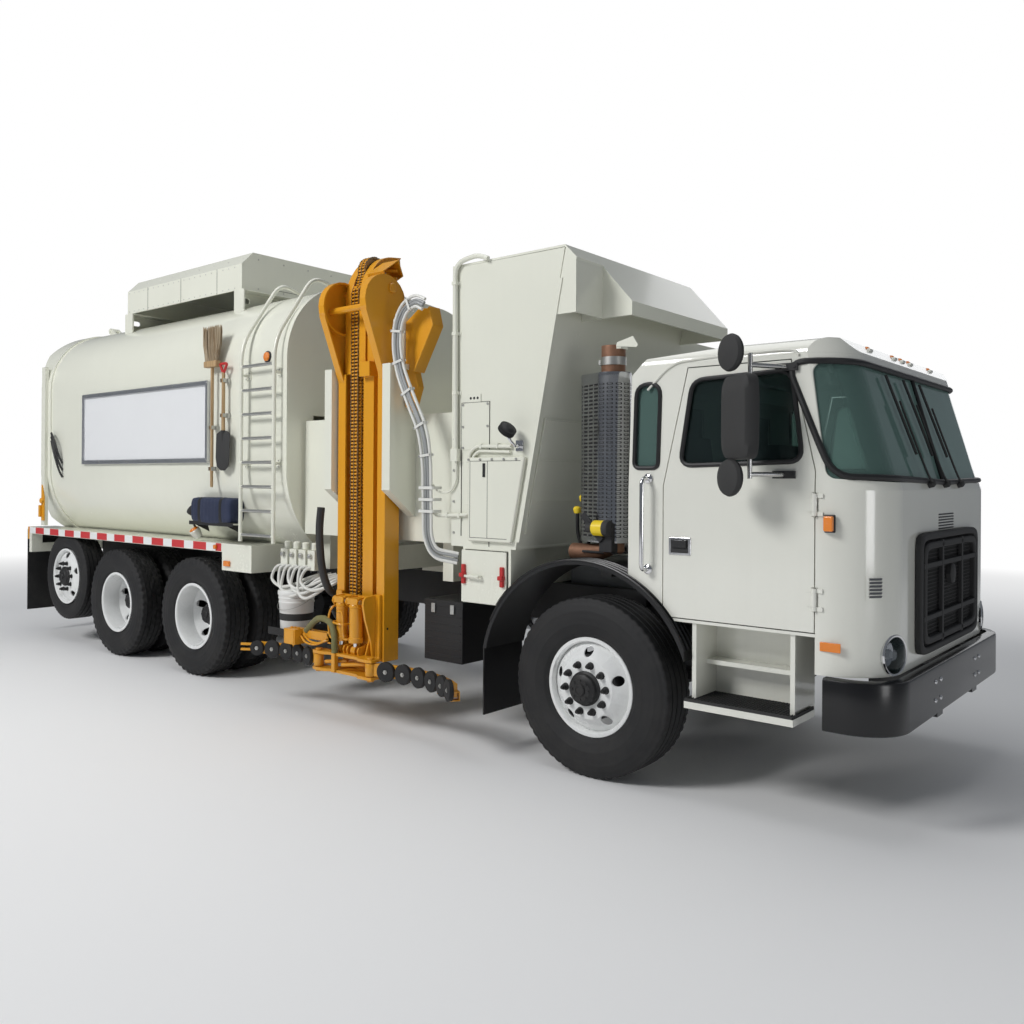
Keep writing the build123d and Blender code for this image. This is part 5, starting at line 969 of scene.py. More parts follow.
@dataclass
class Rim:
    """One painted steel wheel: gutter with rolled flanges and a sloped disc with hand holes."""

    middle: float
    flat: float
    root: float
    hub: float = 0.08
    inner: float = 0.184
    outer: float = 0.2685
    wall: float = 0.012
    holes: int = 5
    ring: float = 0.215
    hole: float = 0.03

    def slope(self, r: Array | float) -> Array:
        """y of the disc's outward face: flat at the hub, then an eased fall to the gutter."""
        share = np.clip((np.asarray(r, float) - 0.178) / (self.outer - 0.178), 0, 1)
        return self.flat + (self.root - self.flat) * share ** 1.2

    def gutter(self) -> Form:
        """Turns the gutter's closed section, drawn for one half and mirrored.

        Returns:
            The gutter's mesh.
        """
        half = np.array([(0.268, 0.1), (0.271, 0.11), (0.277, 0.118), (0.292, 0.118),
                         (0.2965, 0.1165), (0.2985, 0.1125), (0.297, 0.1075), (0.288, 0.106),
                         (0.2855, 0.1), (0.2855, 0.05), (0.28, 0.03)])
        loop = np.vstack([half, half[::-1] * (1, -1)])[::-1]
        loop = np.vstack([loop, loop[:1]])
        return Form().lathe(loop + (0, self.middle), (0, 0, 0), (0, 1, 0), 96, False)

    def disc(self) -> Form:
        """Disc with round hand holes.

        Each hole has its own patch of the sloped ring. Loops of points go from the hole's
        circle to the patch's four sides, blended straight, on both faces of the sheet.

        Returns:
            The disc's mesh.
        """
        y, w = self.flat, self.wall
        edge = float(self.slope(self.inner))
        loop = [(self.hub, y), (self.hub, y - w), (0.176, y - w), (self.inner, edge - w),
                (self.inner, edge), (0.176, y), (self.hub, y)]
        form = Form().lathe(loop, (0, 0, 0), (0, 1, 0), 80, False)
        span = math.pi / self.holes * self.ring
        aim = math.atan2(span, 0.04)
        wide = np.tan(np.linspace(-aim, aim, 19)[:-1]) / math.tan(aim)
        tall = np.linspace(-1, 1, 7)[:-1]
        square = np.concatenate([np.stack([wide, wide * 0 - 1], 1),
                                 np.stack([tall * 0 + 1, tall], 1),
                                 np.stack([-wide, wide * 0 + 1], 1),
                                 np.stack([tall * 0 - 1, -tall], 1)])
        side = np.stack([square[:, 0] * span, self.inner + (square[:, 1] + 1) / 2
                         * (self.outer - self.inner)], 1)
        way = unit(side - (0, self.ring))
        circle = way * self.hole + (0, self.ring)
        flare = way * (self.hole + 0.0035) + (0, self.ring)
        front = [side, flare * 0.55 + side * 0.45, flare, circle]
        for k in range(self.holes):
            rows = []
            for layer, drop in [(f, 0.0) for f in front] + [(f, w) for f in front[::-1]]:
                lift = 0.0022 if layer is circle and not drop else 0.0
                angle = layer[:, 0] / self.ring + 2 * math.pi * k / self.holes
                rows.append(np.stack([layer[:, 1] * np.sin(angle),
                                      self.slope(layer[:, 1]) - drop - lift,
                                      layer[:, 1] * np.cos(angle)], -1))
            form.grid(np.array(rows), True)
        return form

    def form(self, x: float, z: float) -> Form:
        """The whole wheel at its axle."""
        both = self.gutter().merge(self.disc())
        return Form().add(np.vstack(both.verts) + (x, 0, z), both.faces)


@dataclass
class WheelSet(Assembly):
    """Rubber, nuts and hub of one wheel position, for both sides."""

    node: str
    body: str
    x: float
    z: float
    tyres: Sequence[Tyre]
    rims: Sequence[Rim]
    drum: tuple
    face: float
    hub_end: float
    hub_r: float
    dark_nuts: bool = True

    def hardware(self) -> tuple[Form, Form, Form]:
        """Turns the small parts of the hub.

        Returns:
            Nuts with their washers, the hub barrel with its flange and bolts, and its oil cap.
        """
        turn = np.arange(10) * 2 * np.pi / 10 + 0.25
        spots = np.stack([self.x + 0.1429 * np.sin(turn), 0 * turn + self.face - 0.001,
                          self.z + 0.1429 * np.cos(turn)], -1)
        nut = [(0.023, 0.0), (0.023, 0.005), (0.0175, 0.007), (0.0175, 0.028), (0.0145, 0.033),
               (0.011, 0.034), (0.011, 0.046), (0.009, 0.049), (0.0001, 0.049)]
        nuts = Form().spread(spots, (0, 1, 0), nut, 12)
        long = self.hub_end - self.face
        r = self.hub_r
        hub = Form().lathe([(r + 0.018, -0.004), (r + 0.018, 0.012), (r + 0.006, 0.02),
                            (r + 0.003, long * 0.72), (r - 0.012, long * 0.86),
                            (r - 0.02, long + 0.001), (0.03, long + 0.001), (0.0001, long + 0.001)],
                           (self.x, self.face, self.z), (0, 1, 0), 40)
        ring = np.arange(8) * 2 * np.pi / 8
        bolts = np.stack([self.x + (r - 0.028) * np.sin(ring), 0 * ring + self.hub_end,
                          self.z + (r - 0.028) * np.cos(ring)], -1)
        hub.spread(bolts, (0, 1, 0), scaled(BOLT, 0.0085))
        cap = Form().lathe([(0.036, 0), (0.036, 0.006), (0.031, 0.012), (0.024, 0.013),
                            (0.022, 0.009), (0.0001, 0.009)],
                           (self.x, self.hub_end, self.z), (0, 1, 0), 32)
        return nuts, hub, cap

    def build(self) -> None:
        """Adds both sides."""
        rubber = Form()
        for tyre in self.tyres:
            rubber.merge(tyre.form(self.x, self.z))
        steel = Form()
        for rim in self.rims:
            steel.merge(rim.form(self.x, self.z))
        low, high = self.drum
        brake = Form().lathe([(0.045, high), (0.185, high), (0.197, high - 0.012),
                              (0.197, low + 0.02), (0.204, low + 0.015), (0.204, low),
                              (0.188, low), (0.188, high - 0.02), (0.045, high - 0.02),
                              (0.045, high)][::-1], (self.x, 0, self.z), (0, 1, 0), 64, False)
        nuts, hub, cap = self.hardware()
        nut_look = Look.CHASSIS if self.dark_nuts else Look.ZINC
        for side, sign in SIDES.items():
            body = f"{self.body}_{side}"
            turned = [f if sign > 0 else f.mirrored()
                      for f in (rubber, nuts, hub, cap, steel, brake)]
            self.piece(f"{self.node}_rubber_{side}", turned[0], Look.TYRE, angle=50, body=body,
                       stands_for=[f"tyre_{self.node}_{side}"])
            self.piece(f"{self.node}_nuts_{side}", turned[1], nut_look, body=body,
                       slot="frame_black")
            self.piece(f"{self.node}_hub_{side}", turned[2], Look.CHASSIS, body=body)
            self.piece(f"{self.node}_oil_cap_{side}", turned[3], Look.CHASSIS, body=body,
                       slot="stainless")
            self.piece(f"{self.node}_steel_{side}", turned[4], Look.WHEEL, body=body,
                       stands_for=[f"rim_{self.node}_{side}"])
            self.piece(f"{self.node}_brake_{side}", turned[5], Look.CHASSIS, body=body)


def wheels(frame: dict) -> None:
    """Builds every wheel position on the truck.

    Args:
        frame: the loaded frame.
    """
    front = Tyre(1.075, 0.538, 0.31)
    twins = [Tyre(y, 0.531, 0.28, 48) for y in (1.08, 0.74)]
    tag = Tyre(1.072, 0.464, 0.255)
    pair = [Rim(1.08, 0.922, 1.025, 0.09, ring=0.224, hole=0.035),
            Rim(0.74, 0.91, 0.815, 0.09, ring=0.224, hole=0.035)]
    steer = [Rim(1.075, 1.231, 1.15)]
    lift = [Rim(1.072, 1.192, 1.147, ring=0.224, hole=0.035)]
    hollow, wide = (1.035, 1.216), (0.668, 0.896)
    for one in (WheelSet(frame, "front", "wheel_front", 0.0, 0.538, [front], steer, hollow, 1.231,
                         1.292, 0.085), WheelSet(frame, "drive_a", "wheels_drive_a", -4.274, 0.531,
                                                 twins, pair, wide, 0.922, 1.06, 0.095),
                WheelSet(frame, "drive_b", "wheels_drive_b", -5.661, 0.531, twins, pair, wide,
                         0.922, 1.06, 0.095), WheelSet(frame, "tag", "wheels_tag", -6.769, 0.71,
                                                       [tag], lift, (1.01, 1.178), 1.192, 1.231,
                                                       0.085)):
        one.build()


# ------------------------------------------------------------------ cab
@dataclass
class Cab(Assembly):
    """Seals, lamps, handles, mirrors, wipers and trim of the cab."""

    half: float = 1.17
    tumble: float = 0.035
    belt: float = 1.735
    nose: float = 1.665
    corner: float = 0.33
    lean: float = 0.206 / 0.72

    def side_y(self, z: Array | float) -> Array:
        """y of the left side's skin at height z: it leans in above the belt."""
        return self.half - self.tumble * np.clip((np.asarray(z) - self.belt) / 0.7, 0, 1.1)

    def front_x(self, z: Array | float) -> Array:
        """x of the nose at height z: upright to the belt, then leaning back."""
        return self.nose - self.lean * np.clip(np.asarray(z) - self.belt, 0, None)

    def skin(self, run: Array, z: Array, out: float = 0.0) -> Array:
        """Places on the front half of the cab.

        The plan at each height is the middle of the nose, a quarter circle and the side. run is
        the distance along it from the middle, and out is how far it stands off.

        Args:
            run: distances along the plan, positive to the left.
            z: heights.
            out: stand-off.
        Returns:
            The places.
        """
        run, z = np.broadcast_arrays(np.asarray(run, float), np.asarray(z, float))
        sign, far = np.where(run < 0, -1, 1), np.abs(run)
        flat = self.half - self.corner
        turn = np.clip((far - flat) / self.corner, 0, np.pi / 2)
        past = np.clip(far - flat - self.corner * np.pi / 2, 0, None)
        x = self.front_x(z) - self.corner + (self.corner + out) * np.cos(turn) - past
        y = np.minimum(far, flat) + (self.corner + out) * np.sin(turn)
        y = np.minimum(y, self.side_y(z) + out)
        return np.stack([x, sign * y, z], -1)

    def window_ring(self, corners: Sequence[Spot], sign: int, radius: float, out: float) -> Array:
        """Closed path round a side window.

        Args:
            corners: (x, z) of the window's corners.
            sign: 1 on the left, -1 on the right.
            radius: set-back of the rounded corners.
            out: how far the path stands out from the skin.
        Returns:
            The path.
        """
        flat = np.array([(x, 0, z) for x, z in corners])
        middles = (flat + np.roll(flat, -1, 0)) / 2
        loop = np.vstack([middles[:1], np.roll(flat, -1, 0)[:-1], flat[:1], middles[:1]])
        path = rounded_path(loop, radius, 6)
        path[:, 1] = sign * (self.side_y(path[:, 2]) + out)
        return path

    def seals(self) -> None:
        """Rubber round the door, quarter and wind screens."""
        windows = {"door": [(0.578, 1.862), (1.272, 1.88), (1.203, 2.356), (0.64, 2.34)],
                   "quarter": [(0.284, 1.85), (0.44, 1.85), (0.44, 2.335), (0.284, 2.335)]}
        for side, sign in SIDES.items():
            for window, corners in windows.items():
                form = Form().tube(self.window_ring(corners, sign, 0.075, 0.001), 0.013, 8)
                self.piece(f"{window}_seal_{side}", form, Look.SEAL, body=f"door_{side}" if window
                           == "door" else "chassis")
        low, high, side_run = 1.778, 2.395, 1.3
        run = np.array([0, side_run, side_run + 0.03, 0])
        corner = [(0, low), (side_run - 0.05, low + 0.025), (side_run + 0.03, high), (0, high)]
        right = [(-r, z) for r, z in reversed(corner)]
        flat = np.array([(r, 0, z) for r, z in corner[1:] + [(corner[3])] + right[1:-1]
                         + [corner[0]]])
        loop = np.vstack([flat[-1:], flat[:-1], flat[-1:]])
        path = rounded_path(loop, 0.1, 8)
        steps = [np.linspace(a, b, max(2, int(np.linalg.norm(b - a) / 0.06)), endpoint=False)
                 for a, b in zip(path[:-1], path[1:])]
        path = np.vstack(steps + [path[-1:]])
        ring = self.skin(path[:, 0], path[:, 2], 0.001)
        form = Form().tube(ring, 0.017, 8)
        heights = np.linspace(low, high, 16)
        form.tube(self.skin(heights * 0, heights, -0.004), 0.011, 8)
        self.piece("windscreen_seal", form, Look.SEAL)

    def panel_lines(self) -> None:
        """Drip rails over the doors."""
        for side, sign in SIDES.items():
            rail = [(0.36, 2.3), (0.5, 2.425), (0.66, 2.455), (1.16, 2.462), (1.24, 2.43)]
            path = smooth_path([(x, 0, z) for x, z in rail], 8)
            path[:, 1] = sign * (self.side_y(path[:, 2]) + 0.004)
            form = Form().tube(path, 0.009, 8, 0.8)
            self.piece(f"drip_rail_{side}", form, Look.CAB)

    def handles(self) -> None:
        """Grab rails behind the doors, and door latches in their pans."""
        for side, sign in SIDES.items():
            y = self.half
            pts = [(0.382, y - 0.005, 1.27), (0.382, y + 0.075, 1.27), (0.382, y + 0.075, 1.79),
                   (0.382, y - 0.005, 1.79)]
            form = Form().tube(rounded_path([(a, sign * b, c) for a, b, c in pts], 0.05, 8),
                               0.0135, 12)
            for z in (1.27, 1.79):
                form.lathe([(0.028, 0), (0.028, 0.006), (0.018, 0.012), (0.0001, 0.012)],
                           (0.382, sign * y, z), (0, sign, 0), 20)
            self.piece(f"grab_rail_{side}", form, Look.CHROME)
            pan = Form().box((0.515, sign * (y - 0.002), 1.362), (0.652, sign * (y + 0.006), 1.462))
            self.piece(f"latch_pan_{side}", pan, Look.CHROME, 0.006, body=f"door_{side}")
            dish = Form().box((0.529, sign * (y + 0.004), 1.374),
                              (0.638, sign * (y + 0.0072), 1.45))
            self.piece(f"latch_dish_{side}", dish, Look.PLASTIC, 0.004, body=f"door_{side}")
            paddle = Form().box((0.54, sign * (y + 0.006), 1.402),
                                (0.63, sign * (y + 0.018), 1.446))
            self.piece(f"latch_paddle_{side}", paddle, Look.SEAL, 0.004, body=f"door_{side}",
                       slot="black_plastic")

    def lamps(self) -> None:
        """Head lamps, corner turn lamps, side markers and roof markers."""
        for side, sign in SIDES.items():
            z = 0.905
            low, high = self.skin(sign * np.array([0.833, 1.017]), np.full(2, z), 0.0)
            axis = unit(sign * np.array([high[1] - low[1], low[0] - high[0], 0.0]))
            spot = (low + high) / 2 + axis * 0.006
            shell = Form().lathe([(0.104, -0.012), (0.106, 0.004), (0.101, 0.012),
                                  (0.093, 0.01), (0.088, -0.004), (0.07, -0.045),
                                  (0.03, -0.062), (0.0001, -0.064)], spot, axis, 48, False)
            self.piece(f"headlamp_bowl_{side}", shell, Look.CHROME, stands_for=["lamps"] if sign > 0
                       else ())
            lens = Form().lathe([(0.094, 0.008), (0.07, 0.018), (0.035, 0.023), (0.0001, 0.024)],
                                spot, axis, 40, False)
            self.piece(f"headlamp_lens_{side}", lens, Look.CLEAR)
            bulb = Form().lathe([(0.026, -0.06), (0.026, -0.025), (0.018, -0.012),
                                 (0.0001, -0.01)], spot, axis, 24)
            self.piece(f"headlamp_bulb_{side}", bulb, Look.CLEAR_LENS)
        spots = self.skin(np.array([0.0, -0.16, 0.16, -0.6, 0.6]), np.full(5, 2.47))
        base, dome = Form(), Form()
        for x, y, z in spots - (0.045, 0, -0.03):
            base.box((x - 0.04, y - 0.026, z - 0.012), (x + 0.024, y + 0.026, z + 0.005))
            dome.lathe([(0.02, 0), (0.019, 0.008), (0.012, 0.014), (0.0001, 0.016)],
                       (x - 0.008, y, z + 0.004), (0, 0, 1), 20)
        self.piece("roof_marker_bases", base, Look.CAB, 0.004)
        self.piece("roof_marker_domes", dome, Look.AMBER)
        for side, sign in SIDES.items():
            case, lens, edge = Form(), Form(), Form()
            outer = sign * (self.half + 0.012)
            case.box((1.386, sign * (self.half - 0.006), 1.522), (1.442, outer, 1.612))
            lens.box((1.39, sign * (self.half + 0.008), 1.528), (1.438, sign * (self.half + 0.036),
                                                                 1.606))
            self.piece(f"turn_lamp_case_{side}", case, Look.SEAL, 0.006, slot="black_plastic")
            self.piece(f"turn_lamp_lens_{side}", lens, Look.AMBER, 0.008)
            edge.box((1.366, sign * (self.half - 0.002), 0.925), (1.47, sign * (self.half + 0.004),
                                                                  0.972))
            self.piece(f"side_marker_{side}", edge, Look.AMBER, 0.003)

    def vents(self) -> None:
        """Louvred panel on each front corner and the cowl slots above the grille."""
        for side, sign in SIDES.items():
            frame, slats = Form(), Form()
            run = sign * np.linspace(1.01, 1.112, 7)
            edges = np.array([[1.185], [1.305]])
            back, face = (self.skin(run[None], edges, out) for out in (-0.004, 0.003))
            ring = np.concatenate([back[:1], face, back[1:], back[:1]])
            frame.grid(ring if sign < 0 else ring[::-1], False)
            for k in range(6):
                z = 1.198 + k * 0.0175
                tilt = np.stack([self.skin(run[1:-1], np.full(5, z), 0.002),
                                 self.skin(run[1:-1], np.full(5, z + 0.011), 0.011),
                                 self.skin(run[1:-1], np.full(5, z + 0.013), 0.002)])
                slats.grid(tilt if sign < 0 else tilt[::-1], False)
            self.piece(f"corner_vent_{side}", frame, Look.CAB)
            self.piece(f"corner_vent_slats_{side}", slats, Look.TRIM)
        # Dark strips across the nose: painted shade inside the cowl slots.
        slots = Form()
        for k in range(6):
            z = 1.512 + k * 0.016
            slots.box((self.nose - 0.004, -0.16, z), (self.nose + 0.0035, 0.16, z + 0.008))
        self.piece("cowl_slots", slots, Look.SEAL, 0.002, slot="black_plastic")

    def wipers(self) -> None:
        """Two arms with blades, parked upright on the wind screen."""
        form = Form()
        for run, top in ((-0.34, -0.52), (0.3, 0.12), (-0.02, -0.2)):
            z = np.array([1.775, 1.82, 2.0, 2.22])
            arm = self.skin(np.linspace(run, top, 4), z, 0.03)
            form.tube(smooth_path(arm, 4), 0.0065, 6)
            blade = self.skin(np.linspace(run * 0.4 + top * 0.6, top * 1.35 - run * 0.35, 8),
                              np.linspace(1.93, 2.36, 8), 0.014)
            form.tube(blade, 0.0075, 6)
            form.lathe([(0.022, 0), (0.022, 0.03), (0.012, 0.042), (0.0001, 0.042)],
                       self.skin(run, 1.765, -0.004), (1, 0, 0.3), 16)
        self.piece("wipers", form, Look.PLASTIC)

    def mirrors(self) -> None:
        """Main and round mirrors with their arms, in place of the plain ones."""
        for side, sign in SIDES.items():
            back, glass, arms = Form(), Form(), Form()
            u = circle(40)
            power = 0.32
            across = np.sign(np.cos(u)) * np.abs(np.cos(u)) ** power
            up = np.sign(np.sin(u)) * np.abs(np.sin(u)) ** power
            middle, half_w, half_h = np.array([1.045, 1.41, 2.102]), 0.118, 0.217
            along = unit(np.array([0.86, 0.51, 0]))
            depth = np.array([0.51, -0.86, 0]) * -1
            rings = []
            for share, off in ((0.93, -0.036), (0.99, -0.03), (1.0, -0.01), (0.97, 0.028),
                               (0.86, 0.044), (0.55, 0.052), (0.001, 0.054)):
                rings.append(middle + (across * half_w * share)[:, None] * along
                             + (up * half_h * share)[:, None] * (0, 0, 1) + depth * off)
            back.grid(np.array(rings), True, True)
            face = [middle + (across * half_w * s)[:, None] * along
                    + (up * half_h * s)[:, None] * (0, 0, 1) - depth * 0.0375
                    for s in (0.9, 0.001)]
            glass.grid(np.array(face)[::-1], True)
            for z in (1.795, 2.435):
                spot = np.array([0.985, 1.398, z])
                back.lathe([(0.085, -0.022), (0.094, -0.014), (0.098, 0.0), (0.09, 0.016),
                            (0.06, 0.026), (0.0001, 0.03)], spot, depth, 36)
                glass.lathe([(0.086, 0.0), (0.05, 0.004), (0.0001, 0.006)],
                            spot - depth * 0.0225, -depth, 32, False)
            bar = [(1.072, 1.352, 1.79), (1.072, 1.352, 1.93), (1.072, 1.352, 2.28),
                   (1.072, 1.352, 2.43)]
            arms.tube(np.array(bar), 0.0125, 12)
            for z in (1.812, 2.37):
                skin = float(self.side_y(z))
                arms.tube(rounded_path([(1.18, skin + 0.02, z), (1.16, skin + 0.06, z),
                                        (1.075, 1.352, z)], 0.03), 0.0125, 12)
            feet = Form()
            for z in (1.812, 2.37):
                skin = float(self.side_y(z))
                feet.box((1.122, skin + 0.002, z - 0.02), (1.238, skin + 0.0235, z + 0.02))
                feet.spread([(x, skin + 0.0235, z) for x in (1.136, 1.224)], (0, 1, 0),
                            scaled(BOLT, 0.008))
            parts = [f if sign > 0 else f.mirrored() for f in (back, glass, arms, feet)]
            body = f"door_{side}"
            self.piece(f"mirror_cases_{side}", parts[0], Look.PLASTIC, body=body,
                       stands_for=[f"mirror_{side}"])
            self.piece(f"mirror_glass_{side}", parts[1], Look.CHROME, body=body)
            self.piece(f"mirror_arms_{side}", parts[2], Look.STEEL, body=body)
            self.piece(f"mirror_feet_{side}", parts[3], Look.PLASTIC, 0.004, body=body)

    def grille_mesh(self) -> None:
        """Mesh over the intake, its rounded guard frame with cross bars, and the bare pad."""
        mesh, guard = Form(), Form()
        for k in range(57):
            y = -0.575 + k * 0.0205
            mesh.box((1.672, y - 0.0025, 0.88), (1.6765, y + 0.0025, 1.48))
        for k in range(29):
            z = 0.893 + k * 0.0205
            mesh.box((1.672, -0.6, z - 0.0025), (1.6755, 0.6, z + 0.0025))
        # A black sheet right behind the mesh: painted shade of the intake's hollow.
        mesh.box((1.666, -0.606, 0.876), (1.669, 0.606, 1.484))
        self.piece("grille_mesh", mesh, Look.PLASTIC)
        corner = np.linspace(0, 2 * np.pi, 49)[:-1]
        power = 0.16
        y = 0.606 * np.sign(np.cos(corner)) * np.abs(np.cos(corner)) ** power
        z = 1.18 + 0.304 * np.sign(np.sin(corner)) * np.abs(np.sin(corner)) ** power
        for wide, x in ((0.0, 1.6905), (-0.05, 1.6945)):
            grow = 1 + wide / 0.5
            ring = np.stack([0 * y + x, y * grow, 1.18 + (z - 1.18) * (1 + wide / 0.3)], -1)
            rows = []
            for side, lift in ((0.022, -0.022), (0.022, 0.004), (0.014, 0.011), (-0.01, 0.011),
                               (-0.016, 0.004), (-0.016, -0.022), (0.022, -0.022)):
                away = (ring - (x, 0, 1.18)) / (np.abs(ring - (x, 0, 1.18)).max(0) + 1e-9)
                rows.append(ring + away * side + (lift, 0, 0))
            guard.grid(np.array(rows), True)
        for yy in (-0.215, 0.215):
            guard.box((1.684, yy - 0.016, 0.9), (1.7055, yy + 0.016, 1.46))
        for zz in (1.05, 1.33):
            guard.box((1.684, -0.585, zz - 0.014), (1.7035, 0.585, zz + 0.014))
        self.piece("grille_guard", guard, Look.PLASTIC, 0.003, stands_for=["grille"])
        pad = Form().lathe([(0.062, -0.02), (0.062, 0.004), (0.054, 0.009), (0.0001, 0.011)],
                           (1.6995, 0, 1.255), (1, 0, 0), 6)
        self.piece("nose_pad", pad, Look.PLASTIC)

    def steps(self) -> None:
        """Open grating on the treads, and tread risers."""
        self.dress(Look.CAB, "step_wells")
        for side, sign in SIDES.items():
            grate = Form()
            x0, x1, y0, y1, z = 0.645, 1.245, 0.925, 1.219, 0.566
            for k in range(31):
                x = x0 + (x1 - x0) * k / 30
                grate.box((x - 0.002, sign * y0, z), (x + 0.002, sign * y1, z + 0.012))
            for k in range(13):
                y = y0 + (y1 - y0) * k / 12
                grate.box((x0, sign * (y - 0.002), z), (x1, sign * (y + 0.002), z + 0.01))
            grate.box((x0 - 0.003, sign * (y1 - 0.004), 0.53), (x1 + 0.003, sign * (y1 + 0.0005),
                                                                0.582))
            for x in (x0, x1):
                grate.box((x - 0.003, sign * y0, 0.53), (x + 0.003, sign * y1, 0.582))
            self.piece(f"step_grating_{side}", grate, Look.PLASTIC)

    def bumper(self) -> None:
        """Wrap-round bumper, its brackets, tow lugs and bolts.

        The plan runs along the right side, round a quarter circle, across the nose and back.
        The section is a rounded channel: face, two rolled edges and an open back.
        """
        turn = np.linspace(0, np.pi / 2, 15)
        front, half, corner = 1.736, 1.2, 0.25
        bend = np.stack([front - corner + corner * np.sin(turn),
                         -half + corner - corner * np.cos(turn)], -1)
        plan = np.vstack([[(1.39, -half)], bend, (bend * (1, -1))[::-1], [(1.39, half)]])
        out = np.vstack([[(0, -1)], np.stack([np.sin(turn), -np.cos(turn)], -1),
                         (np.stack([np.sin(turn), np.cos(turn)], -1))[::-1], [(0, 1)]])
        section = [(-0.055, 0.53), (-0.055, 0.537), (-0.02, 0.537), (-0.012, 0.548),
                   (-0.012, 0.779), (-0.02, 0.79), (-0.055, 0.79), (-0.055, 0.797),
                   (-0.014, 0.797), (-0.004, 0.792), (0.0, 0.781), (0.0, 0.546),
                   (-0.004, 0.535), (-0.014, 0.53)]
        rows = [np.column_stack([plan + out * off, np.full(len(plan), z)]) for off, z in section]
        wrap = Form().grid(np.array(rows).transpose(1, 0, 2), True, True)
        bolts = Form()
        for sign in (-1, 1):
            y = sign * 0.39
            wrap.box((1.372, y - 0.04, 0.59), (1.725, y + 0.04, 0.79))
            wrap.plate([(1.43, 0.515), (1.734, 0.515), (1.734, 0.545), (1.68, 0.545),
                        (1.6, 0.532), (1.43, 0.532)], 1, y - 0.055, y + 0.055)
            bolts.spread([(1.736, sign * (0.44 + dy), 0.663 + dz) for dy in (-0.05, 0.05)
                          for dz in (-0.05, 0.05)], (1, 0, 0), scaled(DOME, 0.013), 16)
        self.piece("bumper_wrap", wrap, Look.BUMPER, angle=40, stands_for=["bumper"])
        self.piece("bumper_bolts", bolts, Look.CHROME)

    def fenders(self) -> None:
        """Raised ribs round the black arches."""
        self.dress(Look.FENDER, "front_fenders")
        for side, sign in SIDES.items():
            form = Form()
            for y, r in ((1.203, 0.772), (1.165, 0.7735), (1.12, 0.7735), (1.08, 0.7735)):
                path = np.stack([-0.072 + r * np.sin(np.radians(np.linspace(-64, 66, 60))),
                                 0 * np.linspace(0, 1, 60) + sign * y,
                                 0.523 + r * np.cos(np.radians(np.linspace(-64, 66, 60)))], -1)
                form.tube(path, 0.008, 8)
            self.piece(f"fender_ribs_{side}", form, Look.FENDER)

    def inside(self) -> None:
        """Finishes inside the cab."""
        self.dress(Look.TRIM, "cab_interior")

    def build(self) -> None:
        """Adds every cab piece."""
        self.dress(Look.CAB, "cab_shell", "cab_front", "cab_roof", "door_left", "door_right")
        self.dress(Look.SCREEN, "cab_glass")
        self.dress(Look.GLASS, "door_glass_left", "door_glass_right")
        for work in (self.seals, self.panel_lines, self.handles, self.lamps, self.vents,
                     self.wipers, self.mirrors, self.grille_mesh, self.steps, self.bumper,
                     self.fenders, self.inside):
            work()


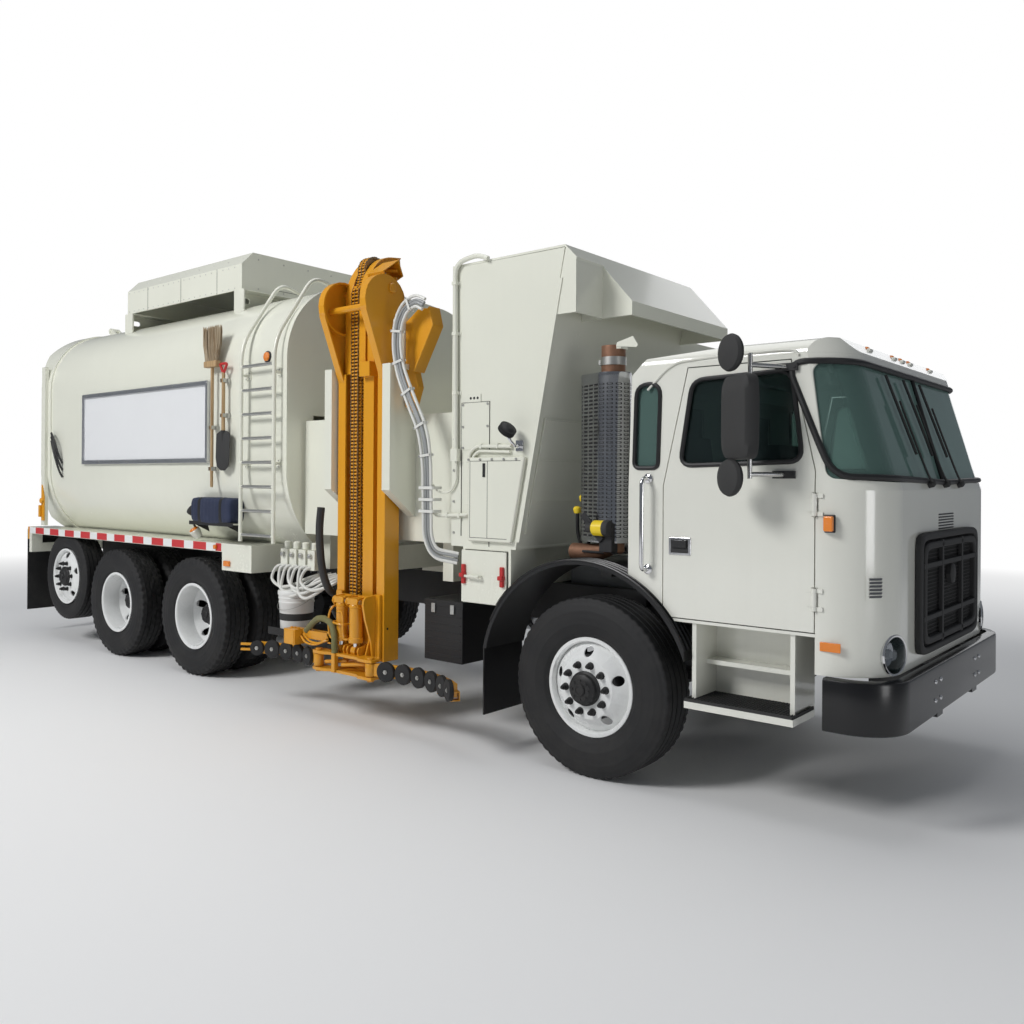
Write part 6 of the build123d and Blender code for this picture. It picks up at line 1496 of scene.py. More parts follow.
# ------------------------------------------------------------------ body
@dataclass
class Body(Assembly):
    """Hopper, drum and what is fixed to them."""

    wall: float = -1.2
    tools_y: float = -1.255

    def hopper(self) -> None:
        """Covers, conduit, work lamp and door latches on the hopper's right wall."""
        self.dress(Look.BODY, "hopper_shell", "hopper_hood", "hopper_door", "packer_blade")
        y = self.wall
        cover = Form().box((-1.028, y + 0.002, 1.975), (-0.782, y - 0.004, 2.292))
        self.piece("hopper_cover", cover, Look.BODY, 0.003)
        door = Form().plate([(-0.945, 1.372), (-0.58, 1.372), (-0.47, 1.925), (-0.945, 1.925)],
                            1, y + 0.002, y - 0.034)
        self.piece("hopper_side_box", door, Look.BODY, 0.012)
        seam = Form()
        for x0, x1, z0, z1 in ((-0.925, -0.61, 1.395, 1.398), (-0.925, -0.5, 1.898, 1.901),
                               (-0.925, -0.922, 1.395, 1.901), (-0.775, -0.772, 1.395, 1.901)):
            seam.box((x0, y - 0.03, z0), (x1, y - 0.0348, z1))
        self.piece("hopper_box_seams", seam, Look.SEAL)
        bolts = Form()
        spots = [(x, y - 0.004, z) for x in (-1.012, -0.798) for z in (1.99, 2.13, 2.277)]
        spots += [(-1.095, y, 1.42 + 0.21 * k) for k in range(9)]
        spots += [(-0.935 + 0.1 * k, y - 0.034, 1.91) for k in range(5)]
        bolts.spread(spots, (0, -1, 0), scaled(BOLT, 0.009))
        self.piece("hopper_bolts", bolts, Look.ZINC)
        pipe = Form()
        for points, r in (
                ([(-0.59, y - 0.016, 1.992), (-0.885, y - 0.016, 2.0), (-0.946, y - 0.016, 1.955),
                  (-0.946, y - 0.016, 1.545), (-1.235, y - 0.016, 1.53),
                  (-1.262, y - 0.03, 1.56)], 0.0125),
                ([(-0.6, y - 0.016, 1.958), (-0.865, y - 0.016, 1.968), (-0.912, y - 0.016, 1.93),
                  (-0.912, y - 0.016, 1.9)], 0.01),
                ([(-1.062, y - 0.016, 1.9), (-1.062, y - 0.016, 1.76), (-1.12, y - 0.016, 1.69),
                  (-1.22, y - 0.018, 1.69), (-1.262, y - 0.03, 1.74)], 0.0075)):
            pipe.tube(rounded_path(points, 0.035), r, 10)
        up = rounded_path([(-1.062, y - 0.02, 1.9), (-1.078, y - 0.02, 3.236),
                           (-0.88, y - 0.02, 3.262), (-0.79, y - 0.02, 3.225)], 0.09)
        pipe.tube(up, 0.0165, 14)
        self.piece("hopper_conduit", pipe, Look.BODY, angle=40)
        clips = Form()
        for z in (1.62, 1.76, 1.9):
            clips.box((-0.964, y, z - 0.008), (-0.928, y - 0.0305, z + 0.008))
        for x in (-1.14, -1.03, -0.84, -0.7):
            z = 1.536 if x < -1 else 1.998
            clips.box((x - 0.008, y, z - 0.017), (x + 0.008, y - 0.0305, z + 0.017))
        for z in (1.96, 2.36, 2.76, 3.1):
            x = -1.062 - 0.012 * (z - 1.9)
            clips.box((x - 0.034, y, z - 0.012), (x + 0.034, y - 0.004, z + 0.012))
            clips.box((x - 0.019, y - 0.002, z - 0.012), (x + 0.019, y - 0.039, z + 0.012))
        clips.box((-1.092, y, 1.9), (-1.034, y - 0.044, 1.985))
        self.piece("conduit_clips", clips, Look.BODY, 0.002)
        plate = Form().box((-0.972, y, 2.292), (-0.858, y - 0.006, 2.345))
        plate.plate([(-0.238, 3.02), (-0.205, 3.02), (-0.53, 1.38), (-0.563, 1.38)], 1,
                    y, y - 0.007)
        self.piece("hopper_plates", plate, Look.BODY, 0.001)
        dark = Form()
        for x in (-0.945, -0.915, -0.885):
            dark.lathe([(0.0095, 0.0), (0.008, 0.0008), (0.0001, 0.001)], (x, y - 0.006, 2.319),
                       (0, -1, 0), 16)
        for x0, x1, z0, z1 in ((-1.029, -0.782, 2.2895, 2.2925), (-1.029, -1.0265, 1.4, 2.292),
                               (-0.7845, -0.782, 1.96, 2.292), (-0.7845, -0.782, 1.34, 1.378)):
            dark.box((x0, y, z0), (x1, y - 0.0046, z1))
        # A dark strip on the side box: painted shade inside its slot.
        dark.box((-0.812, y - 0.034, 1.795), (-0.792, y - 0.038, 1.885))
        self.piece("hopper_lines", dark, Look.SEAL)
        head = unit(np.array([-0.62, 0.1, -0.6]))
        spot = np.array([-0.56, y - 0.105, 2.085])
        case = Form().lathe([(0.0001, -0.05), (0.03, -0.046), (0.046, -0.03), (0.052, -0.008),
                             (0.052, 0.004)], spot, head, 32)
        for k in range(5):
            case.lathe([(0.05, -0.03 + 0.008 * k), (0.058, -0.03 + 0.008 * k),
                        (0.058, -0.027 + 0.008 * k), (0.05, -0.027 + 0.008 * k)], spot, head,
                       32)
        self.piece("hopper_work_lamp", case, Look.PLASTIC)
        lens = Form().lathe([(0.047, 0.0042), (0.0001, 0.008)], spot, head, 28)
        self.piece("hopper_work_lens", lens, Look.CLEAR_LENS)
        arm = Form().box((-0.56, y, 1.96), (-0.5, y - 0.01, 2.03))
        arm.tube(smooth_path([(-0.53, y - 0.008, 1.995), (-0.52, y - 0.06, 1.99),
                              (-0.535, y - 0.1, 2.03), (-0.552, y - 0.104, 2.07)], 6),
                 0.011, 10)
        self.piece("hopper_lamp_arm", arm, Look.CHROME, 0.002)
        face = Form()
        for z, tall in ((2.16, 0.01), (1.9, 0.01), (1.64, 0.05)):
            x = -0.56 + 0.368 * (z - 1.35) / 1.856
            face.box((x, -1.12, z), (x + 0.009, -0.42, z + tall))
        for yy in (-1.13, -0.42):
            face.plate([(-0.39, 2.17), (-0.381, 2.17), (-0.536, 1.43), (-0.545, 1.43)], 1,
                       yy, yy + 0.012)
        self.piece("hopper_face_bars", face, Look.BODY)
        latch = Form()
        for x in (-0.985, -0.655):
            latch.box((x - 0.014, y - 0.012, 1.085), (x + 0.014, y - 0.034, 1.215))
            latch.box((x - 0.02, y - 0.012, 1.13), (x + 0.02, y - 0.05, 1.158))
        self.piece("hopper_door_latches", latch, Look.RED_PLASTIC, 0.005, body="hopper_door")

    def boards(self) -> None:
        """Blank faces in the sign frames, their rails and screws."""
        self.dress(Look.ALUMINIUM, "sign_boards")
        for side, sign in SIDES.items():
            face = Form().box((-6.305, sign * 1.2125, 1.955), (-4.055, sign * 1.215, 2.605))
            self.piece(f"board_face_{side}", face, Look.BOARD)
            lips = Form()
            for z0, z1 in ((1.917, 1.925), (2.635, 2.643), (1.95, 1.957), (2.603, 2.61)):
                lips.box((-6.343, sign * 1.222, z0), (-4.017, sign * 1.231, z1))
            for x0, x1 in ((-6.343, -6.335), (-4.025, -4.017)):
                lips.box((x0, sign * 1.222, 1.917), (x1, sign * 1.231, 2.643))
            self.piece(f"board_rails_{side}", lips, Look.ALUMINIUM, 0.002)
            spots = [(-6.27 + 0.279 * k, sign * 1.226, z) for k in range(9) for z in (1.937, 2.623)]
            screws = Form().spread(spots, (0, sign, 0), scaled(DOME, 0.006), 10)
            self.piece(f"board_screws_{side}", screws, Look.ZINC)

    def cover(self) -> None:
        """Seams and bolt rows on the roof housing."""
        self.dress(Look.BODY, "roof_box")
        x0, x1, half, low, high = -6.025, -3.985, 0.9, 3.5, 3.735
        seams, bolts = Form(), Form()
        for side, sign in SIDES.items():
            for x in (-5.62, -5.0, -4.38):
                seams.box((x - 0.002, sign * (half - 0.002), low), (x + 0.002,
                          sign * (half + 0.0015), high))
            spots = [(x0 + 0.04 + 0.0945 * k, sign * half, z) for k in range(21)
                     for z in (low + 0.022, high - 0.022)]
            bolts.spread(spots, (0, sign, 0), scaled(DOME, 0.0065), 8)
            cap = np.array([(0, sign * 0.78, 3.855), (0, sign * 0.9, 3.735)])
            edge = cap.mean(0)
            bolts.spread([(x0 + 0.06 + 0.24 * k, edge[1], edge[2]) for k in range(9)],
                         (0, sign, 1), scaled(DOME, 0.0065), 8)
        seams.box((x1 - 0.001, -0.55, 3.545), (x1 + 0.0012, 0.55, 3.549))
        front = [(x1, -0.72 + 0.288 * k, z) for k in range(6) for z in (3.53, 3.8)]
        bolts.spread(front, (1, 0, 0), scaled(DOME, 0.0075), 8)
        self.piece("roof_box_seams", seams, Look.SEAL)
        self.piece("roof_box_bolts", bolts, Look.ZINC)

    def ladder(self) -> None:
        """Round rails with bent tops, ribbed rungs and their stand-offs."""
        y = -1.275
        form, grip = Form(), Form()
        for x in (-3.44, -2.99):
            path = rounded_path([(x, y, 1.252), (x, y, 2.9), (x, -0.88, 3.48),
                                 (x, -0.64, 3.412)], 0.16, 10)
            form.tube(path, 0.017, 14)
            for z in (1.9, 2.64):
                form.tube(np.array([(x, y, z), (x, -1.202, z)]), 0.012, 10)
                form.box((x - 0.035, -1.2, z - 0.035), (x + 0.035, -1.208, z + 0.035))
                grip.spread([(x + dx, -1.208, z + dz) for dx in (-0.024, 0.024)
                             for dz in (-0.024, 0.024)], (0, -1, 0), scaled(BOLT, 0.006))
        for k in range(8):
            z = 1.31 + 0.2 * k
            form.tube(np.array([(-3.44, y, z), (-2.99, y, z)]), 0.013, 12)
            grip.tube(np.array([(-3.41 + 0.02 * j, y, z) for j in range(21)]),
                      0.0135 + 0.0012 * (np.arange(21) % 2), 12)
        self.piece("ladder_tubes", form, Look.BODY, stands_for=["ladder"])
        self.piece("ladder_grips", grip, Look.ZINC)

    def tools(self) -> None:
        """Broom and shovel in their clips."""
        y, x = self.tools_y, -3.9
        wood = Form().tube(np.array([(x, y, 1.7), (x, y, 1.712), (x, y, 2.3), (x, y, 2.765)]),
                           [0.01, 0.0135, 0.014, 0.015], 14)
        self.piece("broom_handle", wood, Look.WOOD, stands_for=["yard_tools"])
        block = Form().box((x - 0.095, y - 0.03, 2.745), (x + 0.095, y + 0.026, 2.8))
        self.piece("broom_block", block, Look.WOOD, 0.008)
        rng = np.random.default_rng(11)
        hair = Form()
        for k in range(260):
            foot = np.array([x + rng.uniform(-0.085, 0.085), y + rng.uniform(-0.022, 0.018), 2.798])
            lean = np.array([(foot[0] - x) * 0.45 + rng.normal(0, 0.008),
                             rng.normal(0.004, 0.008), rng.uniform(0.27, 0.31)])
            hair.tube(np.array([foot, foot + lean * (0.9, 0.6, 0.5), foot + lean]),
                      [0.0022, 0.0026, 0.002], 4)
        self.piece("broom_bristles", hair, Look.BRISTLE)
        x = -3.73
        shaft = Form().tube(np.array([(x, y, 2.12), (x, y, 2.4), (x, y, 2.69)]),
                            [0.017, 0.0155, 0.015], 14)
        self.piece("shovel_shaft", shaft, Look.WOOD)
        grip = Form().tube(rounded_path([(x, y, 2.68), (x - 0.018, y, 2.705),
                                         (x - 0.052, y, 2.765), (x + 0.052, y, 2.765),
                                         (x + 0.018, y, 2.705), (x, y, 2.68)], 0.018), 0.0115, 10)
        self.piece("shovel_grip", grip, Look.RED_PLASTIC)
        u = np.linspace(-1, 1, 13)
        rows = []
        for z, half, dish in ((2.185, 0.055, 0.0), (2.16, 0.1, 0.012), (1.96, 0.102, 0.022),
                              (1.88, 0.085, 0.02), (1.845, 0.03, 0.012)):
            back = np.stack([x + u * half, y + 0.006 + dish * (u ** 2) * 0.6 - dish, u * 0 + z], -1)
            rows.append(np.concatenate([back, back[::-1] + (0, -0.0035, 0)]))
        blade = Form().grid(np.array(rows)[::-1], True, True)
        blade.tube(np.array([(x, y, 2.05), (x, y - 0.002, 2.19)]), [0.012, 0.021], 12)
        self.piece("shovel_blade", blade, Look.PLASTIC)
        clips = Form()
        for cx, z in ((-3.9, 2.22), (-3.9, 1.86), (-3.73, 2.32), (-3.73, 2.62)):
            clips.box((cx - 0.032, y + 0.02, z - 0.018), (cx + 0.032, -1.2005, z + 0.018))
            clips.box((cx - 0.025, y - 0.02, z - 0.016), (cx - 0.018, y + 0.024, z + 0.016))
            clips.box((cx + 0.018, y - 0.02, z - 0.016), (cx + 0.025, y + 0.024, z + 0.016))
        self.piece("tool_clips", clips, Look.ZINC, 0.002)

    def bag(self) -> None:
        """The soft bag: a slack filled form that sags between its two straps.

        The section is a superellipse |y|^4.8 + |z|^4.8 = 1. Its size swells between the straps
        and its underside hangs lower there, and folds run off them.
        """
        along = np.linspace(0, 1, 73)
        u = circle(56)
        strap = np.exp(-((along[:, None] - np.array([0.24, 0.76])) / 0.035) ** 2).sum(1)
        swell = 1 - 0.05 * strap + 0.03 * np.sin(along * np.pi)
        end = np.clip(1 - np.abs(2 * along - 1) ** 22, 0, 1) ** 0.3
        cu, su = np.cos(u), np.sin(u)
        y = np.sign(cu) * np.abs(cu) ** 0.42
        z = np.sign(su) * np.abs(su) ** 0.42
        fold = 0.012 * np.sin(9 * u[None] + 14 * along[:, None]) * (0.35 + strap[:, None])
        fold = fold + 0.006 * np.sin(23 * along[:, None] * np.pi + 2 * np.cos(u)[None])
        size = (swell * end)[:, None] * (1 + fold)
        sag = 0.02 * np.sin(along * np.pi * 2 - np.pi / 2)[:, None] * (su < 0)[None]
        points = np.stack([-4.19 + 0.62 * along[:, None] + 0 * size,
                           -1.211 + 0.08 * size * y[None],
                           1.496 + 0.112 * size * z[None] - sag * 0.3], -1)
        form = Form().grid(points, True, True)
        bag = self.piece("tool_bag_cloth", form, Look.BAG, angle=80, stands_for=["tool_bag"])
        band = Form()
        for share in (0.24, 0.76):
            x = -4.19 + 0.62 * share
            ring = np.stack([0 * u, -1.211 + 0.0775 * y, 1.496 + 0.1085 * z], -1)
            rows = [ring + (x + dx, 0, 0) for dx in (-0.019, 0.019)]
            outer = [np.stack([r[:, 0], -1.205 + (r[:, 1] + 1.205) * 1.04,
                               1.492 + (r[:, 2] - 1.492) * 1.04], -1) for r in rows]
            band.grid(np.array([rows[0], outer[0], outer[1], rows[1], rows[0]]), True)
            band.box((x - 0.024, -1.285, 1.478), (x + 0.024, -1.276, 1.51))
        self.piece("tool_bag_straps", band, Look.FLAP)
        shelf = Form().box((-4.215, -1.275, 1.366), (-3.545, -1.18, 1.374))
        shelf.box((-4.215, -1.279, 1.366), (-3.545, -1.275, 1.4))
        for x in (-4.12, -3.64):
            shelf.plate([(-1.27, 1.367), (-1.15, 1.367), (-1.13, 1.3)], 0, x - 0.004, x + 0.004)
        self.piece("tool_bag_shelf", shelf, Look.CHASSIS, 0.001)

    def drum(self) -> None:
        """Side lamps, the deck's tape, tail lamps, latches and the tailgate's hoses."""
        self.dress(Look.BODY, "drum_shell", "tailgate", "rear_deck")
        self.dress(Look.FLAP, "rear_flaps")
        lamp = Form().lathe([(0.048, 0), (0.048, 0.01), (0.042, 0.016)], (-3.18, -1.196, 2.784),
                            (0, -1, 0.05), 28)
        self.piece("side_lamp_ring", lamp, Look.SEAL)
        lens = Form().lathe([(0.041, 0.01), (0.036, 0.024), (0.02, 0.031), (0.0001, 0.033)],
                            (-3.18, -1.196, 2.784), (0, -1, 0.05), 28)
        self.piece("side_lamp_lens", lens, Look.AMBER)
        arm = Form().tube(smooth_path([(-4.235, -1.19, 1.33), (-4.215, -1.225, 1.36),
                                       (-4.175, -1.24, 1.4), (-4.19, -1.245, 1.455)], 7),
                          0.01, 10)
        self.piece("drum_lamp_arm", arm, Look.CHASSIS)
        spot = np.array([-4.215, -1.246, 1.5])
        ball = Form().lathe([(0.0001, -0.056), (0.03, -0.05), (0.05, -0.03), (0.056, -0.004),
                             (0.056, 0.008), (0.05, 0.01)], spot, unit(np.array([-0.5, -0.2,
                                                                                0.4])), 36)
        self.piece("drum_work_lamp", ball, Look.PLASTIC)
        cone = Form().lathe([(0.046, 0.0), (0.05, 0.004), (0.05, 0.03), (0.034, 0.08),
                             (0.02, 0.09), (0.0001, 0.091)], (-4.205, -1.235, 1.318),
                            unit(np.array([0.1, 0.55, -0.75])), 32)
        self.piece("drum_alarm", cone, Look.BODY)
        amber = Form().lathe([(0.0001, 0.014), (0.03, 0.01), (0.043, 0.0)],
                             (-4.205, -1.237, 1.321), unit(np.array([-0.1, -0.55, 0.75])), 28)
        self.piece("drum_marker", amber, Look.AMBER)
        for side, sign in SIDES.items():
            tape = Form().box((-7.6, sign * 1.22, 1.144), (-3.8, sign * 1.2212, 1.212))
            self.piece(f"deck_tape_{side}", tape, Look.TAPE)
            mark = Form().box((-3.9, sign * 1.2212, 1.16), (-3.86, sign * 1.24, 1.197))
            self.piece(f"deck_marker_{side}", mark, Look.AMBER, 0.005)
            low = Form().box((-3.745, sign * 1.22, 1.02), (-3.66, sign * 1.24, 1.068))
            self.piece(f"box_marker_{side}", low, Look.AMBER, 0.006)
            end = Form().box((-7.641, sign * 1.2205, 1.075), (-7.603, sign * 1.15, 1.2155))
            self.piece(f"deck_end_{side}", end, Look.ARM, 0.002)
            lens, rings = Form(), Form()
            for y in (0.76, 1.0):
                lens.lathe([(0.047, 0), (0.047, 0.012), (0.038, 0.018), (0.0001, 0.02)],
                           (-7.6515, sign * y, 1.12), (-1, 0, 0), 32)
                rings.lathe([(0.056, 0), (0.056, 0.007), (0.047, 0.012), (0.047, 0.0)],
                            (-7.6505, sign * y, 1.12), (-1, 0, 0), 32)
            self.piece(f"tail_lamps_{side}", lens, Look.RED)
            self.piece(f"tail_lamp_rings_{side}", rings, Look.SEAL)
            strip = Form().box((-7.655, sign * 0.655, 1.15), (-7.648, sign * 1.205, 1.18))
            strip.spread([(-7.655, sign * (0.7 + 0.115 * k), 1.165) for k in range(5)],
                         (-1, 0, 0), scaled(BOLT, 0.009))
            self.piece(f"flap_strip_{side}", strip, Look.ZINC)
            latch = Form().plate([(-7.215, 1.3), (-7.155, 1.3), (-7.155, 1.56),
                                  (-7.215, 1.7)], 1, sign * 1.246, sign * 1.262)
            latch.box((-7.235, sign * 1.246, 1.34), (-7.195, sign * 1.285, 1.47))
            latch.lathe([(0.03, 0), (0.03, 0.02), (0.018, 0.026), (0.0001, 0.026)],
                        (-7.185, sign * 1.262, 1.52), (0, sign, 0), 20)
            self.piece(f"tail_latch_{side}", latch, Look.ARM, 0.004, body="tailgate")
            hoses = Form()
            for k in range(3):
                top = 2.23 - 0.045 * k
                hoses.tube(smooth_path([(-7.06, sign * 1.215, top), (-7.0, sign * 1.25, top + 0.03),
                                        (-6.9, sign * 1.262, top - 0.06 - 0.03 * k),
                                        (-6.84, sign * 1.24, top - 0.22 - 0.03 * k),
                                        (-6.83, sign * 1.206, top - 0.3 - 0.03 * k)], 8),
                           0.011, 8)
            self.piece(f"tailgate_hoses_{side}", hoses, Look.HOSE)

    def build(self) -> None:
        """Adds every body piece."""
        for work in (self.hopper, self.boards, self.cover, self.ladder, self.tools, self.bag,
                     self.drum):
            work()


# ------------------------------------------------------------------ lift arm
@dataclass
class Gripper(Assembly):
    """One bent gripper arm with its rubber discs; way is +1 forward and -1 rearward.

    The arm is an arc. Its heading turns evenly with the length s from `lean` degrees inwards at
    the pin to `flare` degrees outwards at the tip, so with k radians a metre the place is
    x = (sin a0 - sin a) / k and y = (cos a - cos a0) / k.
    """

    node: str
    way: int
    length: float
    discs: Sequence[float]
    lean: float
    flare: float

    def at(self, s: Array | float) -> tuple[Array, Array, Array]:
        """Places on the arc.

        Args:
            s: lengths from the pin.
        Returns:
            The centre line, the heading and the outward normal there.
        """
        a0 = math.radians(self.lean)
        k = math.radians(self.lean + self.flare) / self.length
        a = a0 - k * np.asarray(s, float)
        spot = np.stack([-1.975 + self.way * (0.28 + (math.sin(a0) - np.sin(a)) / k),
                         -1.4 + (np.cos(a) - math.cos(a0)) / k, 0 * a + 0.44], -1)
        head = np.stack([self.way * np.cos(a), np.sin(a), 0 * a], -1)
        side = np.stack([self.way * np.sin(a), -np.cos(a), 0 * a], -1)
        return spot, head, side

    def sweep(self, form: Form, s: Array, section: Sequence[tuple]) -> None:
        """Adds a bar that follows the arc.

        Args:
            form: the form it goes to.
            s: lengths from the pin.
            section: its (side, height) corners.
        """
        spot, _, side = self.at(s)
        rows = [spot + side * a + np.array([0, 0, b]) for a, b in section]
        form.grid(np.array(rows).transpose(1, 0, 2), True, True)

    def build(self) -> None:
        """Adds the arm, its tip, the discs and their bolts."""
        arm = Form()
        stop = self.length - (0.02 if self.way > 0 else 0.13)
        self.sweep(arm, np.linspace(0.03, stop, 22),
                   [(-0.018, -0.041), (-0.014, -0.045), (0.014, -0.045), (0.018, -0.041),
                    (0.018, 0.041), (0.014, 0.045), (-0.014, 0.045), (-0.018, 0.041)])
        arm.lathe([(0.019, -0.045), (0.036, -0.045), (0.038, -0.042), (0.038, 0.042),
                   (0.036, 0.045), (0.019, 0.045), (0.019, -0.045)], self.at(0.0)[0], (0, 0, 1),
                  32, False)
        if self.way > 0:
            ends = np.linspace(self.length - 0.055, self.length, 3)
            half, bore = 0.03, 0.024
            spot, _, side = self.at(ends)
            spot = spot - (0, 0, 0.034)
            loop = [(-1, -1), (1, -1), (1, 1), (-1, 1)]
            rows = [[spot[k] + side[k] * a * w + np.array([0, 0, b * w]) for a, b in loop]
                    for k, w in ((0, half), (1, half), (2, half), (2, bore), (1, bore),
                                 (0, bore), (0, half))]
            arm.grid(np.array(rows), True)
            self.sweep(arm, np.linspace(self.length - 0.3, self.length - 0.16, 5),
                       [(-0.004, -0.08), (0.006, -0.08), (0.006, -0.04), (-0.004, -0.04)])
        else:
            for z in (-0.02, 0.022):
                self.sweep(arm, np.linspace(stop - 0.05, self.length, 8),
                           [(-0.009, z - 0.009), (0.009, z - 0.009), (0.009, z + 0.009),
                            (-0.009, z + 0.009)])
        self.piece(f"{self.node}_arm", arm, Look.ARM, angle=35, body=self.node,
                   stands_for=[self.node])
        rubber, steel = Form(), Form()
        for s in self.discs:
            spot, _, side = self.at(s)
            face = spot + side * 0.0182
            big = 0.058 if self.way < 0 and s > 0.7 else 0.07
            rubber.lathe([(0.0001, 0.0), (big - 0.004, 0.0), (big, 0.005), (big, 0.027),
                          (big - 0.003, 0.031), (big - 0.012, 0.0325), (0.022, 0.0315),
                          (0.02, 0.028), (0.0001, 0.028)], face, side, 40)
            steel.lathe([(0.0165, 0.0275), (0.0165, 0.0315), (0.009, 0.032), (0.009, 0.037),
                         (0.0001, 0.0375)], face, side, 6)
        self.piece(f"{self.node}_discs", rubber, Look.TYRE, angle=35, body=self.node,
                   slot="black_rubber")
        self.piece(f"{self.node}_disc_bolts", steel, Look.ZINC, body=self.node)


@dataclass
class Arm(Assembly):
    """Mast, chain, carriage and gripper details, in the axle frame."""

    x0: float = -2.23
    x1: float = -1.72
    front: float = -1.25
    z_foot: float = 0.47

    def links(self, spots: Array, rollers: Form, plates: Form) -> None:
        """Adds a double-strand chain.

        Args:
            spots: its evenly spaced pins; a gap of over 50 mm is left open.
            rollers: the form for the rollers.
            plates: the form for the waisted side plates.
        """
        ahead = np.roll(spots, -1, axis=0)
        for k, (a, b) in enumerate(zip(spots, ahead)):
            span = float(np.linalg.norm(b - a))
            if span > 0.05:
                continue
            along = (b - a) / span
            across = np.cross(along, (1, 0, 0))
            for lo, hi in ((-0.032, -0.004), (0.004, 0.032)):
                rollers.tube(np.array([a + (lo, 0, 0), a + (hi, 0, 0)]), 0.0076, 8)
            shape = [(-0.3, 0.0), (-0.12, 0.0085), (0.28, 0.0085), (0.5, 0.0065),
                     (0.72, 0.0085), (1.12, 0.0085), (1.3, 0.0)]
            shape += [(t, -w) for t, w in shape[5:0:-1]]
            ring = np.array([a + along * t * span + across * w for t, w in shape])
            for x in ((-0.0385, 0.0, 0.0385) if k % 2 else (-0.0345, -0.003, 0.0345)):
                plates.grid(np.stack([ring + (x - 0.0017, 0, 0), ring + (x + 0.0017, 0, 0)]),
                            True, True)

    def chain(self) -> None:
        """Main chain round its two sprockets, and the short one over the head."""
        x, y, low, high, r, pitch = -2.072, -1.188, 0.62, 3.17, 0.039, 0.0254
        straight, turn = high - low, math.pi * r
        total = 2 * (straight + turn)
        at = np.linspace(0, total, int(total / pitch) // 2 * 2, endpoint=False)
        a1 = np.clip((at - straight) / r, 0, math.pi)
        a2 = np.clip((at - 2 * straight - turn) / r, 0, math.pi)
        z = np.where(at < straight, low + at, np.where(at < straight + turn, high + r
                     * np.sin(a1), np.where(at < 2 * straight + turn, high - (at - straight
                     - turn), low - r * np.sin(a2))))
        yy = np.where(at < straight + turn, y - r * np.cos(a1), y + r * np.cos(a2))
        rollers, plates = Form(), Form()
        self.links(np.stack([at * 0 + x, yy, z], -1), rollers, plates)
        turn = np.linspace(-0.25, math.pi + 0.2, 18)
        top = np.stack([0 * turn + x, -1.06 - 0.105 * np.cos(turn),
                        3.345 + 0.105 * np.sin(turn)], -1)
        rise = np.stack([np.full(5, x), np.linspace(-1.188, top[0, 1], 6)[:-1],
                         np.linspace(3.215, top[0, 2], 6)[:-1]], -1)
        self.links(np.vstack([rise, top]), rollers, plates)
        self.piece("chain_rollers", rollers, Look.ARM, body="mast", slot="chain_steel",
                   stands_for=["lift_chain"])
        self.piece("chain_plates", plates, Look.CHAIN, body="mast")
        wheel = Form().lathe([(0.0001, -0.03), (0.094, -0.03), (0.094, 0.03),
                              (0.0001, 0.03)], (x, -1.06, 3.345), (1, 0, 0), 40, False)
        wheel.lathe([(0.0001, -0.095), (0.02, -0.095), (0.02, 0.095), (0.0001, 0.095)],
                    (x, -1.06, 3.345), (1, 0, 0), 20, False)
        self.piece("top_sprocket", wheel, Look.CHAIN, body="mast")

    def crown(self) -> None:
        """The curved rail tops, the beam's open end, the head's caps and the rib's collar."""
        form = Form()
        path = rounded_path([(0, -1.178, 2.56), (0, -1.178, 3.215), (0, -1.055, 3.4),
                             (0, -0.86, 3.425)], 0.1, 8)
        for left, right in ((-2.172, -2.124), (-2.018, -1.972)):
            rows = []
            head = unit(np.gradient(path, axis=0))
            out = np.stack([0 * head[:, 0], head[:, 2], -head[:, 1]], -1)
            for x, side in ((left, -0.046), (right, -0.046), (right, 0.046), (left, 0.046)):
                rows.append(path + out * side + (x, 0, 0))
            form.grid(np.array(rows).transpose(1, 0, 2), True, True)
            edge = [(left - 0.012, -0.05), (right + 0.012, -0.05), (right + 0.012, -0.04),
                    (left - 0.012, -0.04)]
            rows = [path + out * b + (a, 0, 0) for a, b in edge]
            form.grid(np.array(rows).transpose(1, 0, 2), True, True)
        form.box((-2.165, -0.925, 3.388), (-1.985, -0.87, 3.44))
        tilt = math.radians(38)
        c, s = math.cos(tilt), math.sin(tilt)
        square = np.array([(-1, -1), (1, -1), (1, 1), (-1, 1)])

        def ring(x: float, half: float) -> Array:
            """Turned square of a half width at an x along the crown."""
            a, b = square[:, 0] * half, square[:, 1] * half * 0.82
            return np.stack([0 * a + x + 0.3 * (a * s + b * c), -1.105 + a * c - b * s,
                             3.29 + a * s + b * c], -1)

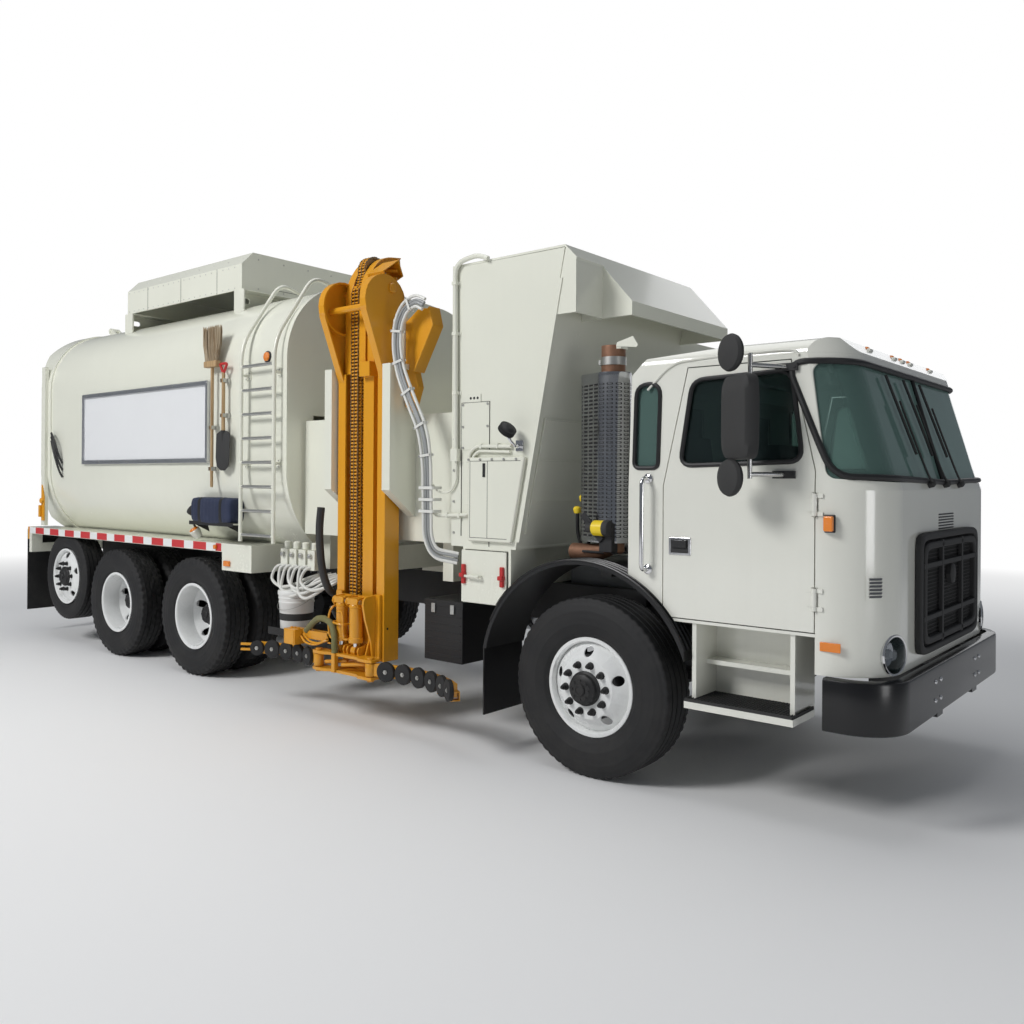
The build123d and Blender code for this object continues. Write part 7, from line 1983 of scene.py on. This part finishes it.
        form.grid(np.array([ring(-1.965, 0.082), ring(-1.795, 0.082), ring(-1.795, 0.07),
                            ring(-1.95, 0.07), ring(-1.965, 0.082)]), True)
        for z in (3.262, 3.318):
            form.tube(np.array([(-1.93, -1.15, z), (-1.8, -1.062, z)]), 0.012, 10)
        form.box((-1.99, -1.262, 2.53), (-1.878, -1.15, 2.64))
        form.box((-1.965, -1.19, 2.6), (-1.905, -1.13, 3.25))
        form.box((self.x0 + 0.02, self.front - 0.012, self.z_foot), (self.x1 - 0.02,
                 self.front, self.z_foot + 0.11))
        self.piece("mast_crown", form, Look.ARM, 0.004, body="mast")
        pins, holes = Form(), Form()
        x = self.x1 + 0.0005
        pins.lathe([(0.036, 0), (0.036, 0.01), (0.03, 0.016), (0.016, 0.018),
                    (0.0001, 0.018)], (x, -1.19, 3.16), (1, 0, 0), 24)
        # Dark discs on the rail: painted shade inside its holes.
        for y, z in ((-1.17, 2.79), (-1.18, 2.54), (-1.215, 0.7)):
            holes.lathe([(0.009, 0.0006), (0.0001, 0.0008)], (x, y, z), (1, 0, 0), 16)
        self.piece("mast_pins", pins, Look.ARM, body="mast")
        self.piece("mast_holes", holes, Look.SEAL, body="mast")
        foot = [(x, self.front - 0.012, self.z_foot + dz) for x in (-2.19, -2.13, -1.82, -1.76)
                for dz in (0.03, 0.08)]
        self.piece("mast_foot_bolts", Form().spread(foot, (0, -1, 0), scaled(BOLT, 0.011)),
                   Look.ARM, body="mast")

    def carriage(self) -> None:
        """Back plate, shelves, two cylinders with their ears and pipes, and the side bracket."""
        x, back = -1.975, -1.256
        form = Form().box((-2.15, back - 0.024, 0.49), (-1.765, back, 0.925))
        form.box((x - 0.15, back - 0.024, 0.37), (x + 0.15, back, 0.492))
        for gx in (-2.21, -1.8):
            for z in (0.51, 0.87):
                form.box((gx, -1.2572, z), (gx + 0.06, -1.2502, z + 0.07))
            form.box((gx, back - 0.02, 0.49), (gx + 0.06, back, 0.945))
        for z in (0.491, 0.369):
            form.plate([(x - 0.29, -1.442), (x - 0.318, -1.43), (x - 0.325, -1.4),
                        (x - 0.318, -1.35), (x - 0.29, -1.332), (x - 0.165, -1.332),
                        (x - 0.15, back), (x + 0.15, back), (x + 0.165, -1.332),
                        (x + 0.29, -1.332), (x + 0.318, -1.35), (x + 0.325, -1.4),
                        (x + 0.318, -1.43), (x + 0.29, -1.442), (x + 0.19, -1.442),
                        (x + 0.15, -1.415), (x - 0.15, -1.415), (x - 0.19, -1.442)],
                       2, z, z + 0.02)
        form.box((x - 0.105, -1.432, 0.372), (x - 0.07, -1.396, 0.51))
        for a, b in (((-0.2, -1.405), (-0.02, -1.35)), ((-0.02, -1.405), (0.19, -1.35))):
            form.tube(np.array([(x + a[0], a[1], 0.432), (x + b[0], b[1], 0.455)]), 0.014, 10)
        for side in (-1, 1):
            form.lathe([(0.0001, 0.355), (0.026, 0.355), (0.026, 0.3685), (0.018, 0.3685),
                        (0.018, 0.5115), (0.026, 0.5115), (0.026, 0.524), (0.0001, 0.524)],
                       (x + side * 0.28, -1.4, 0), (0, 0, 1), 28, False)
            form.plate([(-1.332, 0.511), (-1.29, 0.511), (-1.28, 0.64), (-1.292, 0.64)],
                       0, x + side * 0.15 - 0.006, x + side * 0.15 + 0.006)
        rods, pins = Form(), Form()
        for cx, r in ((-2.065, 0.043), (-1.915, 0.047)):
            y = -1.343
            form.lathe([(0.0001, 0.596), (r + 0.005, 0.596), (r + 0.006, 0.602),
                        (r + 0.006, 0.628), (r, 0.634), (r, 0.846), (r + 0.003, 0.85),
                        (r + 0.003, 0.866), (r - 0.004, 0.876), (0.0001, 0.878)], (cx, y, 0),
                       (0, 0, 1), 36)
            rods.lathe([(0.0001, 0.53), (0.019, 0.53), (0.019, 0.597), (0.0001, 0.598)],
                       (cx, y, 0), (0, 0, 1), 24)
            form.lathe([(0.0001, -0.022), (0.034, -0.022), (0.034, 0.022), (0.0001, 0.022)],
                       (cx, y, 0.536), (1, 0, 0), 24)
            for ear in (-1, 1):
                ex = cx + ear * (r + 0.01)
                form.plate([(back, 0.82), (-1.335, 0.838), (-1.376, 0.858), (-1.392, 0.884),
                            (-1.386, 0.908), (-1.366, 0.922), (back, 0.925)], 0, ex - 0.006,
                           ex + 0.006)
                form.plate([(back, 0.51), (-1.372, 0.51), (-1.38, 0.54), (-1.368, 0.566),
                            (-1.33, 0.572), (back, 0.6)], 0, ex - 0.006, ex + 0.006)
                pins.lathe([(0.017, 0), (0.017, 0.007), (0.011, 0.01), (0.0001, 0.01)],
                           (ex + ear * 0.006, -1.36, 0.89), (ear, 0, 0), 16)
            form.box((cx - r - 0.01, -1.386, 0.874), (cx + r + 0.01, back, 0.918))
        form.plate([(back, 0.5), (-1.3, 0.5), (-1.312, 0.6), (-1.372, 0.78),
                    (-1.392, 0.88), (-1.386, 0.915), (-1.364, 0.934), (back, 0.945)],
                   0, -1.8, -1.782)
        for points in ([(-2.13, -1.3, 0.84), (-2.135, -1.375, 0.836), (-2.158, -1.392, 0.76),
                        (-2.15, -1.392, 0.64), (-2.115, -1.395, 0.612), (-2.078, -1.392, 0.618)],
                       [(-2.065, -1.386, 0.815), (-2.04, -1.402, 0.812), (-1.995, -1.405, 0.8),
                        (-1.985, -1.405, 0.66), (-1.975, -1.4, 0.62), (-1.95, -1.388, 0.618)],
                       [(-2.15, -1.3, 0.72), (-2.16, -1.372, 0.722), (-2.09, -1.4, 0.726),
                        (-2.01, -1.402, 0.722), (-1.99, -1.33, 0.72)]):
            form.tube(smooth_path(points, 7), 0.0085, 8)
        form.box((-2.5, -1.38, 0.572), (-2.15, -1.318, 0.634))
        form.box((-2.19, -1.38, 0.56), (-2.15, back - 0.02, 0.646))
        form.box((-2.606, -1.455, 0.524), (-2.476, -1.345, 0.638))
        form.box((-2.596, -1.459, 0.534), (-2.486, -1.455, 0.628))
        for points in ([(-2.47, -1.4, 0.585), (-2.4, -1.41, 0.548), (-2.29, -1.415, 0.545),
                        (-2.2, -1.4, 0.575), (-2.17, -1.37, 0.59)],
                       [(-2.47, -1.38, 0.6), (-2.36, -1.402, 0.56), (-2.24, -1.408, 0.562),
                        (-2.17, -1.385, 0.61)]):
            form.tube(smooth_path(points, 7), 0.008, 8)
        form.spread([(px, -1.4, 0.638) for px in (-2.58, -2.54, -2.5)], (0, 0, 1),
                    scaled(BOLT, 0.012))
        self.piece("carriage_frame", form, Look.ARM, angle=35, body="carriage",
                   stands_for=["carriage"])
        self.piece("carriage_rods", rods, Look.CHROME, body="carriage")
        self.piece("carriage_pins", pins, Look.ZINC, body="carriage")
        sleeve = smooth_path([(-2.44, -1.372, 0.625), (-2.39, -1.376, 0.668),
                              (-2.3, -1.384, 0.728), (-2.21, -1.392, 0.742),
                              (-2.12, -1.402, 0.715), (-2.075, -1.41, 0.64),
                              (-2.068, -1.412, 0.56), (-2.068, -1.41, 0.513)], 8)
        count = np.arange(len(sleeve))
        girth = 0.0235 * (1 + 0.05 * np.sin(count * 1.9) + 0.04 * np.sin(count * 0.8 + 1))
        self.piece("carriage_sleeve", Form().tube(sleeve, girth, 20), Look.OLIVE_HOSE,
                   body="carriage")

    def lines(self) -> None:
        """Hose bundle over the second lever and down the hopper's corner, with its clips."""
        way = rounded_path([(-1.33, -1.262, 2.985), (-1.4, -1.268, 3.02),
                            (-1.5, -1.272, 2.985), (-1.566, -1.274, 2.88),
                            (-1.585, -1.274, 2.72), (-1.548, -1.274, 2.54),
                            (-1.44, -1.272, 2.325), (-1.32, -1.27, 2.115),
                            (-1.283, -1.268, 1.9), (-1.278, -1.262, 1.38),
                            (-1.23, -1.245, 1.27), (-1.06, -1.19, 1.245)], 0.1, 8)
        head = unit(np.gradient(way, axis=0))
        side = np.stack([head[:, 2], 0 * head[:, 0], -head[:, 0]], -1)
        for k, look in enumerate((Look.WHITE_HOSE, Look.GREY_HOSE, Look.GREY_HOSE,
                                  Look.WHITE_HOSE)):
            off = 0.0245 * (k - 1.5)
            wave = 0.004 * np.sin(np.linspace(0, 9 + k, len(way)) + 2 * k)
            path = way + side * (off + wave)[:, None] + np.array([0, -0.004 * (k % 2), 0])
            self.piece(f"lift_line_{k}", Form().tube(path, 0.0115, 10), look, slot="trim_grey")
        clips, nuts = Form(), Form()
        for share in (0.13, 0.3, 0.42, 0.53, 0.63, 0.73):
            k = int(share * (len(way) - 1))
            p, a, b = way[k], side[k], head[k]
            ring = [p + a * s * 0.056 + b * t for s, t in ((-1, -0.009), (1, -0.009),
                                                          (1, 0.009), (-1, 0.009))]
            for y0, y1 in ((-0.02, -0.0155), (0.0135, 0.018)):
                clips.grid(np.array([[q + (0, y0, 0) for q in ring],
                                     [q + (0, y1, 0) for q in ring]]), True, True)
            nuts.spread([p + (0, -0.02, 0) + a * s * 0.05 for s in (-1, 1)], (0, -1, 0),
                        scaled(BOLT, 0.006))
        for z in (1.56, 1.64, 1.72):
            clips.box((-1.345, -1.2875, z - 0.01), (-1.215, -1.2835, z + 0.01))
            clips.box((-1.35, -1.284, z - 0.01), (-1.345, -1.2, z + 0.01))
            clips.box((-1.215, -1.284, z - 0.01), (-1.21, -1.2, z + 0.01))
        self.piece("line_clips", clips, Look.WHITE_HOSE, 0.001)
        self.piece("line_nuts", nuts, Look.ZINC)

    def lever(self) -> None:
        """The second yellow lever beside the front post, and the bar that holds it."""
        form = Form().plate([(-1.345, 2.975), (-1.318, 2.85), (-1.5, 2.54), (-1.47, 2.43),
                             (-1.535, 2.25), (-1.6, 2.3), (-1.612, 2.64),
                             (-1.6, 2.9), (-1.47, 2.985)], 1, -1.11, -1.17)
        form.plate([(-1.345, 2.985), (-1.308, 2.85), (-1.322, 2.842), (-1.362, 2.972)], 1,
                   -1.085, -1.195)
        form.plate([(-1.308, 2.85), (-1.49, 2.535), (-1.502, 2.543), (-1.322, 2.856)], 1,
                   -1.085, -1.195)
        self.piece("side_lever", form, Look.ARM, 0.004)
        bar = Form().box((-1.66, -1.2, 2.56), (-1.56, -1.11, 2.6))
        bar.box((-1.66, -1.19, 2.59), (-1.6, -1.12, 2.94))
        bar.tube(np.array([(-1.64, -1.23, 2.9), (-1.56, -1.23, 2.9)]), 0.028, 16)
        self.piece("lever_bracket", bar, Look.BODY, 0.004)

    def valves(self) -> None:
        """Valve blocks and pale hoses behind the mast's foot, and the thick black hose."""
        block, caps = Form(), Form()
        for k in range(4):
            x = -3.04 + 0.115 * k
            block.box((x, -1.165, 1.05), (x + 0.09, -1.075, 1.21))
            block.lathe([(0.03, 0), (0.03, 0.05), (0.022, 0.06), (0.0001, 0.06)],
                        (x + 0.045, -1.12, 1.21), (0, 0, 1), 16)
            caps.lathe([(0.02, 0), (0.02, 0.022), (0.012, 0.03), (0.0001, 0.03)],
                       (x + 0.045, -1.165, 1.165), (0, -1, 0), 16)
        self.piece("valve_blocks", block, Look.BODY, 0.006)
        self.piece("valve_caps", caps, Look.ZINC)
        pale = Form()
        for k in range(7):
            x, drop = -3.06 + 0.062 * k, 0.035 * (k % 3)
            pale.tube(smooth_path([(x + 0.04, -1.15, 1.08), (x, -1.195, 1.05),
                                   (x - 0.02 + 0.03 * (k % 2), -1.215, 0.96 - drop),
                                   (x + 0.09, -1.21, 0.905 - drop),
                                   (x + 0.22, -1.18, 0.93 - drop / 2),
                                   (x + 0.33, -1.12, 0.985), (x + 0.4, -1.0, 1.02)], 7),
                      0.0125, 8)
        self.piece("valve_hoses", pale, Look.WHITE_HOSE)
        thick = smooth_path([(-2.41, -1.262, 1.56), (-2.412, -1.275, 1.4),
                             (-2.395, -1.28, 1.22), (-2.372, -1.27, 1.06),
                             (-2.35, -1.225, 0.93), (-2.33, -1.12, 0.87)], 9)
        self.piece("reach_hose", Form().tube(thick, 0.03, 16), Look.HOSE)

    def build(self) -> None:
        """Adds every arm piece."""
        self.dress(Look.ARM, "mast")
        self.dress(Look.BODY, "arm_base")
        for work in (self.chain, self.crown, self.carriage, self.lines, self.lever, self.valves):
            work()
        for grip in (Gripper(self.frame, "gripper_front", 1, 0.93, (0.145, 0.3, 0.452, 0.604, 0.756,
                                                         0.893), 22, 34),
                     Gripper(self.frame, "gripper_rear", -1, 0.9, (0.15, 0.3, 0.45, 0.6, 0.745),
                             24, 36)):
            grip.build()


# ------------------------------------------------------------------ chassis
@dataclass
class Chassis(Assembly):
    """Stack, tanks, pail and frame finishes."""

    def skin(self, share: Array | float, out: float) -> Array:
        """Plan points of the heat shield at shares of its length, offset outwards.

        The plan is the hull of a large circle about the pipe and a small one at its rear.

        Args:
            share: shares of the plan's length, any number of turns.
            out: the offset.
        Returns:
            The (x, y) points.
        """
        big, small, span = 0.1065, 0.04, 0.181
        tip = math.acos((big - small) / span)
        flat = math.sqrt(span ** 2 - (big - small) ** 2)
        arcs = np.array([2 * (math.pi - tip) * big, flat, 2 * tip * small, flat])
        s = np.mod(np.atleast_1d(share), 1.0) * arcs.sum()
        stops = np.concatenate([[0], np.cumsum(arcs)])
        a = -(math.pi - tip) + np.clip(s, 0, stops[1]) / big
        a = a + np.clip(s - stops[2], 0, arcs[2]) / small
        move = np.where(s > stops[2], 1.0, np.clip((s - stops[1]) / flat, 0, 1))
        move = np.where(s > stops[3], 1 - np.clip((s - stops[3]) / flat, 0, 1), move)
        r = big + (small - big) * move + out
        return np.stack([0.035 - span * move + r * np.cos(a), -1.0 + r * np.sin(a)], -1)

    def wrap(self, section: Sequence[tuple]) -> tuple[Array, list]:
        """The shield's shell.

        Args:
            section: closed (z, out) section, carried round the plan.
        Returns:
            Its vertices and faces.
        """
        share = np.linspace(0, 1, 96, endpoint=False)
        rows = [np.column_stack([self.skin(share, off), np.full(len(share), z)])
                for z, off in section]
        form = Form().grid(np.array(rows), True)
        return np.vstack(form.verts), form.faces

    def stack(self) -> None:
        """Exhaust stack: pipe, slotted shield, clamp, flap and the post behind it."""
        x, y = 0.035, -1.0
        pipe = Form().lathe([(0.06, 1.33), (0.074, 1.345), (0.074, 2.6), (0.07, 2.6),
                             (0.07, 2.36), (0.0001, 2.355)], (x, y, 0), (0, 0, 1), 40)
        elbow = smooth_path([(x - 0.3, y + 0.02, 1.33), (x - 0.2, y + 0.01, 1.33),
                             (x - 0.09, y, 1.34), (x - 0.02, y, 1.372), (x, y, 1.43)], 8)
        pipe.tube(elbow, 0.052, 20)
        self.piece("stack_pipe", pipe, Look.RUST, stands_for=["exhaust"])
        shield = Form().add(*self.wrap([(1.4, 0), (1.4, 0.004), (1.418, 0.0055),
                                        (1.424, 0.004), (2.41, 0.004), (2.416, 0.0055),
                                        (2.434, 0.004), (2.434, 0), (2.434, -0.004),
                                        (1.4, -0.004), (1.4, 0)]))
        self.piece("stack_shield", shield, Look.SHIELD, angle=40)
        # Dark ovals on the shield: painted shade inside its slots.
        slots = Form()
        t = circle(12)
        wide, tall = 0.0205 * np.clip(np.cos(t) * 1.6, -1, 1), 0.0062 * np.clip(np.sin(t) * 1.3,
                                                                               -1, 1)
        for row in range(40):
            for k in range(16):
                place = self.skin((k + 0.5) / 16 + wide / 0.92, 0.0048)
                slots.add(np.column_stack([place, 1.44 + row * 0.0236 + tall]), [tuple(range(12))])
        self.piece("stack_slots", slots, Look.SEAL)
        clamp = Form().lathe([(0.0745, 2.48), (0.079, 2.48), (0.079, 2.53), (0.0745, 2.53)],
                             (x, y, 0), (0, 0, 1), 40, False)
        clamp.box((x - 0.1, y - 0.014, 2.49), (x - 0.074, y + 0.014, 2.52))
        clamp.spread([(x - 0.087, y - 0.014, 2.505)], (0, -1, 0), scaled(BOLT, 0.009))
        self.piece("stack_clamp", clamp, Look.ZINC, 0.001)
        flap = Form().plate([(x + 0.055, 2.588), (x + 0.06, 2.612), (x + 0.17, 2.64),
                             (x + 0.205, 2.585), (x + 0.195, 2.572)], 1, y - 0.06, y - 0.052)
        flap.box((x + 0.05, y - 0.052, 2.575), (x + 0.085, y + 0.03, 2.605))
        self.piece("stack_flap", flap, Look.BODY, 0.001, slot="stainless")
        post = Form().box((x - 0.04, y + 0.06, 1.328), (x + 0.06, -0.7, 1.368))
        post.box((x - 0.04, -0.7, 1.328), (x + 0.06, -0.38, 1.368))
        post.box((x - 0.04, -0.438, 1.012), (x + 0.06, -0.38, 1.368))
        post.box((x - 0.185, y - 0.06, 1.33), (x + 0.06, y + 0.07, 1.345))
        post.box((x - 0.02, y - 0.12, 1.345), (x + 0.07, y - 0.05, 1.52))
        post.plate([(x - 0.15, 1.56), (x - 0.12, 1.585), (x + 0.02, 1.43),
                    (x - 0.01, 1.4)], 1, y - 0.135, y - 0.115)
        self.piece("stack_post", post, Look.CHASSIS, 0.004)
        can = Form().lathe([(0.0001, 0.0), (0.044, 0.0), (0.047, 0.004), (0.047, 0.075),
                            (0.0001, 0.075)], (x - 0.045, y - 0.135, 1.49), (1, 0, 0), 32,
                           False)
        self.piece("filter_can", can, Look.YELLOW_PLASTIC, angle=35)
        lid = Form().lathe([(0.0001, 0.0), (0.048, 0.0), (0.05, 0.006), (0.05, 0.032),
                            (0.046, 0.038), (0.0001, 0.038)], (x + 0.03, y - 0.135, 1.49),
                           (1, 0, 0), 32, False)
        lid.lathe([(0.0001, 0.0), (0.03, 0.0), (0.03, 0.05), (0.0001, 0.05)],
                  (x - 0.095, y - 0.135, 1.49), (1, 0, 0), 24, False)
        self.piece("filter_lid", lid, Look.PLASTIC, angle=35)
        sticks, caps = Form(), Form()
        for sx, sz, bend in ((-0.19, 1.65, 0.02), (-0.235, 1.575, -0.02)):
            sticks.tube(smooth_path([(sx, -0.93, 1.345), (sx + bend, -0.95, 1.45),
                                     (sx, -0.985, sz)], 6), 0.012, 10)
            caps.lathe([(0.021, 0), (0.024, 0.012), (0.024, 0.03), (0.014, 0.04),
                        (0.0001, 0.041)], (sx, -0.985, sz - 0.002), (0, -0.2, 1), 20)
        self.piece("filler_tubes", sticks, Look.CHASSIS)
        self.piece("filler_caps", caps, Look.YELLOW_PLASTIC)

    def tanks(self) -> None:
        """Round fuel tank with straps and cap, battery box and the pail's shelf."""
        y, z, r = 0.79, 0.72, 0.283
        tank = Form().lathe([(0.0001, 0.0), (0.18, 0.002), (0.265, 0.012), (0.281, 0.028),
                             (r, 0.045), (r, 1.505), (0.281, 1.522), (0.265, 1.538),
                             (0.18, 1.548), (0.0001, 1.55)], (-3.05, y, z), (1, 0, 0), 56,
                            False)
        self.piece("fuel_tank", tank, Look.ALUMINIUM, stands_for=["tanks"])
        straps = Form()
        for x in (-2.8, -1.8):
            straps.lathe([(0.2835, -0.03), (0.292, -0.028), (0.292, 0.028), (0.2835, 0.03)],
                         (x, y, z), (1, 0, 0), 56, False)
            straps.box((x - 0.03, 0.4302, 0.775), (x + 0.03, 0.6, 0.965))
            straps.plate([(0.4302, 0.5), (0.475, 0.5), (0.6, 0.56), (0.56, 0.62),
                          (0.4302, 0.78)], 0, x - 0.03, x + 0.03)
        self.piece("tank_straps", straps, Look.CHASSIS, 0.002)
        cap = Form().lathe([(0.045, 0), (0.045, 0.03), (0.055, 0.032), (0.055, 0.052),
                            (0.046, 0.058), (0.0001, 0.058)], (-1.95, 0.88, 0.985),
                           (0, 0.32, 0.947), 28)
        self.piece("tank_cap", cap, Look.CHROME)
        # Battery box, lid and ribs in black: painted shade of the shadowed space under the hopper's
        # right side.
        box = Form().box((-1.48, -1.078, 0.502), (-1.12, -0.4302, 0.885))
        box.box((-1.484, -1.08, 0.885), (-1.116, -0.4302, 0.93))
        for k in range(6):
            box.box((-1.465, -1.0815, 0.54 + 0.055 * k), (-1.135, -1.07, 0.552 + 0.055 * k))
        box.box((-3.09, -1.245, 0.515), (-2.75, -0.4302, 0.535))
        box.box((-3.09, -1.2451, 0.515), (-2.75, -1.24, 0.575))
        box.box((-2.94, -0.49, 0.53), (-2.9, -0.4302, 0.9))
        self.piece("battery_box", box, Look.CHASSIS, 0.006)
        latch = Form()
        for x in (-1.39, -1.21):
            latch.box((x - 0.018, -1.0895, 0.84), (x + 0.018, -1.078, 0.905))
        self.piece("battery_latches", latch, Look.ZINC, 0.003)

    def pail(self) -> None:
        """Ribbed pail with its lid, ears and wire handle."""
        x, y, z = -2.92, -1.09, 0.5354
        wall = [(0.0001, 0.0), (0.12, 0.0), (0.127, 0.006)]
        wall += [(0.1275 + 0.018 * h / 0.32 + (0.0035 if rib else 0), h)
                 for h, rib in ((0.03, 0), (0.235, 0), (0.24, 1), (0.248, 1), (0.253, 0),
                                (0.268, 0), (0.273, 1), (0.281, 1), (0.286, 0), (0.3, 0))]
        wall += [(0.15, 0.304), (0.1515, 0.312), (0.1515, 0.33), (0.147, 0.338),
                 (0.138, 0.3395), (0.134, 0.333), (0.0001, 0.333)]
        form = Form().lathe(wall, (x, y, z), (0, 0, 1), 56, False)
        for sign in (-1, 1):
            form.lathe([(0.018, 0), (0.018, 0.008), (0.01, 0.012), (0.0001, 0.012)],
                       (x + sign * 0.142, y, z + 0.262), (sign, 0, 0), 16)
        self.piece("pail_plastic", form, Look.PAIL, stands_for=["pail"])
        band = Form().lathe([(0.1335, 0.1), (0.1338, 0.1), (0.1392, 0.222), (0.1389, 0.222)],
                            (x, y, z), (0, 0, 1), 56, False)
        self.piece("pail_band", band, Look.PLASTIC)
        turn = np.linspace(0, np.pi, 25)
        bail = np.stack([x - 0.156 * np.cos(turn), y - 0.15 * np.sin(turn) * 0.985 - 0.004,
                         z + 0.262 - 0.075 * np.sin(turn)], -1)
        self.piece("pail_wire", Form().tube(bail, 0.0022, 6), Look.ZINC)

    def rails(self) -> None:
        """Finishes and bolts of the frame and axles."""
        self.dress(Look.CHASSIS, "frame_rails", "front_axle", "rear_axles", "knuckle_left",
                  "knuckle_right")
        self.dress(Look.ENGINE, "engine")
        bolts = Form()
        for sign in (-1, 1):
            spots = [(x + dx, sign * 0.43, z) for x in (-1.25, -2.7, -3.5, -4.95, -6.2)
                     for dx in (-0.05, 0.05) for z in (0.78, 0.93)]
            bolts.spread(spots, (0, sign, 0), scaled(BOLT, 0.012))
        self.piece("frame_bolts", bolts, Look.ZINC)

    def build(self) -> None:
        """Adds every chassis piece."""
        for work in (self.stack, self.tanks, self.pail, self.rails):
            work()


def main() -> None:
    """Loads the frame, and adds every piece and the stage."""
    logging.basicConfig(level=logging.INFO, format="%(message)s")
    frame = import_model()
    stage = Stage()
    stage.camera()
    wheels(frame)
    for part in (Cab, Body, Arm, Chassis):
        part(frame).build()
    stage.light()
    stage.floor()


if __name__ == "__main__":
    main()
